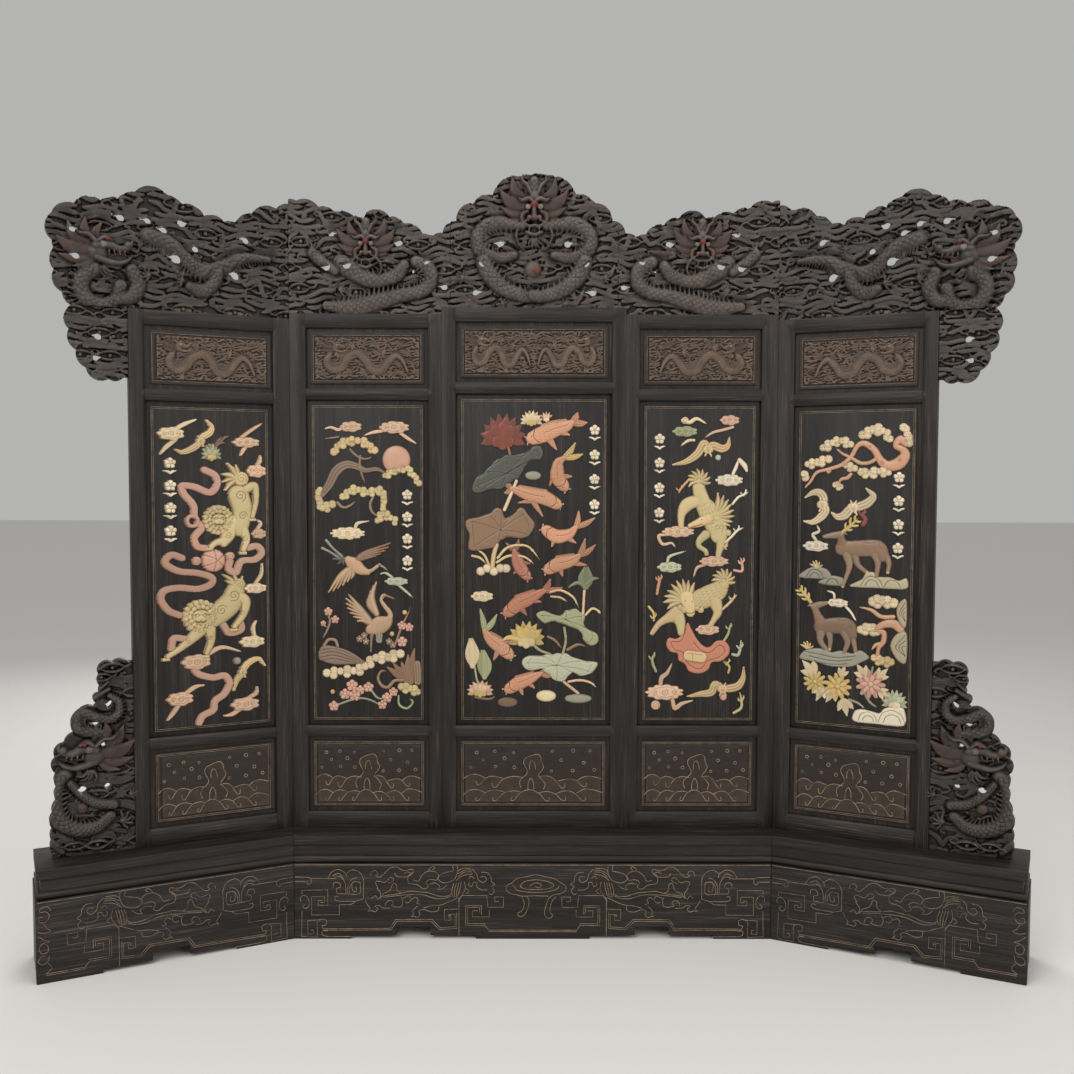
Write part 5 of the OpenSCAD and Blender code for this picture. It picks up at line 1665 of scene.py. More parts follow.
    def leaf_form(self, outline: Sequence[Point], tint: Colour, root: Point, height: float = 4.2) -> None:
        """Cuts a curling leaf with veins that run out from its stem.

        Args:
            outline: Points round the leaf.
            tint: Colour of the stone.
            root: Where the veins meet.
            height: How far the middle stands above the field.
        """
        rim = smooth_path(outline, 7.0, closed=True)
        away = rim - np.array(root, float)
        wave = 1 + 0.035 * np.sin(9 * np.arctan2(away[:, 1], away[:, 0]))
        self.form([tuple(p) for p in np.array(root, float) + away * wave[:, None]], tint, height, 9)
        fold = [(root[0] + 0.84 * (x - root[0]), root[1] + 0.84 * (z - root[1])) for x, z in outline]
        self.line(fold + fold[:1], 1.4, 0.9)
        for x, z in outline[::2]:
            self.line([root, ((root[0] + x) / 2 + 2, (root[1] + z) / 2 + 3),
                       (root[0] + (x - root[0]) * 0.9, root[1] + (z - root[1]) * 0.9)], 1.0, 1.1)

    def koi(self, path: Sequence[Point], wide: float, tint: Colour, tips: Sequence[Point],
            fins: Sequence[Point], tail: Colour | None = None) -> None:
        """Cuts a carp from its head to the tips of its tail.

        Args:
            path: Points along the body from the head.
            wide: Width of the body.
            tint: Colour of the stone.
            tips: Tips of the tail.
            fins: Tips of the fins.
            tail: Colour of the tail, or None for the body's own.
        """
        head, last = np.array(path[0], float), np.array(path[-1], float)
        body = len(path)
        shape = np.interp(np.linspace(0, 1, body), [0, 0.25, 0.6, 1], [0.80, 1.0, 0.84, 0.34]) * wide * 0.54
        middle = np.array(path[body // 2], float)
        tone = self.shade(tint)
        ahead = np.array(path[0], float) - path[1]
        ahead /= max(1e-6, np.hypot(*ahead))
        back = np.array([-ahead[1], ahead[0]])
        back *= -np.sign(back @ (np.array(fins[0]) - head)) or 1.0
        crest = [tuple(np.array(path[k], float) + back * shape[k] * 0.92) for k in range(1, body - 1)]
        if len(crest) > 1:
            self.limb([(px - ahead[0] * 4, pz - ahead[1] * 4) for px, pz in crest], wide * 0.13, tone, 3.6,
                      kind=Profile.REEDS)
        for tip in tips:
            bend = (last + np.array(tip)) / 2
            self.limb([tuple(last), (bend[0] + 3, bend[1] - 3), tip], [wide * 0.18, wide * 0.22, 2.4],
                      tail or tone, 3.6, kind=Profile.REEDS)
        for k, fin in enumerate(fins):
            root = middle if k else head + (middle - head) * 0.55
            self.limb([tuple(root), tuple((root + np.array(fin)) / 2), fin],
                      [wide * 0.2, wide * 0.2, 2.6], tone, 3.8, kind=Profile.REEDS)
        self.relief.stroke(self.at(path), list(shape), 6.4, 0, Profile.SCALES, tone)
        flank = np.array([np.array(p, float) + back * shape[0] * 0.1 for p in path])
        self.line([tuple(p) for p in flank[1:]], 1.4, 1.2)
        snout = head + ahead * wide * 0.2
        self.relief.stroke(self.at([tuple(head), tuple(snout)]), [shape[0] * 1.02, shape[0] * 0.62], 6.6, 0,
                           Profile.ROUND, tone)
        for s in (-1, 1):
            root = snout + back * s * wide * 0.12 + ahead * wide * 0.12
            far = root + ahead * wide * 0.16 + back * s * wide * 0.16
            self.limb([tuple(root), tuple((root + far) / 2 + ahead * 2), tuple(far)], [2.4, 2.2, 1.6], PEACH,
                      3.4)
        spot = head + back * wide * 0.12 + ahead * wide * 0.06
        self.eye(spot[0], spot[1], 2.2, 5.6)
        gill = head - ahead * wide * 0.26
        self.line([tuple(gill + back * wide * 0.42), tuple(gill + ahead * wide * 0.16 + back * wide * 0.2),
                   tuple(gill + ahead * wide * 0.2), tuple(gill + ahead * wide * 0.14 - back * wide * 0.2),
                   tuple(gill - back * wide * 0.4)], 1.8, 2.0)

    def bat(self, body: Point, wings: Sequence[Sequence[Point]], tint: Colour, wide: float = 9.0) -> None:
        """Cuts a flying bat: two long curved wings and a small eared body.

        Args:
            body: Middle of the body.
            wings: Points along each wing, outwards.
            tint: Colour of the stone.
            wide: Measure that the body and the wings are scaled by.
        """
        for span in wings:
            self.taper([body, *span], wide * 1.5, tint, 5.2, kind=Profile.REEDS)
        x, z = body
        for side in (-1, 1):
            self.limb([(x + side * 2, z + wide * 0.5), (x + side * wide * 0.7, z + wide * 1.7)],
                      [wide * 0.34, 1.8], tint, 5.2)
            self.limb([(x + side * 2, z - wide * 0.5), (x + side * wide * 0.9, z - wide * 1.9)],
                      [wide * 0.45, 2.0], tint, 4.8)
        self.button(x, z, wide * 1.3, tint, 6.4, 0, 1.25)
        for side in (-1, 1):
            self.relief.disc(x + side * wide * 0.36 + self.middle, z + wide * 0.4, 1.8, 1.2, 5.2, DARK_EYE)
        self.spiral(x, z - wide * 0.35, wide * 0.42)

    def flame(self, path: Sequence[Point], tint: Colour, wide: float = 5.0) -> None:
        """Cuts a small forked flame or coral sprig.

        Args:
            path: Points along the main tongue.
            tint: Colour of the stone.
            wide: Radius at its root.
        """
        self.taper(path, wide, tint, 4.6)
        x, z = path[len(path) // 2]
        self.taper([(x, z), (x + 7, z + 11), (x + 4, z + 22)], wide * 0.7, tint, 4.2)
        self.taper([(x, z - 4), (x - 10, z + 4), (x - 13, z + 14)], wide * 0.6, tint, 4.2)

    def rays(self, x: float, z: float, spikes: Sequence[Point], wide: float, tint: Colour) -> None:
        """Cuts pointed locks from one middle to each given tip.

        Args:
            x: Place across the panel, from its middle.
            z: Height above the floor.
            spikes: Tip of each lock.
            wide: Radius at the root.
            tint: Colour of the stone.
        """
        for tip in spikes:
            bend = ((x + tip[0]) / 2 + (tip[1] - z) * 0.08, (z + tip[1]) / 2 - (tip[0] - x) * 0.08)
            self.limb([(x, z), bend, tip], [wide, wide * 0.95, 1.3], tint, 4.8, kind=Profile.RIDGE)

    def star(self, x: float, z: float, radius: float, tint: Colour) -> None:
        """Cuts a tail tuft of pointed petals round a wound middle.

        Args:
            x: Place across the panel, from its middle.
            z: Height above the floor.
            radius: Distance of the tips.
            tint: Colour of the stone.
        """
        count = 9
        for k in range(count):
            a = math.radians(200 - 220 * k / (count - 1))
            self.limb([(x, z), (x + 0.6 * radius * math.cos(a), z + 0.6 * radius * math.sin(a)),
                       (x + radius * math.cos(a + 0.18), z + radius * math.sin(a + 0.18))],
                      [radius * 0.2, radius * 0.19, 1.4], tint, 5.0, kind=Profile.RIDGE)
        self.curl(x, z, radius * 0.3, tint, 6.4)

    def finish(self, shop: Workshop) -> None:
        """Hands the panel's stones over.

        Args:
            shop: The workshop that delivers them.
        """
        n = self.leaf.number
        stones = self.relief.mesh(f"stones_{n}", Place(self.leaf.side), SIZES.panel_front,
                                  SIZES.panel_front + 1.5, SIZES.plinth_height, 2.2, crisp=2.6)
        shop.deliver(stones, self.leaf.body, "soapstone", shop.stone, [f"leaf_{n}_inlays"])


def koi_pond(art: StoneArt) -> None:
    """Draws the middle panel: carp among lotus leaves, buds and pebbles.

    Args:
        art: The panel's drawing.
    """
    art.lotus(-104, 1350, 150, 112, RUST, BUFF)
    art.lotus(-8, 1392, 72, 46, CREAM, STRAW)
    art.lotus(42, 1396, 42, 30, PEACH, CREAM, (150, 120, 90, 60, 30))
    art.limb([(-87, 1298), (-84, 1285), (-80, 1270)], 4.5, TAN, 4)
    art.koi([(-2, 1324), (35, 1338), (72, 1353), (109, 1364), (127, 1376)], 54, SALMON,
            [(147, 1409), (178, 1376)], [(76, 1286), (120, 1334)])
    art.koi([(101, 1164), (82, 1190), (80, 1218), (84, 1242), (101, 1257)], 46, SALMON,
            [(139, 1307), (164, 1270)], [(127, 1196), (54, 1166)], STRAW)
    art.koi([(76, 1103), (35, 1124), (-17, 1135), (-50, 1146), (-73, 1153)], 46, SALMON,
            [(-104, 1182), (-98, 1140)], [(-50, 1106), (30, 1062)])
    art.koi([(44, 1013), (76, 994), (104, 996), (126, 1006), (142, 1024)], 44, SALMON,
            [(152, 1078), (206, 1056)], [(62, 960), (142, 972)])
    art.koi([(53, 883), (87, 901), (116, 908), (138, 916), (153, 927)], 46, SALMON,
            [(174, 985), (208, 964)], [(98, 860), (178, 896)])
    art.koi([(-24, 861), (-42, 884), (-54, 905), (-62, 926), (-65, 944)], 40, CORAL,
            [(-92, 970), (-50, 982)], [(-66, 868), (-12, 902)])
    art.koi([(-84, 738), (-47, 768), (-20, 780), (8, 794), (35, 809)], 48, CORAL,
            [(57, 848), (96, 820)], [(-24, 728), (24, 772)])
    art.koi([(-84, 594), (-112, 620), (-136, 638), (-152, 652), (-165, 672)], 46, SALMON,
            [(-180, 746), (-124, 727)], [(-134, 574), (-66, 635)], JADE)
    art.koi([(-80, 476), (-50, 494), (-24, 504), (2, 516), (24, 527)], 44, SALMON,
            [(58, 556), (66, 520)], [(-36, 455), (4, 478)])
    art.leaf_form([(-206, 1153), (-199, 1187), (-165, 1209), (-136, 1242), (-95, 1264), (-32, 1273),
                   (-2, 1294), (24, 1296), (36, 1276), (24, 1253), (-6, 1250), (-32, 1224), (-47, 1194),
                   (-76, 1176), (-113, 1153), (-150, 1150), (-187, 1140)], SLATE, (-90, 1205))
    art.button(-2, 1198, 15, ASH, 5, 0, 1.8)
    art.limb([(-58, 1179), (-74, 1140), (-98, 1083)], [5, 6, 6], CREAM, 4)
    art.leaf_form([(-224, 1046), (-180, 1061), (-150, 1068), (-132, 1088), (-110, 1083), (-95, 1057),
                   (-69, 1068), (-47, 1088), (-21, 1076), (0, 1035), (-10, 998), (-39, 987), (-84, 990),
                   (-110, 979), (-124, 961), (-173, 946), (-213, 950), (-221, 998)], TAN, (-112, 1014), 5)
    art.limb([(-124, 964), (-134, 930), (-139, 887)], [7, 8, 8], BUFF, 4.6)
    for grass in ([(-121, 920), (-91, 953), (-47, 964), (-10, 953), (27, 905)],
                  [(-124, 905), (-84, 927), (-32, 924), (9, 894)], [(-206, 927), (-180, 920), (-158, 898)],
                  [(-150, 896), (-166, 930), (-190, 948)]):
        art.taper(grass, 5.5, BUFF, 4)
    for x in (-178, -156, -134, -112, -92):
        art.button(x, 880 + 6 * math.sin(x), 15, CREAM, 5)
    art.cloud(-173, 790, 78, 38, CREAM)
    for side in (-1, 0, 1):
        art.limb([(176, 822), (176 + side * 14, 850), (178 + side * 6, 890)], [10, 12, 2], SAGE, 5,
                 kind=Profile.HOLLOW)
    art.taper([(172, 830), (146, 836), (116, 820)], 9, SAGE)
    art.taper([(178, 832), (200, 850), (220, 852)], 9, SAGE)
    art.limb([(172, 809), (170, 770), (168, 731)], 4.5, PEACH, 4)
    for vine in ([(57, 805), (84, 812), (109, 805), (132, 790), (142, 776), (161, 739)],
                 [(176, 727), (198, 749), (216, 744), (231, 729)], [(60, 790), (92, 786), (118, 770)]):
        art.taper(vine, 5.0, BUFF, 4)
    art.leaf_form([(13, 727), (35, 742), (64, 731), (94, 727), (109, 742), (146, 747), (172, 724),
                   (176, 687), (213, 664), (216, 635), (198, 620), (172, 639), (161, 668), (124, 687),
                   (94, 698), (64, 705), (35, 698)], JADE, (110, 712), 5)
    art.lotus(-24, 664, 122, 84, STRAW, OCHRE)
    art.taper([(-30, 640), (-80, 650), (-104, 640)], 12, STRAW)
    art.limb([(-2, 627), (24, 606), (57, 594)], [5, 4.5, 4], JADE, 4)
    art.taper([(50, 653), (74, 640), (98, 612)], 6, TAN)
    art.taper([(116, 609), (150, 626), (180, 621)], 7, TAN)
    art.limb([(105, 683), (110, 640), (101, 598)], 4.5, JADE, 4)
    art.leaf_form([(-37, 564), (-17, 587), (27, 590), (64, 594), (101, 598), (131, 587), (168, 572),
                   (216, 564), (205, 531), (161, 520), (131, 531), (109, 505), (79, 501), (57, 520),
                   (27, 542), (-2, 537), (-28, 542)], MIST, (80, 556), 5.4)
    art.limb([(105, 498), (128, 480), (153, 460)], 5, PEACH, 4)
    art.taper([(120, 500), (160, 505), (196, 496), (216, 478)], 5.5, PEACH)
    art.button(153, 442, 16, ASH, 5, 0, 2.9)
    art.button(44, 451, 20, CREAM, 5, 0, 1.7)
    art.button(-87, 429, 17, BROWN, 5, 0, 2.0)
    for x, top, base, tint in ((-206, 646, 552, CREAM), (-165, 606, 514, JADE)):
        for side in (-1, 1, 0):
            art.limb([(x, base), (x + side * 13, (top + base) / 2 - 6), (x - 5 + side * 5, top)],
                     [8, 12, 2], tint, 4.6 + (side == 0), kind=Profile.HOLLOW)
    art.limb([(-198, 550), (-192, 510), (-180, 480)], 3.5, JADE, 3.6)
    art.lotus(-180, 478, 86, 52, PEACH, STRAW)
    art.taper([(-196, 446), (-150, 440), (-126, 452)], 6, BROWN)
    art.ornament_column(205, (1345, 1262, 1180, 1095))


def lion_play(art: StoneArt) -> None:
    """Draws the first panel: two lions, a ball, ribbons, bats and clouds.

    Args:
        art: The panel's drawing.
    """
    for x, z, wide, tall, tails in (
        (-131, 1328, 85, 45, ([(-116, 1344), (-84, 1362), (-50, 1376)],
                              [(-116, 1310), (-144, 1286), (-166, 1261)])),
        (106, 1304, 90, 36, ([(91, 1320), (126, 1346), (161, 1369)], [(109, 1294), (96, 1276), (87, 1258)])),
        (139, 1210, 65, 45, ([(140, 1226), (152, 1246), (150, 1265)],)),
        (146, 1002, 46, 34, ([(140, 1016), (152, 1036), (140, 1050)],)),
        (132, 821, 75, 36, ([(132, 836), (152, 866), (156, 904)],)),
        (120, 643, 85, 42, ([(128, 660), (124, 690), (135, 715)],)),
        (-61, 587, 95, 52, ([(-30, 606), (20, 630), (82, 613)],)),
        (-113, 469, 85, 48, ([(-92, 488), (-64, 506), (-35, 510)], [(-116, 452), (-136, 424), (-154, 402)])),
        (95, 435, 95, 48, ([(108, 456), (132, 470), (135, 491)], [(80, 420), (50, 404), (26, 402)])),
    ):
        art.cloud(x, z, wide, tall, PEACH if art.random.choice([0, 1]) else CREAM, tails)
    art.bat((-39, 1306), ([(-34, 1318), (-10, 1334), (-4, 1352), (-20, 1374)],
                          [(-44, 1298), (-68, 1280), (-98, 1269), (-117, 1278)]), BUFF)
    art.bat((87, 543), ([(92, 556), (112, 576), (140, 584), (161, 560)], [(82, 534), (68, 518), (58, 484)]),
            BUFF)
    art.button(70, 582, 12, ASH, 5)
    art.lotus(-5, 1272, 58, 50, JADE, STRAW)
    for tip in ((28, 1322), (54, 1326), (40, 1300)):
        art.taper([(10, 1290), ((tip[0] + 12) / 2, (tip[1] + 1296) / 2 + 4), tip], 4.5, BROWN)
    ribbons = (
        [(-28, 1213), (4, 1196), (12, 1170), (2, 1148), (-17, 1140), (-61, 1158), (-98, 1161), (-94, 1136),
         (-65, 1099), (-61, 1064)],
        [(-50, 1040), (-40, 1022), (-61, 995), (-54, 965), (-28, 958)],
        [(-102, 928), (-135, 939), (-154, 913), (-113, 886), (-54, 878), (-9, 861), (-13, 839), (-54, 826),
         (-113, 832), (-157, 824), (-168, 795), (-146, 760), (-113, 743)],
        [(50, 913), (46, 888), (69, 876), (87, 912), (132, 917), (154, 939), (139, 961), (109, 956)],
        [(-46, 698), (-76, 664), (-128, 669), (-138, 636)],
        [(28, 702), (46, 676), (84, 686), (80, 716)],
        [(-72, 573), (-54, 547), (-9, 532), (28, 536), (44, 510), (28, 476), (-2, 454), (-9, 425),
         (-42, 408), (-54, 387)],
    )
    for path in ribbons:
        art.limb(path, 10.5, ROSE, 4.4, kind=Profile.HOLLOW)
    ring = [(-68 + 17 * math.cos(a), 1047 + 17 * math.sin(a)) for a in np.arange(0, 6.6, 0.6)]
    art.limb(ring, 6.0, ROSE, 4.4)
    x, z, r = -3, 917, 37
    art.button(x, z, r, ROSE, 6.8)
    for k in range(3):
        a = 0.5 + k * 1.05
        art.line([(x - r * math.cos(a), z - r * math.sin(a)), (x + 7 * math.sin(a), z - 7 * math.cos(a)),
                  (x + r * math.cos(a), z + r * math.sin(a))], 1.6, 1.6)
    for x, z in ((-57, 917), (50, 930)):
        art.curl(x, z, 14, ROSE)
    art.limb([(80, 1130), (92, 1080), (84, 1020)], [34, 32, 26], OCHRE, 6)
    art.limb([(60, 1040), (44, 1000), (30, 972)], [26, 22, 12], OCHRE, 5.6)
    art.limb([(104, 1150), (132, 1160), (136, 1110), (124, 1060)], [14, 13, 9, 8], OCHRE, 5.4)
    art.limb([(92, 1020), (104, 984), (94, 950)], [18, 12, 9], OCHRE, 5.6)
    art.limb([(26, 980), (4, 974), (-10, 962)], [13, 10, 8], OCHRE, 5.6)
    lion_paws(art, ((124, 1052), (92, 942), (-16, 958)))
    art.rays(76, 1184, ((44, 1235), (26, 1200), (28, 1173), (37, 1146), (70, 1232)), 10, OCHRE)
    art.curl(88, 1184, 24, OCHRE, 6.6)
    for x, z, r in ((84, 1128, 20), (92, 1062, 15), (44, 1000, 12), (100, 986, 10)):
        art.spiral(x, z, r)
    lion_head(art, 14, 1050, 0.92)
    art.rays(70, 826, ((26, 871), (34, 850), (58, 876), (90, 862), (98, 838)), 9, OCHRE)
    art.curl(78, 836, 20, OCHRE, 6.4)
    art.limb([(66, 812), (54, 780), (20, 748), (-20, 716)], [30, 36, 36, 26], OCHRE, 6)
    art.limb([(74, 800), (98, 778), (92, 736), (62, 696)], [18, 17, 11, 8], OCHRE, 5.6)
    art.limb([(-50, 690), (-76, 664), (-112, 634), (-150, 610)], [22, 16, 10, 8], OCHRE, 5.6)
    art.limb([(-16, 690), (-14, 652), (-28, 614)], [18, 12, 8], OCHRE, 5.6)
    lion_paws(art, ((60, 688), (-156, 604), (-32, 606)))
    for x, z, r in ((60, 800, 20), (20, 752, 18), (88, 742, 9), (-86, 656, 10), (-16, 664, 9)):
        art.spiral(x, z, r)
    lion_head(art, -47, 735, 1.06)
    art.ornament_column(-135, (1228, 1156, 1084, 1010))


def lion_paws(art: StoneArt, places: Sequence[Point]) -> None:
    """Cuts three round toes at each place.

    Args:
        art: The panel's drawing.
        places: Middle of each paw.
    """
    for x, z in places:
        for toe in (-7, 0, 7):
            art.button(x + toe, z - 3, 5.4, OCHRE, 6.2)


def lion_head(art: StoneArt, x: float, z: float, size: float) -> None:
    """Cuts a lion's head: two rings of mane curls round brows, eyes, broad nose and open mouth.

    Args:
        art: The panel's drawing.
        x: Place across the panel, from its middle.
        z: Height above the floor.
        size: Scale of the drawing.
    """
    s = size
    for count, reach, radius, height in ((18, 44, 9.5, 6.0), (14, 31, 8.0, 6.9)):
        for k in range(count):
            a = 2 * math.pi * (k + 0.25 * radius) / count
            art.curl(x + reach * s * math.cos(a), z + reach * s * math.sin(a), radius * s, OCHRE, height)
    art.button(x, z - 2 * s, 25 * s, OCHRE, 8.0, 0, 1.12)
    for side in (-1, 1):
        art.limb([(x + side * 3 * s, z + 9 * s), (x + side * 11 * s, z + 14 * s),
                  (x + side * 21 * s, z + 8 * s)],
                 [3.0 * s, 4.2 * s, 1.8 * s], OCHRE, 2.6, 7.0)
        art.button(x + side * 10 * s, z + 4 * s, 4.4 * s, OCHRE, 2.4, 7.0)
        art.relief.ring(art.middle + x + side * 10 * s, z + 4 * s, 4.6 * s, 1.5, 1.6)
        art.button(x + side * 8 * s, z - 8 * s, 7.6 * s, OCHRE, 2.8, 7.0)
    art.button(x, z - 2 * s, 6.4 * s, OCHRE, 3.4, 7.0, 1.3)
    art.line([(x - 15 * s, z - 13 * s), (x - 8 * s, z - 18 * s), (x, z - 16 * s), (x + 8 * s, z - 18 * s),
              (x + 15 * s, z - 13 * s)], 2.4 * s, 3.2)


def cranes_and_pine(art: StoneArt) -> None:
    """Draws the second panel: two cranes, an old pine, the sun and plum blossom.

    Args:
        art: The panel's drawing.
    """
    art.cloud(-55, 1360, 76, 38, PEACH, ([(-84, 1354), (-100, 1350), (-122, 1358), (-146, 1352)],))
    art.cloud(90, 1358, 104, 44, PEACH, ([(50, 1346), (22, 1342), (-12, 1331)],
                                         [(112, 1338), (138, 1320), (166, 1303)]))
    art.taper([(-96, 1326), (-120, 1322), (-148, 1320)], 4, TAUPE)
    art.button(97, 1250, 47, ROSE, 6.2)
    art.limb([(-152, 1134), (-128, 1168), (-106, 1210), (-74, 1232), (-40, 1228), (-8, 1214), (30, 1218),
              (54, 1208)],
             [11, 15, 17, 15, 12, 9, 7, 4], TAUPE, 6, kind=Profile.REEDS)
    for path, wide in (([(-24, 1262), (-26, 1236), (-20, 1204), (-8, 1168)], 6),
                       ([(-58, 1284), (-36, 1262), (-6, 1252), (22, 1262)], 5),
                       ([(-102, 1106), (-84, 1090), (-62, 1094), (-38, 1112)], 6),
                       ([(18, 1124), (8, 1100), (14, 1076), (32, 1060)], 6)):
        art.taper(path, wide, TAUPE, 4.6)
    art.pine([(-112, 1274), (-92, 1298), (-52, 1312), (-12, 1306), (24, 1280)], 13, BUFF)
    art.pine([(56, 1196), (92, 1212), (132, 1220), (156, 1196), (172, 1170)], 11, WHEAT)
    art.pine([(-160, 1146), (-166, 1118), (-152, 1086), (-120, 1098)], 13, WHEAT)
    art.pine([(-84, 1124), (-46, 1148), (0, 1138), (42, 1146), (54, 1120), (52, 1092)], 12, WHEAT)
    art.pine([(34, 1044), (52, 1066), (92, 1044)], 12, WHEAT)
    art.cloud(-68, 1002, 120, 44, CREAM, ([(-44, 1016), (-34, 1036), (4, 1044)],))
    crane_in_flight(art)
    art.cloud(96, 840, 82, 30, MIST, ([(84, 852), (60, 868), (36, 864)],
                                      [(104, 826), (128, 806), (157, 780)]))
    crane_standing(art)
    for path in ([(-158, 640), (-142, 668), (-130, 700), (-134, 726)],
                 [(-138, 684), (-150, 690), (-156, 700)],
                 [(146, 760), (130, 722), (114, 690), (100, 652), (88, 618)]):
        art.taper(path[::-1], 5, TAUPE, 4)
    for x, z, r in ((-135, 737, 15), (-112, 710, 14), (-152, 697, 10), (114, 690, 16), (138, 684, 15),
                    (114, 635, 18)):
        art.blossom(x, z, r, PINK, BUFF)
    for x, z in ((123, 735), (80, 662), (-122, 464)):
        art.button(x, z, 8, STRAW, 5)
    art.limb([(-150, 622), (-134, 642), (-112, 640), (-104, 620)], 5, TAUPE, 4.6)
    art.form([(-168, 604), (-150, 622), (-110, 618), (-64, 602), (-24, 576), (-10, 560), (-60, 558),
              (-110, 556), (-150, 566), (-168, 576)], TAUPE, 5, 8)
    for shift in (0, 12, 24, 36):
        art.line([(-166, 604 - shift), (-120, 612 - shift), (-70, 596 - shift * 0.8),
                  (-28, 570 - shift * 0.3)], 1.5, 1.6)
    art.pine([(-140, 526), (-96, 532), (-50, 534), (-12, 550), (24, 578), (66, 580), (106, 592)], 15, CREAM)
    for tip in ((64, 548), (84, 562), (112, 566), (134, 590), (156, 612), (150, 560)):
        art.limb([(142, 500), ((tip[0] + 142) / 2 - 4, (tip[1] + 500) / 2), tip], [12, 13, 2], TAN, 4.8,
                 kind=Profile.HOLLOW)
    art.limb([(166, 500), (166, 530), (164, 558)], 13, TAUPE, 5, kind=Profile.REEDS)
    art.taper([(116, 504), (88, 502), (66, 480), (44, 486), (32, 512), (44, 536), (62, 534)], 7, TAN, 4.8)
    art.pine([(112, 480), (140, 474), (168, 462)], 14, WHEAT)
    for path in ([(-104, 420), (-60, 436), (-20, 442), (20, 430), (52, 408)],
                 [(-96, 452), (-60, 450), (-30, 440)], [(10, 468), (30, 444), (60, 440)]):
        art.taper(path, 4.5, ASH, 3.6)
    art.taper([(102, 450), (104, 420), (130, 408), (150, 430), (130, 446)], 4.5, JADE, 4)
    for x, z, r in ((-56, 486, 20), (-80, 456, 19), (-48, 452, 21), (-28, 470, 16), (0, 480, 18),
                    (62, 444, 18), (84, 464, 16), (46, 420, 16), (-118, 415, 18)):
        art.blossom(x, z, r, PINK, BUFF)
    art.ornament_column(133, (1126, 1052, 978, 904))


def crane_in_flight(art: StoneArt) -> None:
    """Cuts the crane that flies with its neck stretched out.

    Args:
        art: The panel's drawing.
    """
    for path in ([(-88, 926), (-118, 952), (-140, 978)], [(-96, 918), (-126, 938), (-154, 952)]):
        art.limb(path, [4, 3.4, 5], ASH, 4)
    for tip in ((-110, 936), (-118, 916), (-100, 900), (-84, 898)):
        art.limb([(-56, 906), (-80, 914), tip], [10, 9, 2.5], SLATE, 4)
    for k, tip in enumerate(((76, 970), (68, 956), (58, 944), (44, 934), (28, 926))):
        art.limb([(-44, 908), (-8 - 4 * k, 936 - 5 * k), tip], [9, 9, 2], TAN, 4.8 - 0.1 * k,
                 kind=Profile.RIDGE)
    for k, tip in enumerate(((-134, 802), (-118, 808), (-102, 816), (-86, 826), (-70, 838), (-56, 850))):
        art.limb([(-52, 892), (-96 + 9 * k, 856 + 2 * k), tip], [10, 9, 2], BISQUE, 5.2 - 0.1 * k,
                 kind=Profile.RIDGE)
    art.limb([(-66, 912), (-46, 896), (-22, 878), (0, 870)], [14, 23, 17, 9], BISQUE, 6.6)
    art.limb([(-6, 872), (14, 878), (30, 890), (38, 896)], [8, 6, 5.5, 6], BISQUE, 6)
    art.button(38, 896, 7.5, RUST, 6.4)
    art.limb([(42, 894), (56, 886), (68, 874)], [4, 3, 1.2], ASH, 5)
    art.eye(39, 897, 1.7, 6.0)


def crane_standing(art: StoneArt) -> None:
    """Cuts the crane that stands with its wings raised.

    Args:
        art: The panel's drawing.
    """
    for k, tip in enumerate(((-66, 796), (-74, 782), (-74, 766), (-70, 750), (-62, 734), (-50, 720),
                             (-36, 706))):
        art.limb([(18, 690), (-28 + k * 3, 748 - 7 * k), tip], [10, 10, 2], BISQUE, 5.6 - 0.1 * k,
                 kind=Profile.RIDGE)
    for k, tip in enumerate(((28, 838), (18, 826), (8, 808), (2, 790))):
        art.limb([(28, 730), (12 - 3 * k, 784 - 7 * k), tip], [10, 11, 2], BISQUE, 5.2 - 0.1 * k,
                 kind=Profile.RIDGE)
    art.limb([(6, 676), (36, 690), (62, 702), (72, 716)], [16, 30, 20, 10], BISQUE, 6.6)
    art.limb([(68, 700), (74, 730), (56, 756), (44, 776), (50, 792)], [12, 9, 7, 6, 6], BISQUE, 6.2)
    art.button(54, 792, 8, TAN, 6.6)
    art.limb([(60, 792), (74, 787), (92, 780)], [4, 3, 1.2], TAN, 5)
    art.eye(55, 793, 1.8, 6.2)
    for x, z in ((-14, 656), (-30, 644), (-8, 636), (70, 636), (82, 624)):
        art.blossom(x, z, 12, TAUPE, BUFF)
    art.limb([(12, 664), (10, 636), (8, 604)], [7, 4, 3.4], TAUPE, 4.6)
    art.limb([(36, 664), (36, 640)], [13, 11], ASH, 4.6, kind=Profile.REEDS, straight=True)


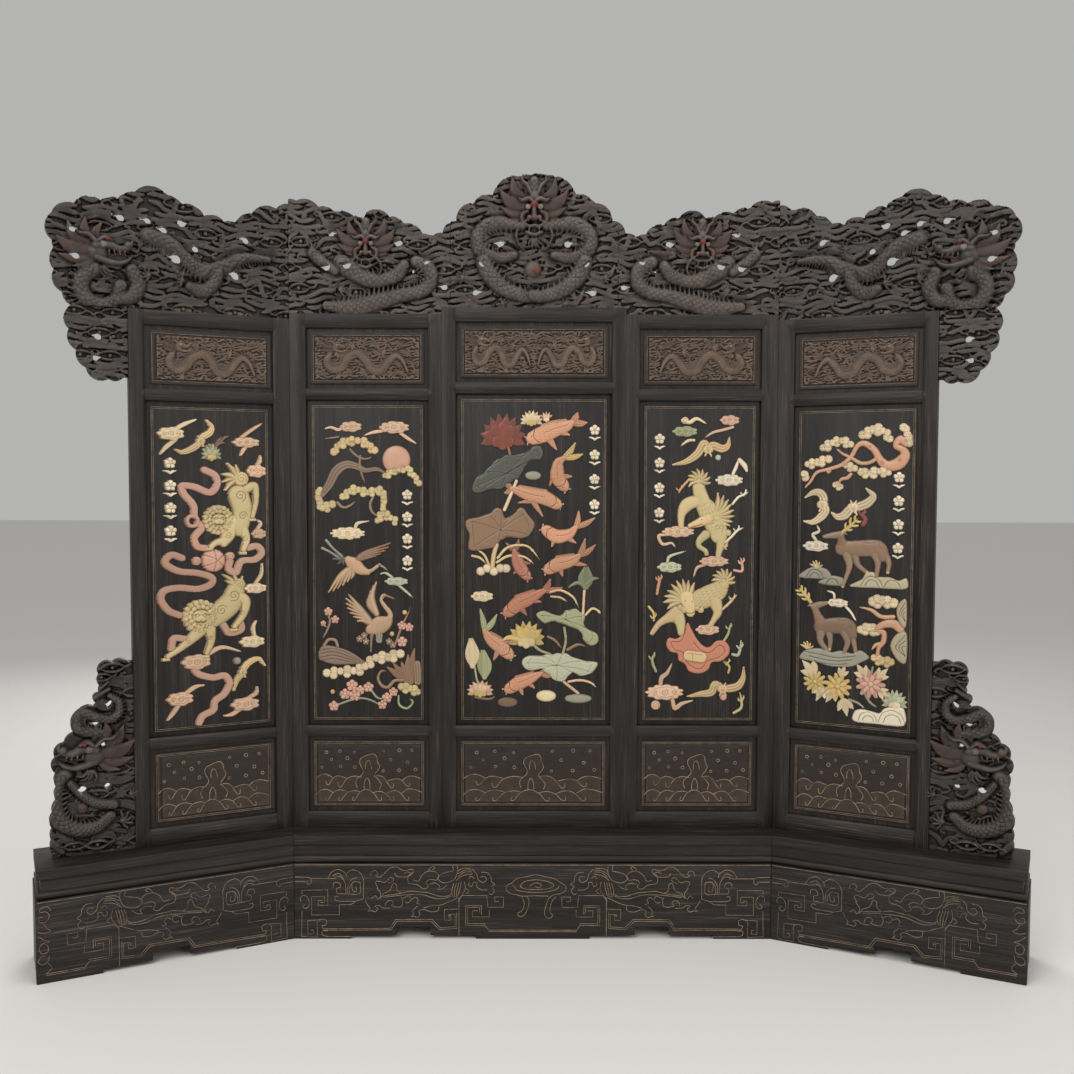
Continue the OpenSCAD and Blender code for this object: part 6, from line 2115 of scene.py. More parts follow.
def qilin_pair(art: StoneArt) -> None:
    """Draws the fourth panel: two maned beasts, clouds, flames and a box on a coral cloud.

    Args:
        art: The panel's drawing.
    """
    art.taper([(-58, 1384), (-34, 1378), (-12, 1390), (20, 1374)], 9, CREAM)
    art.curl(-50, 1384, 12, CREAM)
    art.cloud(-50, 1347, 88, 38, JADE)
    art.taper([(-20, 1318), (-40, 1316), (-68, 1296)], 7, CREAM)
    art.cloud(100, 1385, 68, 36, PEACH, ([(110, 1362), (74, 1352), (44, 1344), (12, 1324)],))
    art.bat((28, 1288), ([(14, 1306), (-8, 1272), (-46, 1246), (-90, 1236)],
                         [(44, 1300), (74, 1290), (94, 1300), (99, 1326)]), BUFF, 12)
    art.button(62, 1260, 10, MIST, 5)
    art.cloud(100, 1184, 96, 42, IVORY, ([(112, 1204), (124, 1232), (132, 1258)],))
    art.limb([(134, 1252), (152, 1232), (158, 1216)], [7, 9, 4], IVORY, 5)
    art.star(-2, 1182, 40, OCHRE)
    art.limb([(-2, 1156), (4, 1134), (16, 1112)], [22, 24, 22], OCHRE, 5.8)
    art.limb([(-6, 1116), (-42, 1100), (-60, 1066), (-60, 1018)], [20, 22, 14, 9], OCHRE, 5.6)
    art.limb([(10, 1110), (36, 1070), (60, 1024), (66, 996)], [26, 36, 34, 26], OCHRE, 6.2,
             kind=Profile.SCALES)
    art.rays(52, 1066, ((62, 1142), (82, 1134), (98, 1120), (108, 1104), (116, 1084), (120, 1064),
                        (114, 1044), (104, 1030)), 12, OCHRE)
    for k in range(6):
        art.curl(38 + 12 * k, 1042 - 9 * k + 10 * (k % 2), 11, OCHRE, 6.6)
    art.limb([(30, 1056), (2, 1042), (-30, 1030)], [19, 15, 9], BUFF, 7)
    art.eye(8, 1052, 2.6, 6.8)
    art.line([(-28, 1024), (-8, 1030), (10, 1036)], 1.8, 2.6)
    art.limb([(78, 1000), (72, 960), (66, 932), (62, 906)], [20, 14, 10, 9], OCHRE, 5.8)
    art.limb([(22, 1000), (2, 980), (0, 962), (22, 946), (26, 936)], [16, 12, 9, 8, 8], OCHRE, 5.6)
    art.rays(86, 960, ((98, 978), (98, 964), (94, 950)), 5, BUFF)
    art.flame([(-34, 1188), (-52, 1168), (-66, 1150), (-70, 1138)], SALMON, 5)
    art.cloud(-70, 1010, 112, 40, PEACH,
              ([(-104, 1000), (-136, 996), (-122, 968), (-92, 972), (-78, 954)],))
    art.flame([(112, 1104), (130, 1126), (150, 1136), (168, 1146)], IVORY, 5)
    art.flame([(88, 974), (112, 996), (128, 1014), (154, 1026)], IVORY, 5)
    art.cloud(-98, 890, 86, 38, MIST, ([(-106, 908), (-96, 928), (-40, 946)],))
    art.cloud(52, 910, 102, 38, PEACH, ([(20, 898), (-6, 888), (-18, 854)],))
    art.flame([(120, 880), (146, 878), (146, 904), (140, 926)], PINK, 6)
    art.flame([(-140, 800), (-136, 826), (-132, 846), (-138, 862)], SALMON, 7)
    art.star(84, 846, 40, OCHRE)
    art.limb([(84, 830), (60, 806), (20, 786), (-20, 770)], [20, 34, 36, 30], OCHRE, 6.2,
             kind=Profile.SCALES)
    art.rays(-52, 776, ((-120, 770), (-116, 792), (-106, 812), (-92, 832), (-74, 844), (-54, 850),
                        (-34, 846), (-14, 838), (-106, 748)), 13, OCHRE)
    for k in range(7):
        art.curl(-76 + 14 * k, 746 + 7 * (k % 2), 11, OCHRE, 6.6)
    art.limb([(-40, 786), (-30, 762), (-26, 736)], [27, 23, 15], BUFF, 7.2)
    for side in (-1, 1):
        art.eye(-34 + side * 12, 776, 2.6, 6.9)
    art.line([(-42, 738), (-28, 732), (-14, 738)], 1.8, 2.6)
    art.limb([(-74, 730), (-104, 716), (-132, 698), (-156, 666)], [27, 16, 11, 8], BUFF, 5.8)
    art.limb([(-70, 724), (-60, 700), (-58, 668)], [24, 18, 12], OCHRE, 5.8)
    art.limb([(56, 776), (66, 740), (52, 710), (40, 690)], [24, 16, 10, 9], OCHRE, 5.8)
    art.cloud(32, 678, 84, 38, PEACH)
    art.flame([(-168, 756), (-152, 736), (-150, 718), (-152, 702)], STRAW, 5.5)
    art.flame([(82, 748), (104, 768), (116, 782), (134, 800)], OCHRE, 5.5)
    art.flame([(88, 640), (102, 664), (106, 682), (112, 704)], JADE, 5.5)
    art.flame([(118, 594), (136, 592), (144, 616), (146, 646)], MIST, 7)
    art.flame([(104, 532), (108, 550), (100, 562), (92, 574)], STRAW, 5)
    art.form([(-36, 702), (-50, 666), (-72, 648), (-100, 650), (-108, 624), (-92, 602), (-70, 596),
              (-66, 574), (-44, 560), (-30, 536), (6, 528), (36, 542), (48, 566), (78, 570), (104, 592),
              (108, 618), (90, 640), (62, 640), (40, 620), (18, 624), (-4, 648), (-24, 684)], CORAL, 5.2, 8)
    art.line([(-40, 680), (-58, 640), (-90, 636), (-80, 612), (-52, 600), (-40, 572), (-16, 550), (12, 546),
              (34, 572), (70, 584), (92, 606), (72, 626), (44, 602), (12, 606), (-14, 634)], 1.6, 1.6)
    art.limb([(-32, 590), (12, 584)], [17, 17], BUFF, 3.2, 4.8, kind=Profile.FLAT, straight=True)
    art.line([(-36, 598), (14, 592)], 1.3, 1.4)
    art.line([(-20, 604), (-18, 572)], 1.3, 1.4)
    art.flame([(-142, 536), (-152, 560), (-154, 580), (-144, 604)], JADE, 6.5)
    art.cloud(-112, 464, 132, 56, PEACH, ([(-126, 490), (-122, 514), (-104, 530), (-88, 562)],
                                          [(-84, 436), (-76, 410), (-52, 426), (-16, 436)]))
    art.curl(-142, 420, 16, PEACH)
    art.bat((86, 476), ([(60, 490), (46, 464), (8, 458), (-34, 450)],
                        [(112, 478), (138, 486), (154, 512), (156, 550)]),
            BUFF, 12)
    art.button(88, 448, 12, PINK, 5)
    art.flame([(124, 394), (148, 410), (150, 436), (142, 470)], OCHRE, 6)
    art.ornament_column(-135, (1316, 1236, 1152, 1068))


def deer_and_peony(art: StoneArt) -> None:
    """Draws the fifth panel: two deer, pines, bats, rocks and peonies.

    Args:
        art: The panel's drawing.
    """
    art.limb([(194, 1300), (178, 1316), (164, 1296), (186, 1282), (192, 1262), (172, 1238), (140, 1232),
              (116, 1250), (96, 1284), (66, 1304), (44, 1296), (24, 1262), (-4, 1236), (-44, 1222),
              (-86, 1210), (-106, 1180), (-122, 1162)],
             [9, 13, 10, 12, 17, 20, 16, 13, 11, 10, 8, 7, 7, 6, 5, 4, 2.5], APRICOT, 5.8)
    for x, z, r in ((176, 1250, 7), (124, 1240, 9), (84, 1294, 6), (34, 1272, 5)):
        art.button(x, z, r, APRICOT, 6.4)
        art.spiral(x, z, r * 0.7)
    for path in ([(110, 1262), (88, 1244), (56, 1240), (24, 1258), (-4, 1272), (-24, 1290)],
                 [(24, 1204), (12, 1192), (-6, 1188), (-16, 1172)], [(-40, 1224), (-48, 1212), (-56, 1218)]):
        art.taper(path, 8, APRICOT, 4.8)
    art.pine([(-68, 1290), (-38, 1306), (-8, 1312), (20, 1300)], 13, CREAM)
    art.pine([(58, 1330), (92, 1346), (124, 1342), (146, 1316)], 14, CREAM)
    art.pine([(188, 1352), (200, 1330), (202, 1302)], 13, CREAM)
    art.pine([(-118, 1236), (-86, 1242), (-50, 1252)], 13, CREAM)
    art.pine([(-130, 1204), (-120, 1192)], 13, CREAM)
    art.pine([(8, 1232), (34, 1222)], 12, CREAM)
    art.pine([(56, 1210), (84, 1206), (112, 1212), (142, 1208)], 13, CREAM)
    art.pine([(-24, 1168), (-8, 1162)], 11, CREAM)
    art.bat((-66, 1104), ([(-62, 1122), (-74, 1142), (-96, 1144), (-122, 1128)],
                          [(-56, 1086), (-70, 1064), (-96, 1046), (-126, 1048)]), CREAM, 12)
    art.bat((34, 1096), ([(20, 1086), (6, 1070), (-16, 1064), (-36, 1078)],
                         [(56, 1100), (80, 1112), (96, 1134), (74, 1158)]), CREAM, 13)
    art.flame([(66, 1040), (72, 1056), (64, 1072), (74, 1084)], RUST, 11)
    art.cloud(-86, 966, 88, 38, IVORY, ([(-84, 984), (-96, 1004), (-76, 1016), (-84, 1038)],))
    deer(art, 1, ((0, 985), (60, 986), (112, 986), (130, 962)), ((-6, 1006), (-34, 1002), (-58, 998)), (
        ([(14, 950), (24, 904), (14, 866), (4, 838)], TAUPE), ([(40, 940), (52, 908), (80, 884)], TAUPE),
        ([(104, 952), (114, 916), (110, 870)], TAUPE), ([(128, 958), (148, 920), (146, 888)], TAUPE),
    ), ((0, 1014), (22, 1032), (50, 1060)))
    art.form([(-138, 860), (-118, 886), (-88, 898), (-52, 892), (-34, 872), (-40, 858)], ASH, 5, 8)
    art.form([(-76, 844), (-54, 862), (-26, 870), (6, 862), (10, 840), (-30, 836)], ASH, 4.6, 8)
    art.form([(28, 836), (50, 854), (66, 862), (78, 884), (104, 886), (116, 872), (150, 872), (180, 862),
              (204, 870), (204, 836), (120, 834)], SAND, 5, 8)
    for x, z in ((-84, 894), (-110, 622)):
        art.rays(x, z, ((x - 22, z + 12), (x - 12, z + 22), (x, z + 25), (x + 12, z + 20), (x + 22, z + 10)),
                 5, BUFF)
    for x, z, r in ((-88, 862, 26), (-88, 862, 15), (-30, 842, 18), (96, 840, 32), (96, 840, 20),
                    (160, 838, 24)):
        art.line([(x - r * 1.1, z), (x - r * 0.6, z + r * 0.8), (x, z + r), (x + r * 0.7, z + r * 0.7),
                  (x + r * 1.1, z)],
                 1.5, 1.6)
    art.cloud(-12, 780, 72, 30, IVORY, ([(-22, 792), (-26, 812), (-52, 820)],
                                        [(14, 770), (34, 748), (52, 716)]))
    deer(art, -1, ((-66, 722), (-20, 728), (20, 726), (36, 700)), ((-88, 764), (-70, 772), (-48, 778)), (
        ([(-64, 690), (-66, 652), (-46, 622)], TAUPE), ([(-40, 688), (-34, 654), (-36, 626)], TAUPE),
        ([(10, 692), (22, 652), (10, 612)], TAUPE), ([(30, 696), (42, 654), (50, 616)], TAUPE),
    ), ((-100, 778), (-118, 802), (-140, 824)))
    art.form([(-134, 588), (-116, 616), (-70, 626), (-30, 616), (0, 622), (40, 616), (64, 628), (92, 606),
              (64, 586), (30, 570), (-30, 568), (-80, 578)], ASH, 5, 7)
    for shift in (0, 14, 28):
        art.line([(-116 + shift, 612 - shift), (-60, 604 - shift), (-10, 598 - shift * 0.8),
                  (50 - shift, 608 - shift)],
                 1.7, 1.8)
    art.taper([(166, 744), (128, 742), (96, 762), (60, 770)], 9, APRICOT)
    art.limb([(188, 704), (168, 720), (134, 716), (112, 696), (136, 690), (136, 662), (122, 640),
              (118, 612)],
             [13, 15, 12, 8, 9, 9, 7, 6], APRICOT, 5)
    art.taper([(134, 656), (112, 648), (100, 632)], 8, APRICOT, 4.6)
    art.pine([(100, 788), (130, 792), (166, 786)], 16, CREAM)
    art.pine([(66, 694), (90, 702), (116, 690)], 14, CREAM)
    art.pine([(106, 604), (134, 596), (162, 594)], 14, BUFF)
    for low, high in (((176, 796), (206, 716)), ((160, 690), (208, 600))):
        wide, tall = high[0] - low[0], low[1] - high[1]
        art.form([(low[0], low[1] - tall * 0.3), (low[0] + wide * 0.4, low[1]), (high[0], low[1] + 2),
                  (high[0], high[1]), (low[0] + wide * 0.5, high[1]),
                  (low[0], high[1] + tall * 0.4)], SAND, 5, 9)
        for k in (0.3, 0.5, 0.7):
            art.line([(high[0] - 4, low[1] - tall * (k - 0.25)), (low[0] + wide * k, low[1] - tall * 0.5),
                      (high[0] - 4, high[1] + tall * 0.2)], 1.5, 1.6)
    for path in ([(30, 462), (60, 452), (84, 434)], [(72, 500), (96, 460), (126, 440)],
                 [(-70, 462), (-50, 480), (-36, 496)], [(104, 574), (100, 552), (96, 540)]):
        art.taper(path, 5, ASH, 3.4)
    for root, tip in (((-82, 536), (-124, 580)), ((-58, 496), (-76, 450)), ((-18, 494), (-44, 448)),
                      ((12, 462), (24, 408)), ((82, 540), (54, 580)), ((120, 540), (150, 572)),
                      ((124, 500), (158, 482)), ((2, 538), (16, 572))):
        fingered_leaf(art, root, tip, CREAM)
    for x, z, r, tint in ((-82, 512, 34, STRAW), (-8, 502, 40, STRAW), (98, 518, 42, PINK)):
        peony(art, x, z, r, tint)
    art.lotus(174, 476, 78, 58, MIST, CREAM)
    art.form([(46, 392), (48, 424), (70, 434), (100, 430), (128, 426), (142, 442), (170, 450), (204, 446),
              (204, 392), (120, 388)], IVORY, 5.4, 9)
    for x, r in ((90, 30), (92, 18), (166, 42), (168, 28)):
        art.line([(x - r, 396), (x - r * 0.7, 396 + r * 0.7), (x, 396 + r), (x + r * 0.7, 396 + r * 0.7),
                  (x + r, 396)],
                 1.5, 1.6)
    art.ornament_column(176, (1188, 1112, 1036, 960))


def fingered_leaf(art: StoneArt, root: Point, tip: Point, tint: Colour) -> None:
    """Cuts a leaf of three hollowed fingers that spread from its stem.

    Args:
        art: The panel's drawing.
        root: Where the fingers meet.
        tip: End of the middle finger.
        tint: Colour of the stone.
    """
    dx, dz = tip[0] - root[0], tip[1] - root[1]
    long = math.hypot(dx, dz)
    for turn, share in ((-0.62, 0.78), (0.62, 0.78), (0.0, 1.0)):
        far = (root[0] + share * (dx * math.cos(turn) - dz * math.sin(turn)),
               root[1] + share * (dx * math.sin(turn) + dz * math.cos(turn)))
        art.limb([root, ((root[0] + far[0]) / 2, (root[1] + far[1]) / 2), far], [3.5, long * 0.21, 1.8],
                 tint, 4.4, kind=Profile.HOLLOW)


def peony(art: StoneArt, x: float, z: float, radius: float, tint: Colour) -> None:
    """Cuts an open peony: two rings of hollowed petals round a raised heart.

    Args:
        art: The panel's drawing.
        x: Place across the panel, from its middle.
        z: Height above the floor.
        radius: Radius over the petals.
        tint: Colour of the stone.
    """
    for ring, (start, end, broad, count) in enumerate(((0.45, 1.0, 0.2, 11), (0.22, 0.64, 0.19, 7))):
        tone = art.shade(tint)
        for k in range(count):
            a = 2 * math.pi * (k + 0.5 * ring) / count
            art.relief.stroke(art.at([(x + share * radius * math.cos(a), z + share * radius * math.sin(a))
                                      for share in (start, 0.5 * (start + end), end)]),
                              [0.6 * broad * radius, broad * radius, 0.72 * broad * radius],
                              4.6 + 1.1 * ring, 0, Profile.HOLLOW, tone)
    art.button(x, z, 0.27 * radius, OCHRE, 6.6)
    art.relief.ring(art.middle + x, z, 0.2 * radius, 1.6, 0.9)


def deer(art: StoneArt, turn: int, back: Sequence[Point], head: Sequence[Point],
         legs: Sequence[tuple[Sequence[Point], Colour]], antler: Sequence[Point]) -> None:
    """Cuts a deer.

    Args:
        art: The panel.
        turn: 1 where it looks to the left, -1 to the right.
        back: Points along the top of its body, from the shoulder to the rump.
        head: Points from the crown to the muzzle.
        legs: Middle line and colour of each leg.
        antler: Points along its main antler.
    """
    for path, tint in legs[1::2]:
        art.limb(path, [14, 9] + [6.5] * (len(path) - 2), tint, 4.4)
        art.button(*path[-1], 7.5, BUFF, 4.6, 0, 0.8)
    body = [(x, z - 24) for x, z in back]
    art.limb(body, [24, 27, 28, 18], FAWN, 6.4)
    for path, tint in legs[::2]:
        art.limb(path, [18, 11] + [7] * (len(path) - 2), tint, 5.6)
        art.button(*path[-1], 8, BUFF, 5.6, 0, 0.8)
    shoulder = body[0]
    crown, muzzle = head[0], head[-1]
    throat = ((shoulder[0] + crown[0]) / 2, (shoulder[1] + crown[1]) / 2 + 4)
    art.limb([(shoulder[0] + 2, shoulder[1] + 8), throat, crown], [22, 14, 12], FAWN, 6.2)
    art.limb(list(head), [13, 11, 7], TAUPE, 6.6)
    art.eye(crown[0] * 0.75 + muzzle[0] * 0.25, crown[1] + 2, 1.9, 6.0)
    ear = (crown[0] + turn * 14, crown[1] + 4)
    art.limb([crown, ear, (ear[0] + turn * 6, ear[1] - 3)], [5, 4.5, 1.5], TAUPE, 6)
    art.taper(antler, 8.5, STRAW, 5)
    root, tip = np.array(antler[0], float), np.array(antler[-1], float)
    along = (tip - root) / max(1.0, np.hypot(*(tip - root)))
    for share, reach in ((0.2, 26), (0.5, 30), (0.8, 22)):
        spot = root + (tip - root) * share
        for side in (-1, 1):
            way = np.array([-along[1], along[0]]) * side
            far = spot + way * reach * 0.6 + along * reach * 0.7
            art.taper([tuple(spot), tuple((spot + far) / 2 + way * 3), tuple(far)], 6, STRAW, 4.6)
    for (ax, az), (bx, bz) in zip(body[1:], body[2:]):
        art.line([(ax + 6, az + 22), ((ax + bx) / 2, (az + bz) / 2 + 17), (bx - 2, bz + 22)], 1.2, 0.7)


@dataclass(frozen=True)
class Inlays:
    """The soapstone pictures of the five tall panels."""

    shop: Workshop

    def build(self) -> None:
        """Cuts and sets every picture."""
        drawings = (
            (lion_play, 0.0), (cranes_and_pine, 0.0), (koi_pond, 0.0), (qilin_pair, 0.0),
            (deer_and_peony, -39.0),
        )
        for leaf, (draw, across) in zip(LEAVES, drawings):
            art = StoneArt(leaf, across)
            draw(art)
            art.finish(self.shop)


WORN_WOOD = linear(100, 90, 83)
# A darker copy of the worn wood colour, used on the wings' crests, hanging clouds and brackets: painted
# shade.
WORN_SHADED = linear(84, 77, 73)
WORN_FLAME = linear(92, 70, 61)
WORN_PLAQUE = linear(108, 88, 72)
WORN_WAVE = linear(70, 59, 49)
GROUND_PLAQUE = linear(58, 47, 41)
RED_PAINT = linear(112, 46, 40)
PALE_PAINT = linear(132, 118, 106)


def turned(points: Sequence[Point], x: float, z: float, size: float = 1.0, turn: int = 1,
           angle: float = 0.0) -> list[Point]:
    """Sets a small drawing in place.

    Args:
        points: Points of the drawing.
        x: Place of its zero along the section.
        z: Height of its zero.
        size: Scale.
        turn: 1 as drawn, -1 mirrored.
        angle: Anticlockwise turn in degrees.

    Returns:
        The points in place.
    """
    c, s = math.cos(math.radians(angle)), math.sin(math.radians(angle))
    return [(x + size * turn * (c * a - s * b), z + size * (s * a + c * b)) for a, b in points]


class Carver:
    """Draws clouds, dragons and waves into a relief."""

    def __init__(self, relief: Relief, seed: int, tint: Colour, ground: float, stout: float = 1.12) -> None:
        """Keeps the relief, a seeded source of small differences and the worn colour.

        Args:
            relief: The board that is carved.
            seed: Seed of the differences.
            tint: Colour of the rubbed wood.
            ground: Level that the forms rise from.
            stout: Factor on the thickness of dragons' bodies.
        """
        self.stout = stout
        self.relief = relief
        self.random = np.random.default_rng(seed)
        self.tint = tint
        self.ground = ground
        relief.tint[:] = tint

    def ridge(self, points: Sequence[Point], radii: Sequence[float], height: float,
              kind: Profile = Profile.ROUND, tint: Colour | None = None, straight: bool = False) -> None:
        """Carves a stroke that stays within the outline of its board."""
        self.relief.stroke(points, radii, height, self.ground, kind, tint or self.tint,
                           straight=straight, fills=False)

    def button(self, x: float, z: float, radius: float, height: float, base: float,
               tint: Colour) -> None:
        """Carves a round button that stays within the outline of its board."""
        self.relief.disc(x, z, radius, height, base, tint, fills=False)

    def cloud(self, x: float, z: float, size: float, rise: float) -> None:
        """Carves a cloud's eye: a bead in a pointed lens whose ends hook over.

        Args:
            x: Place along the section.
            z: Height above the floor.
            size: Scale of the drawing.
            rise: How far it stands above the ground.
        """
        wide, tall = 33 * size, 11.5 * size
        turn = 1 if self.random.random() < 0.5 else -1
        for side in (-1, 1):
            lid = [(-wide, -1), (-wide * 0.55, side * tall * 0.8), (0, side * tall),
                   (wide * 0.55, side * tall * 0.8), (wide, 1)]
            self.ridge(turned(lid, x, z, 1.0, turn), [2 * size, 4.6 * size, 5 * size, 4.6 * size, 2 * size],
                       rise)
            hook = [(side * wide * 0.9, 0), (side * wide * 1.25, side * 3),
                    (side * wide * 1.5, side * 9 * size), (side * wide * 1.3, side * 14 * size)]
            self.ridge(turned(hook, x, z, 1.0, turn), [3.5 * size, 4.4 * size, 4 * size, 2.4 * size],
                       rise * 0.9)
        self.button(x, z, 6.2 * size, rise * 0.6, self.ground + rise * 0.45, self.tint)

    def streams(self, low: Point, high: Point, pitch: float, rise: float, share: float = 1.0,
                spread: float = 7.4) -> None:
        """Covers a stretch of the ground with level wavy bands that part round cloud eyes.

        Args:
            low: Lowest corner.
            high: Highest corner.
            pitch: Distance between the bands.
            rise: How far they stand above the ground.
            share: Share of the bands that are cut at all.
            spread: Distance between the cloud eyes, in pitches.
        """
        spots = []
        for row, z in enumerate(np.arange(low[1] + 0.8 * pitch, high[1], 3.3 * pitch)):
            for x in np.arange(low[0] + (row % 2) * 0.5 * spread * pitch, high[0], spread * pitch):
                spots.append((x + self.random.uniform(-1, 1) * pitch,
                              z + self.random.uniform(-0.4, 0.4) * pitch))
        marks = np.array(spots)

        def parted(x: float, z: float) -> Point:
            """Moves a point up or down, away from the cloud eyes near it."""
            dx, dz = (x - marks[:, 0]) / (2.3 * pitch), (z - marks[:, 1]) / (1.25 * pitch)
            push = np.sign(dz) * np.exp(-dx**2 - dz**2)
            return x, z + 0.8 * pitch * float(push.sum())

        for row, z in enumerate(np.arange(low[1], high[1], pitch)):
            x = low[0] - self.random.uniform(0, 5) * pitch
            while x < high[0]:
                reach = pitch * self.random.uniform(2.4, 5.6)
                phase, side = 0.7 * row, 1 if self.random.random() < 0.5 else -1
                count = max(4, int(reach / (0.55 * pitch)))
                line = [parted(x + reach * k / count,
                               z + 0.30 * pitch * math.sin((x + reach * k / count) / (0.75 * pitch) + phase))
                        for k in range(count + 1)]
                if side < 0:
                    line.reverse()
                (ex, ez), up = line[-1], (0.55 if self.random.random() < 0.5 else -0.55) * pitch
                line += [(ex + side * 0.45 * pitch, ez + 0.3 * up), (ex + side * 0.5 * pitch, ez + up),
                         (ex + side * 0.1 * pitch, ez + 1.15 * up)]
                sizes = [0.2] + [0.37] * (count - 1) + [0.34, 0.27, 0.23, 0.18]
                if self.random.random() < share:
                    tall = rise * self.random.uniform(0.72, 1.0)
                    self.ridge(line, [size * pitch for size in sizes], tall, Profile.FLAT)
                    self.button(*line[-1], 0.25 * pitch, 0.3 * rise, self.ground + 0.85 * tall, self.tint)
                x += reach + pitch * self.random.uniform(0.5, 1.0)
        for x, z in spots:
            if self.random.random() < share:
                self.cloud(x, z, pitch / 20, rise * 1.05)

    def serpent(self, points: Sequence[Point], radii: Sequence[float], rise: float,
                spines: int = 0) -> None:
        """Carves a scaled body with a rolled edge and small spines along one side.

        Args:
            points: Points on its middle line, in millimetres.
            radii: Radius at each point.
            rise: How far it stands above the ground.
            spines: 1 or -1 for the side that has spines, 0 for none.
        """
        radii = [self.stout * r for r in radii]
        self.relief.groove(points, 1.4 * max(radii), 0.34 * rise)
        self.ridge(points, [1.1 * r for r in radii], rise * 0.5)
        self.relief.stroke(points, radii, rise, self.ground + 0.04 * rise, Profile.NET, self.tint,
                           fills=False)
        if spines:
            path = smooth_path(np.column_stack([np.asarray(points, float), radii]), 0.6 * radii[1])
            away = np.gradient(path[:, :2], axis=0)
            away /= np.maximum(np.hypot(away[:, 0], away[:, 1])[:, None], 0.01)
            for (x, z, radius), (dx, dz) in zip(path[1:-1], away[1:-1]):
                side = (-dz * spines, dx * spines)
                root = (x + side[0] * radius * 0.75, z + side[1] * radius * 0.75)
                tip = (x + side[0] * radius * 1.5 - dx * 0.3 * radius,
                       z + side[1] * radius * 1.5 - dz * 0.3 * radius)
                self.ridge([root, tip], [0.26 * radius, 0.08 * radius], rise * 0.62, straight=True)

    def strands(self, x: float, z: float, angles: Iterable[float], reach: float, wide: float,
                rise: float, turn: int = 1, curl: float = 22.0) -> None:
        """Carves locks of a mane that fan out from one point.

        Args:
            x: Place along the section.
            z: Height above the floor.
            angles: Direction of each lock in degrees.
            reach: Distance of the tips.
            wide: Radius at the root.
            rise: How far it stands above the ground.
            turn: 1 as drawn, -1 mirrored.
            curl: How far each tip swings round, in degrees.
        """
        for angle in angles:
            a = math.radians(angle)
            b = math.radians(angle + curl)
            far = reach * self.random.uniform(0.85, 1.1)
            line = [(0.25 * far * math.cos(a), 0.25 * far * math.sin(a)),
                    (0.65 * far * math.cos(a), 0.65 * far * math.sin(a)),
                    (far * math.cos(b), far * math.sin(b))]
            self.ridge(turned(line, x, z, 1.0, turn), [wide, wide * 0.9, wide * 0.25], rise)

    def claw(self, x: float, z: float, size: float, turn: int, rise: float) -> None:
        """Carves a spread paw with five curved toes and their nails.

        Args:
            x: Place along the section.
            z: Height above the floor.
            size: Scale of the drawing.
            turn: 1 as drawn, -1 mirrored.
            rise: How far it stands above the ground.
        """
        for angle in (-70, -30, 8, 46, 88):
            toe = [(0, 0), (15, 0), (24, 5), (33, 1)]
            spread = turned(toe, 0, 0, size, 1, angle)
            self.ridge([(x + turn * a, z + b) for a, b in spread], [5 * size, 5.6 * size, 4 * size, size],
                       rise)
        self.button(x, z, 10 * size, rise * 1.1, self.ground, self.tint)

    def flame_lock(self, x: float, z: float, size: float, turn: int, rise: float, angle: float,
                   sweep: float, knee: float, reach: float, wide: float) -> None:
        """Carves a hollowed lock of a mane in a bed of its own.

        Args:
            x: Place of the mane's middle along the section.
            z: Height of the mane's middle.
            size: Scale of the head.
            turn: 1 as drawn, -1 mirrored.
            rise: How far the head stands above the ground.
            angle: Direction of the lock in degrees.
            sweep: How far its tip swings round from that direction.
            knee: Share of its reach at which it bends.
            reach: Distance of its tip.
            wide: Width at its knee, before scaling.
        """
        near, far = math.radians(angle), math.radians(angle + sweep)
        lock = [(0.2 * reach * math.cos(near), 0.2 * reach * math.sin(near)),
                (knee * reach * math.cos(near), knee * reach * math.sin(near)),
                (reach * math.cos(far), reach * math.sin(far))]
        lock = turned(lock, x, z, 1.0, turn)
        self.relief.groove(lock, 1.5 * wide * size, 0.22 * rise)
        self.ridge(lock, [0.8 * wide * size, wide * size, 1.6 * size], rise * 0.72, Profile.HOLLOW,
                   WORN_FLAME)

    def front_head(self, x: float, z: float, size: float, rise: float) -> None:
        """Carves a dragon's head that looks out of the board, ringed by flame locks.

        Args:
            x: Place along the section.
            z: Height above the floor.
            size: Scale of the drawing.
            rise: How far it stands above the ground.
        """
        s = size
        for side in (-1, 1):
            for angle, reach, wide in ((74, 104, 17), (-36, 88, 15), (40, 126, 20), (-12, 112, 18),
                                       (14, 128, 21)):
                reach *= self.random.uniform(0.92, 1.06) * s
                self.flame_lock(x, z + 8 * s, s, side, rise, angle, 15, 0.62, reach, wide)
            whisker = [(26, -34), (50, -52), (60, -84), (46, -118), (30, -132)]
            self.ridge(turned(whisker, x, z, s, side), [7 * s, 6.4 * s, 5.6 * s, 4.4 * s, 2 * s],
                       rise * 0.85)
        self.ridge(turned([(0, 96), (0, 66)], x, z, s), [20 * s, 28 * s], rise * 0.78, kind=Profile.NET)
        for side in (-1, 1):
            horn = [(12, 58), (24, 84), (40, 98), (36, 122)]
            self.ridge(turned(horn, x, z, s, side), [8 * s, 8 * s, 6.4 * s, 2 * s], rise * 0.98)
            brow = [(5, 30), (20, 40), (40, 32), (54, 44)]
            self.ridge(turned(brow, x, z, s, side), [8 * s, 10 * s, 8 * s, 2.4 * s], rise * 1.02)
            cheek = [(24, -4), (40, -14), (40, -36), (26, -46)]
            self.ridge(turned(cheek, x, z, s, side), [9 * s, 13 * s, 11 * s, 6 * s], rise * 0.86,
                       tint=WORN_FLAME)
            self.button(x + side * 20 * s, z + 12 * s, 10 * s, 8 * s, self.ground + rise * 0.66, PALE_PAINT)
            self.relief.ring(x + side * 20 * s, z + 12 * s, 4.4 * s, 2.4 * s, 2.6 * s)
            nostril = [(8, -26), (17, -22), (20, -32)]
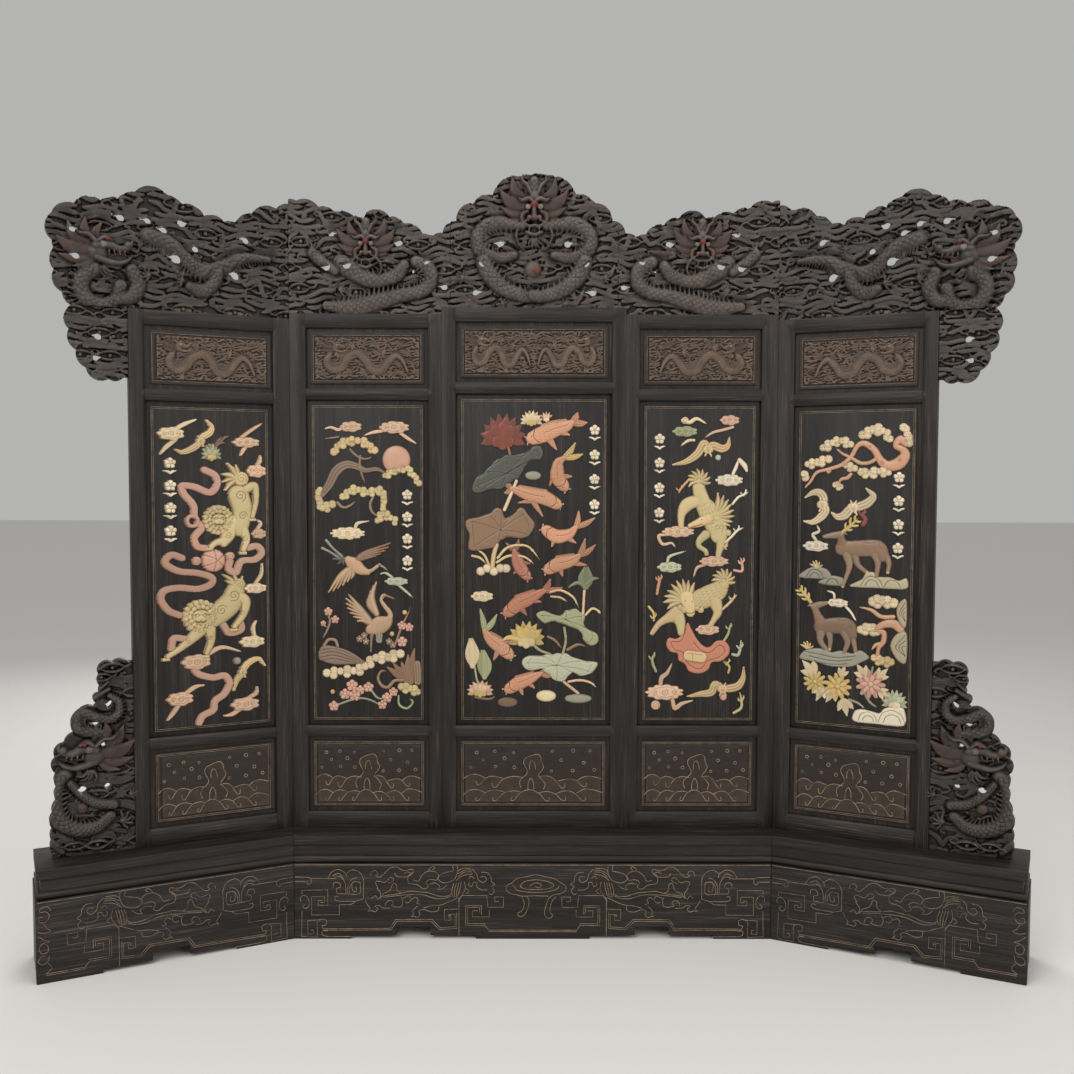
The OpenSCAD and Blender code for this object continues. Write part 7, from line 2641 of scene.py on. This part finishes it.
            self.ridge(turned(nostril, x, z, s, side), [8 * s, 9.6 * s, 6 * s], rise * 1.12)
            fang = [(16, -54), (18, -72)]
            self.ridge(turned(fang, x, z, s, side), [4.6 * s, 1.4 * s], rise * 0.9, tint=PALE_PAINT)
        self.button(x, z + 48 * s, 17 * s, rise * 0.42, self.ground + rise * 0.55, self.tint)
        self.ridge(turned([(0, 20), (0, 2), (0, -22)], x, z, s), [12 * s, 10 * s, 14 * s], rise * 1.04)
        self.button(x, z + 20 * s, 13 * s, rise * 0.40, self.ground + rise * 0.80, RED_PAINT)
        self.button(x, z - 24 * s, 12 * s, rise * 0.32, self.ground + rise * 0.94, WORN_FLAME)
        self.ridge(turned([(-34, -44), (-16, -52), (0, -49), (16, -52), (34, -44)], x, z, s),
                   [6 * s, 7 * s, 7 * s, 7 * s, 6 * s], rise * 1.0)
        self.ridge(turned([(-26, -70), (0, -80), (26, -70)], x, z, s), [6 * s, 9 * s, 6 * s], rise * 0.9)
        self.strands(x, z - 82 * s, (-52, -74, -90, -106, -128), 48 * s, 6 * s, rise * 0.7, curl=10)

    def side_head(self, x: float, z: float, size: float, turn: int, rise: float) -> None:
        """Carves a dragon's head in profile with open jaws and a mane of flame locks.

        Args:
            x: Place along the section.
            z: Height above the floor.
            size: Scale of the drawing.
            turn: 1 as drawn, -1 mirrored.
            rise: How far it stands above the ground.
        """
        s = size
        for angle, reach, wide in ((92, 88, 15), (232, 86, 15), (120, 104, 18), (204, 108, 18),
                                   (148, 116, 20), (176, 120, 20)):
            self.flame_lock(x - turn * 6 * s, z + 4 * s, s, turn, rise, angle, -14, 0.6, reach * s, wide)
        self.button(x, z, 34 * s, rise * 0.84, self.ground, self.tint)
        jaws = (
            ([(16, -4), (44, -6), (72, 0)], (8, 7, 3), 0.5, RED_PAINT),
            ([(-6, 18), (28, 24), (60, 13), (88, 22), (98, 40)], (17, 17, 13, 12, 3), 1.0, self.tint),
            ([(-4, -18), (26, -26), (58, -30), (84, -20), (98, -4)], (13, 13, 10, 8, 2.5), 0.88, self.tint),
        )
        for line, radii, share, tint in jaws:
            self.ridge(turned(line, x, z, s, turn), [r * s for r in radii], rise * share, tint=tint)
        self.button(x + turn * 84 * s, z + 26 * s, 10 * s, rise * 0.3, self.ground + rise * 0.9, WORN_FLAME)
        for k in range(4):
            tooth = [(30 + 15 * k, 7), (33 + 15 * k, -5)]
            self.ridge(turned(tooth, x, z, s, turn), [4 * s, 1.4 * s], rise * 0.92, tint=PALE_PAINT)
        horn = [(-6, 30), (-28, 50), (-50, 50), (-72, 68)]
        self.ridge(turned(horn, x, z, s, turn), [9 * s, 8 * s, 6 * s, 2 * s], rise * 1.04)
        brow = [(0, 32), (18, 44), (40, 36)]
        self.ridge(turned(brow, x, z, s, turn), [8 * s, 10 * s, 4 * s], rise * 1.08)
        self.button(x + turn * 26 * s, z + 40 * s, 7 * s, rise * 0.25, self.ground + rise * 1.0, RED_PAINT)
        self.button(x + turn * 14 * s, z + 23 * s, 10 * s, 7 * s, self.ground + rise * 0.85, PALE_PAINT)
        self.relief.ring(x + turn * 14 * s, z + 23 * s, 4.4 * s, 2.4 * s, 2.4 * s)
        whisker = [(90, 18), (112, 8), (122, 30), (150, 46)]
        self.ridge(turned(whisker, x, z, s, turn), [5 * s, 4.6 * s, 4 * s, 1.6 * s], rise * 0.7)
        self.strands(x + turn * 10 * s, z - 34 * s, (-50, -74, -98, -122), 46 * s, 7 * s, rise * 0.64, turn)


def adopted(node: str, place: Place, lift: float, step: float, ground: float) -> Relief:
    """Starts a relief from the outline and the openings of a packed board.

    Args:
        node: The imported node.
        place: Section that the board stands in.
        lift: Height of the relief's zero above the floor.
        step: Distance between grid points.
        ground: Height of the ground between the carved forms.

    Returns:
        A relief whose inside is the board's own outline.
    """
    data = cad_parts[node].data
    points = np.zeros(len(data.vertices) * 3)
    data.vertices.foreach_get("co", points)
    points = points.reshape(-1, 3)
    tree = BVHTree.FromPolygons([tuple(p) for p in points], [tuple(p.vertices) for p in data.polygons])
    origin = place.world(np.zeros(1), np.zeros(1), np.zeros(1))[0]
    east = place.world(np.ones(1), np.zeros(1), np.zeros(1))[0] - origin
    along = ((points - origin) @ east) / (east @ east)
    high = points[:, 2] / MILLIMETRE - lift
    relief = Relief((along.min() - 2 * step, high.min() - 2 * step),
                    (along.max() + 2 * step, high.max() + 2 * step), step, ground)
    half = step / 2
    xs = relief.xs[0] - half + half * np.arange(2 * len(relief.xs) + 1)
    zs = relief.zs[0] - half + half * np.arange(2 * len(relief.zs) + 1)
    gx, gz = np.meshgrid(xs, zs)
    in_front = -300.0
    starts = place.world(gx.ravel(), np.full(gx.size, in_front), gz.ravel() + lift)
    inward = Vector(place.world(np.zeros(1), np.ones(1), np.zeros(1))[0] - origin).normalized()
    hits = np.array([tree.ray_cast(Vector(start), inward)[0] is not None for start in starts], float)
    cover = hits.reshape(gx.shape)
    weights = (0.06, 0.25, 0.38, 0.25, 0.06)
    for axis in (0, 1):
        cover = sum(w * np.roll(cover, k - 2, axis) for k, w in enumerate(weights))
    cover = np.clip(cover[1::2, 1::2], 0.004, 0.996)
    softness = 0.4614381 * step
    relief.inside = softness * np.log(cover / (1 - cover))
    return relief


@dataclass(frozen=True)
class Carvings:
    """The crest, its hanging ends, the foot brackets and the ten plaques.

    The waves, the rock and the foam of the lower plaques are drawn in millimetres from the middle
    of the lined field and from its foot.
    """

    WAVE_WIDTH: ClassVar[float] = 474.0
    NEAR_WAVES: ClassVar[tuple] = (
        [(-238, 31), (-216, 46), (-188, 48), (-163, 38)],
        [(-192, 22), (-195, 14), (-186, 11), (-161, 38), (-133, 47), (-98, 41)],
        [(-134, 22), (-138, 14), (-128, 10), (-98, 37), (-66, 44), (-40, 40)],
        [(236, 39), (206, 48), (174, 50), (148, 36)],
        [(176, 24), (180, 14), (168, 11), (137, 39), (107, 44), (76, 34)],
        [(109, 24), (112, 14), (101, 11), (76, 33), (48, 42), (15, 37)],
        [(-70, 23), (-76, 15), (-66, 11), (-42, 38), (-11, 48), (20, 36), (44, 10), (56, 13), (54, 23)],
    )
    FAR_WAVES: ClassVar[tuple] = (
        [(-238, 86), (-216, 99), (-192, 101), (-165, 90)],
        [(-194, 78), (-192, 68), (-182, 65), (-161, 88), (-137, 95), (-104, 88)],
        [(-140, 74), (-137, 60), (-126, 57), (-102, 84), (-70, 94), (-34, 91)],
        [(236, 86), (202, 94), (174, 93), (148, 80)],
        [(182, 72), (182, 62), (170, 60), (146, 81), (119, 85), (85, 79)],
        [(109, 70), (109, 58), (99, 54), (84, 70), (68, 88), (46, 96), (20, 93)],
    )
    ROCK: ClassVar[tuple] = (
        (-44, 34), (-42, 54), (-48, 70), (-43, 85), (-24, 101), (-21, 114), (-33, 139), (-29, 155),
        (-11, 164), (15, 171), (28, 161), (30, 145), (38, 128), (30, 112), (20, 98), (34, 81), (44, 66),
        (37, 50), (38, 34),
    )
    ARCHES: ClassVar[tuple] = (
        ((-12, 118), (-11, 138), (-2, 149), (6, 136), (9, 118)),
        ((-17, 48), (-16, 72), (-7, 88), (2, 72), (3, 48)),
    )
    FOAM: ClassVar[tuple] = (
        (-192, 176), (-130, 180), (-66, 175), (-169, 151), (-97, 156), (-212, 124), (-128, 128), (-64, 125),
        (66, 181), (137, 183), (194, 183), (96, 150), (173, 141), (63, 112), (135, 114), (209, 117),
    )

    shop: Workshop
    lines: LineTree
    rings: RingTree
    lift: float = SIZES.plinth_height
    crest_ground: float = -12.0
    step: float = 2.8

    def slab(self, relief: Relief, name: str, place: Place, face: float, back: float, body: str,
             node: str, cuts: Sequence[float] = ()) -> None:
        """Delivers a carved board, in several lengths where it is long.

        Args:
            relief: The carved board.
            name: Name of the piece.
            place: Section that it stands in.
            face: Depth of its face.
            back: Depth of its back.
            body: Body that it moves with.
            node: Node that it replaces.
            cuts: Places where it is divided.
        """
        edges = [-BEYOND, *cuts, BEYOND]
        whole = relief.inside
        for number, (low, high) in enumerate(zip(edges, edges[1:])):
            low_column = np.searchsorted(relief.xs, low)
            high_column = np.searchsorted(relief.xs, high) + (0 if high == BEYOND else 1)
            part = np.full(whole.shape, OUTSIDE)
            part[:, low_column:high_column] = whole[:, low_column:high_column]
            relief.inside = part
            board = relief.mesh(f"{name}_{number + 1}" if cuts else name, place, face, back, self.lift,
                                open_back=True, crisp=15.0)
            self.shop.deliver(board, body, "carved_wood", self.shop.carved, [node])
        relief.inside = whole

    def centre_crest(self) -> None:
        """Carves the middle crest: one dragon that looks out, and one at each side."""
        relief = adopted("crest_centre", Place(0), self.lift, self.step, self.crest_ground)
        carver = Carver(relief, 3, WORN_WOOD, self.crest_ground, 1.4)
        carver.streams((-850, 1712), (850, 2215), 24, 14)
        coils = (
            ([(40, 2030), (95, 2036), (150, 2030), (188, 1992), (176, 1942), (120, 1922), (66, 1930)],
             (16, 18, 19, 18, 17, 15, 11), 25, -1),
            ([(168, 1912), (150, 1868), (96, 1818), (30, 1796), (-6, 1797)], (20, 22, 20, 17, 16), 25, -1),
            ([(640, 1900), (604, 1878), (560, 1852), (512, 1846), (462, 1862), (432, 1896)],
             (26, 24, 21, 18, 18, 14), 25, -1),
            ([(392, 1908), (352, 1886), (346, 1842), (382, 1810), (452, 1796), (528, 1774), (606, 1754),
              (690, 1762)], (16, 18, 18, 17, 18, 22, 23, 12), 25, 1),
            ([(738, 1936), (706, 1906), (664, 1878)], (15, 15, 12), 22, 0),
        )
        claws = (
            (740, 1948, 0.95, -1, 19), (646, 1814, 0.9, -1, 18), (236, 1856, 0.85, 1, 18),
            (108, 1770, 0.75, -1, 16),
        )
        for turn in (-1, 1):
            for path, radii, rise, spines in coils:
                carver.serpent([(turn * x, z) for x, z in path], radii, rise, turn * spines)
            for x, z, size, way, rise in claws:
                carver.claw(turn * x, z, size, turn * way, rise)
        for turn in (-1, 1):
            carver.front_head(turn * 560, 1956, 0.86, 27)
        carver.front_head(0, 2076, 1.0, 29)
        carver.strands(-4, 1884, range(20, 380, 40), 50, 6, 13)
        carver.button(-4, 1884, 31, 20, -8, WORN_WOOD)
        carver.button(8, 1880, 14, 6, 8, RED_PAINT)
        self.slab(relief, "crest_board_middle", Place(0), SIZES.crest_front, SIZES.crest_back,
                  "centre_crest", "crest_centre", (-280.0, 280.0))

    def end_crest(self, side: int) -> None:
        """Carves the crest of a wing: a dragon coiled in a ring behind its own tail.

        Args:
            side: -1 for the left wing, 1 for the right one.
        """
        word, place = wing(side)
        node = f"crest_{word}"
        relief = adopted(node, place, self.lift, self.step, self.crest_ground)
        carver = Carver(relief, 11 + side, WORN_SHADED, self.crest_ground, 1.4)
        carver.streams((-40, 1712), (820, 2130), 24, 14)
        ring = [(562 + 58 * math.cos(a), 1778 + 56 * math.sin(a))
                for a in np.radians(np.arange(70, -215, -32))]
        carver.serpent(ring, np.linspace(20, 16, len(ring)), 26, 1)
        tail = [(44, 1906), (100, 1908), (148, 1896), (190, 1868), (236, 1850), (280, 1862), (318, 1896),
                (360, 1930), (420, 1948)]
        carver.serpent(tail, (8, 12, 16, 20, 20, 18, 17, 20, 20), 25, -1)
        carver.serpent([(204, 1850), (222, 1812), (256, 1788), (296, 1800)], (14, 17, 18, 12), 23)
        carver.serpent([(470, 1838), (452, 1792), (470, 1756), (510, 1740)], (16, 18, 18, 12), 23)
        carver.claw(318, 1816, 1.0, 1, 19)
        carver.claw(420, 1824, 1.0, 1, 19)
        carver.claw(196, 1934, 0.9, -1, 18)
        carver.side_head(568, 1884, 1.02, -1, 29)
        self.slab(relief, f"crest_board_{word}", place, SIZES.crest_front, SIZES.crest_back,
                  f"{word}_crest", node, (250.0,))

    def crest_ear(self, side: int) -> None:
        """Carves the cloud that hangs beside an end leaf.

        Args:
            side: -1 for the left wing, 1 for the right one.
        """
        word, place = wing(side)
        relief = adopted(f"crest_ear_{word}", place, self.lift, 2.6, self.crest_ground)
        carver = Carver(relief, 17 + side, WORN_SHADED, self.crest_ground)
        carver.streams((460, 1470), (760, 1730), 22, 14, spread=5.6)
        self.slab(relief, f"crest_hanging_{word}", place, SIZES.crest_front, SIZES.crest_back,
                  f"{word}_crest", f"crest_ear_{word}")

    def bracket(self, side: int) -> None:
        """Carves a foot bracket: a dragon that climbs with its head turned outwards.

        Args:
            side: -1 for the left wing, 1 for the right one.
        """
        word, place = wing(side)
        relief = adopted(f"bracket_{word}", place, self.lift, 2.4, self.crest_ground)
        carver = Carver(relief, 23 + side, WORN_SHADED, self.crest_ground)
        carver.streams((476, 12), (770, 620), 24, 9, 0.8, spread=5.2)
        upper = [(556, 500), (532, 478), (530, 444), (556, 424), (596, 432), (634, 452), (654, 436),
                 (646, 402), (606, 386), (566, 368), (550, 330), (560, 296)]
        carver.serpent(upper, (9, 11, 13, 14, 15, 16, 16, 17, 18, 19, 19, 16), 24, -1)
        ring = [(690, 262), (718, 222), (722, 164), (700, 110), (650, 82), (598, 86), (560, 116)]
        carver.serpent(ring, (20, 23, 24, 23, 22, 20, 16), 26, -1)
        carver.serpent([(548, 150), (598, 160), (640, 190), (676, 232)], (15, 15, 14, 12), 22)
        for x, z, size in ((547, 588, 0.95), (580, 560, 0.8), (600, 30, 0.9), (668, 34, 0.8)):
            carver.cloud(x, z, size * 1.15, 22)
        carver.claw(524, 96, 1.15, -1, 20)
        carver.claw(498, 180, 0.8, -1, 17)
        carver.ridge([(560, 520), (596, 500), (616, 486), (600, 478)], [9, 10, 8, 3], 20)
        carver.ridge([(560, 545), (590, 520), (596, 548)], [6, 7, 4], 18)
        carver.button(642, 150, 18, 12, -6, WORN_FLAME)
        carver.ridge([(702, 20), (736, 52), (752, 30), (734, 14)], [10, 14, 12, 6], 20, kind=Profile.HOLLOW)
        carver.side_head(606, 312, 1.05, 1, 28)
        self.slab(relief, f"foot_bracket_{word}", place, SIZES.bracket_front, SIZES.bracket_back,
                  f"{word}_bracket", f"bracket_{word}")

    def tenons(self) -> None:
        """Adds the tenons under crests and brackets, which show when those are lifted."""
        half_wide, half_thick, long = 35.0, 9.0, 26.0
        level = (SIZES.leaf_front + SIZES.leaf_back) / 2
        rows = [(f"tenon_crest_{i}", Place(0), x, leaf.height, "centre_crest")
                for i, (x, leaf) in enumerate(((-558, LEAVES[1]), (-169.4, LEAVES[2]),
                                               (169.4, LEAVES[2]), (558, LEAVES[3])))]
        for side, leaf in ((-1, LEAVES[0]), (1, LEAVES[4])):
            word, place = wing(side)
            rows += [(f"tenon_crest_{word}_{i}", place, x, leaf.height, f"{word}_crest")
                     for i, x in enumerate((154.5, 325.2))]
            rows.append((f"tenon_bracket_{word}", place, 598.9, 0.0, f"{word}_bracket"))
        for name, place, x, top, body in rows:
            tenon = boxed(name, place, (x - half_wide, level - half_thick, top - long + self.lift + 0.5),
                          (x + half_wide, level + half_thick, top + self.lift + 12))
            self.shop.deliver(tenon, body, "carved_wood", self.shop.sawn)

    def plaque_board(self, leaf: LeafSizes, base: float, tall: float, word: str, step: float) -> Relief:
        """Makes a plaque's tongued board and returns the blank for its raised face.

        Args:
            leaf: The leaf that it belongs to.
            base: Height of the opening's lower edge.
            tall: Height of the opening.
            word: upper or lower, for the names.
            step: Distance between the points of the blank.

        Returns:
            The blank.
        """
        reach, margin = 8.0, 15.0
        low, high = leaf.low, leaf.high
        board = boxed(f"{word}_board_{leaf.number}", Place(leaf.side),
                      (low - reach, SIZES.panel_front + 6, base - reach + self.lift),
                      (high + reach, SIZES.panel_back, base + tall + reach + self.lift))
        self.shop.deliver(board, leaf.body, "plaque_wood", self.shop.upright,
                          [f"leaf_{leaf.number}_{word}_plaque"])
        blank = Relief((low + margin, base + margin), (high - margin, base + tall - margin), step, 0.0)
        edge_x = np.minimum(blank.xs - low - margin, high - margin - blank.xs)[None, :]
        edge_z = np.minimum(blank.zs - base - margin, base + tall - margin - blank.zs)[:, None]
        blank.inside = np.minimum(edge_x, edge_z) + 0.01
        return blank

    def upper_plaque(self, leaf: LeafSizes) -> None:
        """Carves a dragon among clouds on the plaque at a leaf's head.

        Args:
            leaf: The leaf's sizes.
        """
        base, tall = leaf.upper_base, SIZES.upper_open
        blank = self.plaque_board(leaf, base, tall, "upper", 1.9)
        carver = Carver(blank, 31 + leaf.number, WORN_PLAQUE, 0.0)
        blank.tint[:] = GROUND_PLAQUE
        middle, level = leaf.middle, base + tall / 2
        wide = (leaf.high - leaf.low) / 2 - 30
        carver.streams((middle - wide, level - 70), (middle + wide, level + 70), 9.5, 3.4, spread=8.0)
        stretch = wide / 172
        for turn in ((-1, 1) if leaf.number == 3 else (1 if leaf.number > 3 else -1,)):
            near = 0.52 if leaf.number == 3 else 1.0
            shift = turn * wide * 0.46 if leaf.number == 3 else 0.0
            body = [(-134, -44), (-116, -6), (-94, 8), (-70, -14), (-48, -42), (-16, -40), (4, -8), (30, 14),
                    (62, 0), (84, -32), (116, -38), (134, -14), (124, 14)]
            line = [(middle + shift + turn * x * stretch * near, level + z) for x, z in body]
            carver.serpent(line, [r * (0.8 if near < 1 else 1) for r in
                                  (3, 6, 9, 11, 12, 13, 13, 13, 13, 12, 12, 11, 9)], 5.4, turn)
            for x, z in ((-58, 20), (-24, -62), (44, 38), (92, -62)):
                carver.claw(middle + shift + turn * x * stretch * near, level + z, 0.55, turn, 4.6)
            carver.side_head(middle + shift + turn * 104 * stretch * near, level + 34, 0.40, -turn, 5.8)
        self.plaque_face(blank, leaf, base, tall, "upper")

    def plaque_face(self, blank: Relief, leaf: LeafSizes, base: float, tall: float, word: str) -> None:
        """Leaves a plain margin and a groove inside a plaque's edge, and delivers its face.

        Args:
            blank: The carved blank.
            leaf: The leaf that it belongs to.
            base: Height of the opening's lower edge.
            tall: Height of the opening.
            word: upper or lower, for the names.
        """
        inset = SIZES.line_inset
        x = np.minimum(blank.xs - leaf.low, leaf.high - blank.xs)[None, :]
        z = np.minimum(blank.zs - base, base + tall - blank.zs)[:, None]
        edge = np.minimum(x, z)
        blank.height = np.where(edge < inset + 2, 0.0, blank.height)
        blank.tint[edge < inset + 2] = GROUND_PLAQUE
        blank.height = np.where(np.abs(edge - inset - 3) < 2.4, -1.6, blank.height)
        face = blank.mesh(f"{word}_carving_{leaf.number}", Place(leaf.side), SIZES.panel_front,
                          SIZES.panel_front + 7, self.lift, 1.2)
        self.shop.deliver(face, leaf.body, "plaque_wood", self.shop.plaque)

    def lower_plaque(self, leaf: LeafSizes) -> None:
        """Carves two rows of waves round a pierced rock, with rings in the sky over them.

        Args:
            leaf: The leaf's sizes.
        """
        base, tall = SIZES.lower_base, SIZES.lower_open
        blank = self.plaque_board(leaf, base, tall, "lower", 2.4)
        blank.tint[:] = GROUND_PLAQUE
        inset = SIZES.line_inset
        foot, middle = base + inset, leaf.middle
        stretch = (leaf.high - leaf.low - 2 * inset) / self.WAVE_WIDTH
        flat = SIZES.panel_front - 1.7
        gilt = []
        for row, (waves, rise) in enumerate(((self.FAR_WAVES, 1.2), (self.NEAR_WAVES, 1.8))):
            for wave in waves:
                line = [(middle + x * stretch, foot + z) for x, z in wave]
                edge = smooth_path(line, 4.0)
                xs = np.clip(edge[:, 0], leaf.low + inset + 1, leaf.high - inset - 1)
                edge = np.column_stack([xs, edge[:, 1]])
                gilt.append((edge, False))
                ends = [(edge[-1, 0], foot + 1), (edge[0, 0], foot + 1)]
                blank.blob([tuple(p) for p in edge] + ends, rise, 0, 6, WORN_WAVE, straight=True)
            if row == 0:
                rock = [(middle + x * 0.95, foot + z) for x, z in self.ROCK]
                blank.blob(rock, 1.6, 0, 5, GROUND_PLAQUE)
                gilt.append((smooth_path(rock[1:-1], 4.0), False))
                for arch in self.ARCHES:
                    opening = [(middle + x, foot + z) for x, z in arch]
                    gilt.append((smooth_path(opening, 4.0), False))
        self.plaque_face(blank, leaf, base, tall, "lower")
        border = self.lines.lay(f"wave_lines_{leaf.number}", gilt, Place(leaf.side), flat, self.lift, 1.3,
                                self.shop.gilt)
        self.shop.deliver(border, leaf.body, "plaque_wood")
        spots = np.array([(middle + x * stretch, SIZES.panel_front, foot + z + self.lift)
                          for x, z in self.FOAM])
        world = Place(leaf.side).world(spots[:, 0], spots[:, 1], spots[:, 2])
        dots = self.rings.scatter(f"foam_rings_{leaf.number}", world, leaf.side, 4.6, self.shop.gilt)
        self.shop.deliver(dots, leaf.body, "plaque_wood")

    def build(self) -> None:
        """Carves everything."""
        self.centre_crest()
        for side in (-1, 1):
            self.end_crest(side)
            self.crest_ear(side)
            self.bracket(side)
        self.tenons()
        for leaf in LEAVES:
            self.upper_plaque(leaf)
            self.lower_plaque(leaf)


def boxed(name: str, place: Place, low: Sequence[float], high: Sequence[float]) -> bpy.types.Object:
    """Makes a plain board between two corners of a section, in millimetres.

    Args:
        name: Name of the piece.
        place: The section that it belongs to.
        low: Lowest corner.
        high: Highest corner.

    Returns:
        The new object.
    """
    corners = [(x, y, z) for z in (low[2], high[2]) for y in (low[1], high[1]) for x in (low[0], high[0])]
    x, y, z = (np.array(axis, float) for axis in zip(*corners))
    faces = [(0, 1, 5, 4), (1, 3, 7, 5), (3, 2, 6, 7), (2, 0, 4, 6), (4, 5, 7, 6), (2, 3, 1, 0)]
    if place.mirrored:
        faces = [face[::-1] for face in faces]
    return plain_object(name, place.world(x, y, z), faces)


@dataclass(frozen=True)
class Lamp:
    """A soft square lamp that looks at one point, in metres."""

    name: str
    place: tuple[float, float, float]
    target: tuple[float, float, float]
    size: float
    power: float
    colour: Colour = (1.0, 0.975, 0.94)

    def build(self) -> None:
        """Hangs the lamp."""
        data = bpy.data.lights.new(self.name, "AREA")
        data.shape = "SQUARE"
        data.size = self.size
        data.energy = self.power
        data.color = self.colour
        made = linked(self.name, data)
        made.location = self.place
        aim = Vector(self.target) - Vector(self.place)
        made.rotation_euler = aim.to_track_quat("-Z", "Y").to_euler()


@dataclass(frozen=True)
class Stage:
    """Camera, lamps, floor and air round the screen."""

    eye: tuple[float, float, float] = (-0.004, -3.572, 1.523)
    focal_pixels: float = 1105.8
    photo_width: float = 1074.0
    sensor: float = 36.0
    pitch_down: float = math.radians(2.81)
    yaw: float = -0.00422
    roll: float = 0.00255
    view_reach: float = 200.0
    floor_half: float = 40.0
    floor_colour: Colour = (0.76, 0.75, 0.73)
    air_colour: Colour = (0.82, 0.82, 0.81)
    air_strength: float = 0.56

    def camera(self) -> None:
        """Sets the camera where the photographer stood."""
        data = bpy.data.cameras.new("camera")
        data.sensor_width = self.sensor
        data.lens = self.sensor * self.focal_pixels / self.photo_width
        data.clip_end = self.view_reach
        made = linked("camera", data)
        turn = Matrix.Rotation(self.yaw, 4, "Z") @ Matrix.Rotation(math.pi / 2 - self.pitch_down, 4, "X")
        made.matrix_world = Matrix.Translation(self.eye) @ turn @ Matrix.Rotation(self.roll, 4, "Z")
        bpy.context.scene.camera = made

    def floor(self) -> None:
        """Lays a plain pale floor."""
        half = self.floor_half
        corners = [(-half, -half, 0), (half, -half, 0), (half, half, 0), (-half, half, 0)]
        ground = plain_object("floor", corners, [(0, 1, 2, 3)])
        ground.data.materials.append(Shader("floor").finish(self.floor_colour, 0.75))

    def air(self) -> None:
        """Gives the room a plain pale light."""
        world = bpy.data.worlds.new("room")
        world.use_nodes = True
        lit = world.node_tree.nodes["Background"]
        lit.inputs[0].default_value = (*self.air_colour, 1.0)
        lit.inputs[1].default_value = self.air_strength
        bpy.context.scene.world = world

    def build(self) -> None:
        """Sets up everything that isn't the object."""
        self.camera()
        self.floor()
        self.air()
        Lamp("key", (-2.6, -4.6, 4.4), (0, 0, 1.3), 3.0, 165).build()
        Lamp("fill", (3.6, -4.2, 3.0), (0, 0, 1.2), 3.5, 95).build()
        Lamp("top", (0.4, -0.8, 5.0), (0, 0.1, 1.4), 3.0, 62).build()
        Lamp("back", (-1.2, 5.2, 3.4), (0, 0, 1.2), 3.5, 110).build()
        bpy.context.scene.view_settings.view_transform = "Standard"


def main() -> None:
    """Builds the stage, the joinery, the inlays and the carving in order."""
    logging.basicConfig(level=logging.INFO, format="%(message)s")
    Stage().build()
    shop = Workshop()
    lines = LineTree()
    joinery = Joinery(shop, lines)
    for leaf in LEAVES:
        joinery.frames(leaf)
        joinery.panel_lines(leaf)
    joinery.plinth()
    joinery.hidden()
    ApronDrawing(shop, lines).build()
    Inlays(shop).build()
    Carvings(shop, lines, RingTree()).build()
    log.info("%d pieces made", shop.count)


if __name__ == "__main__":
    main()
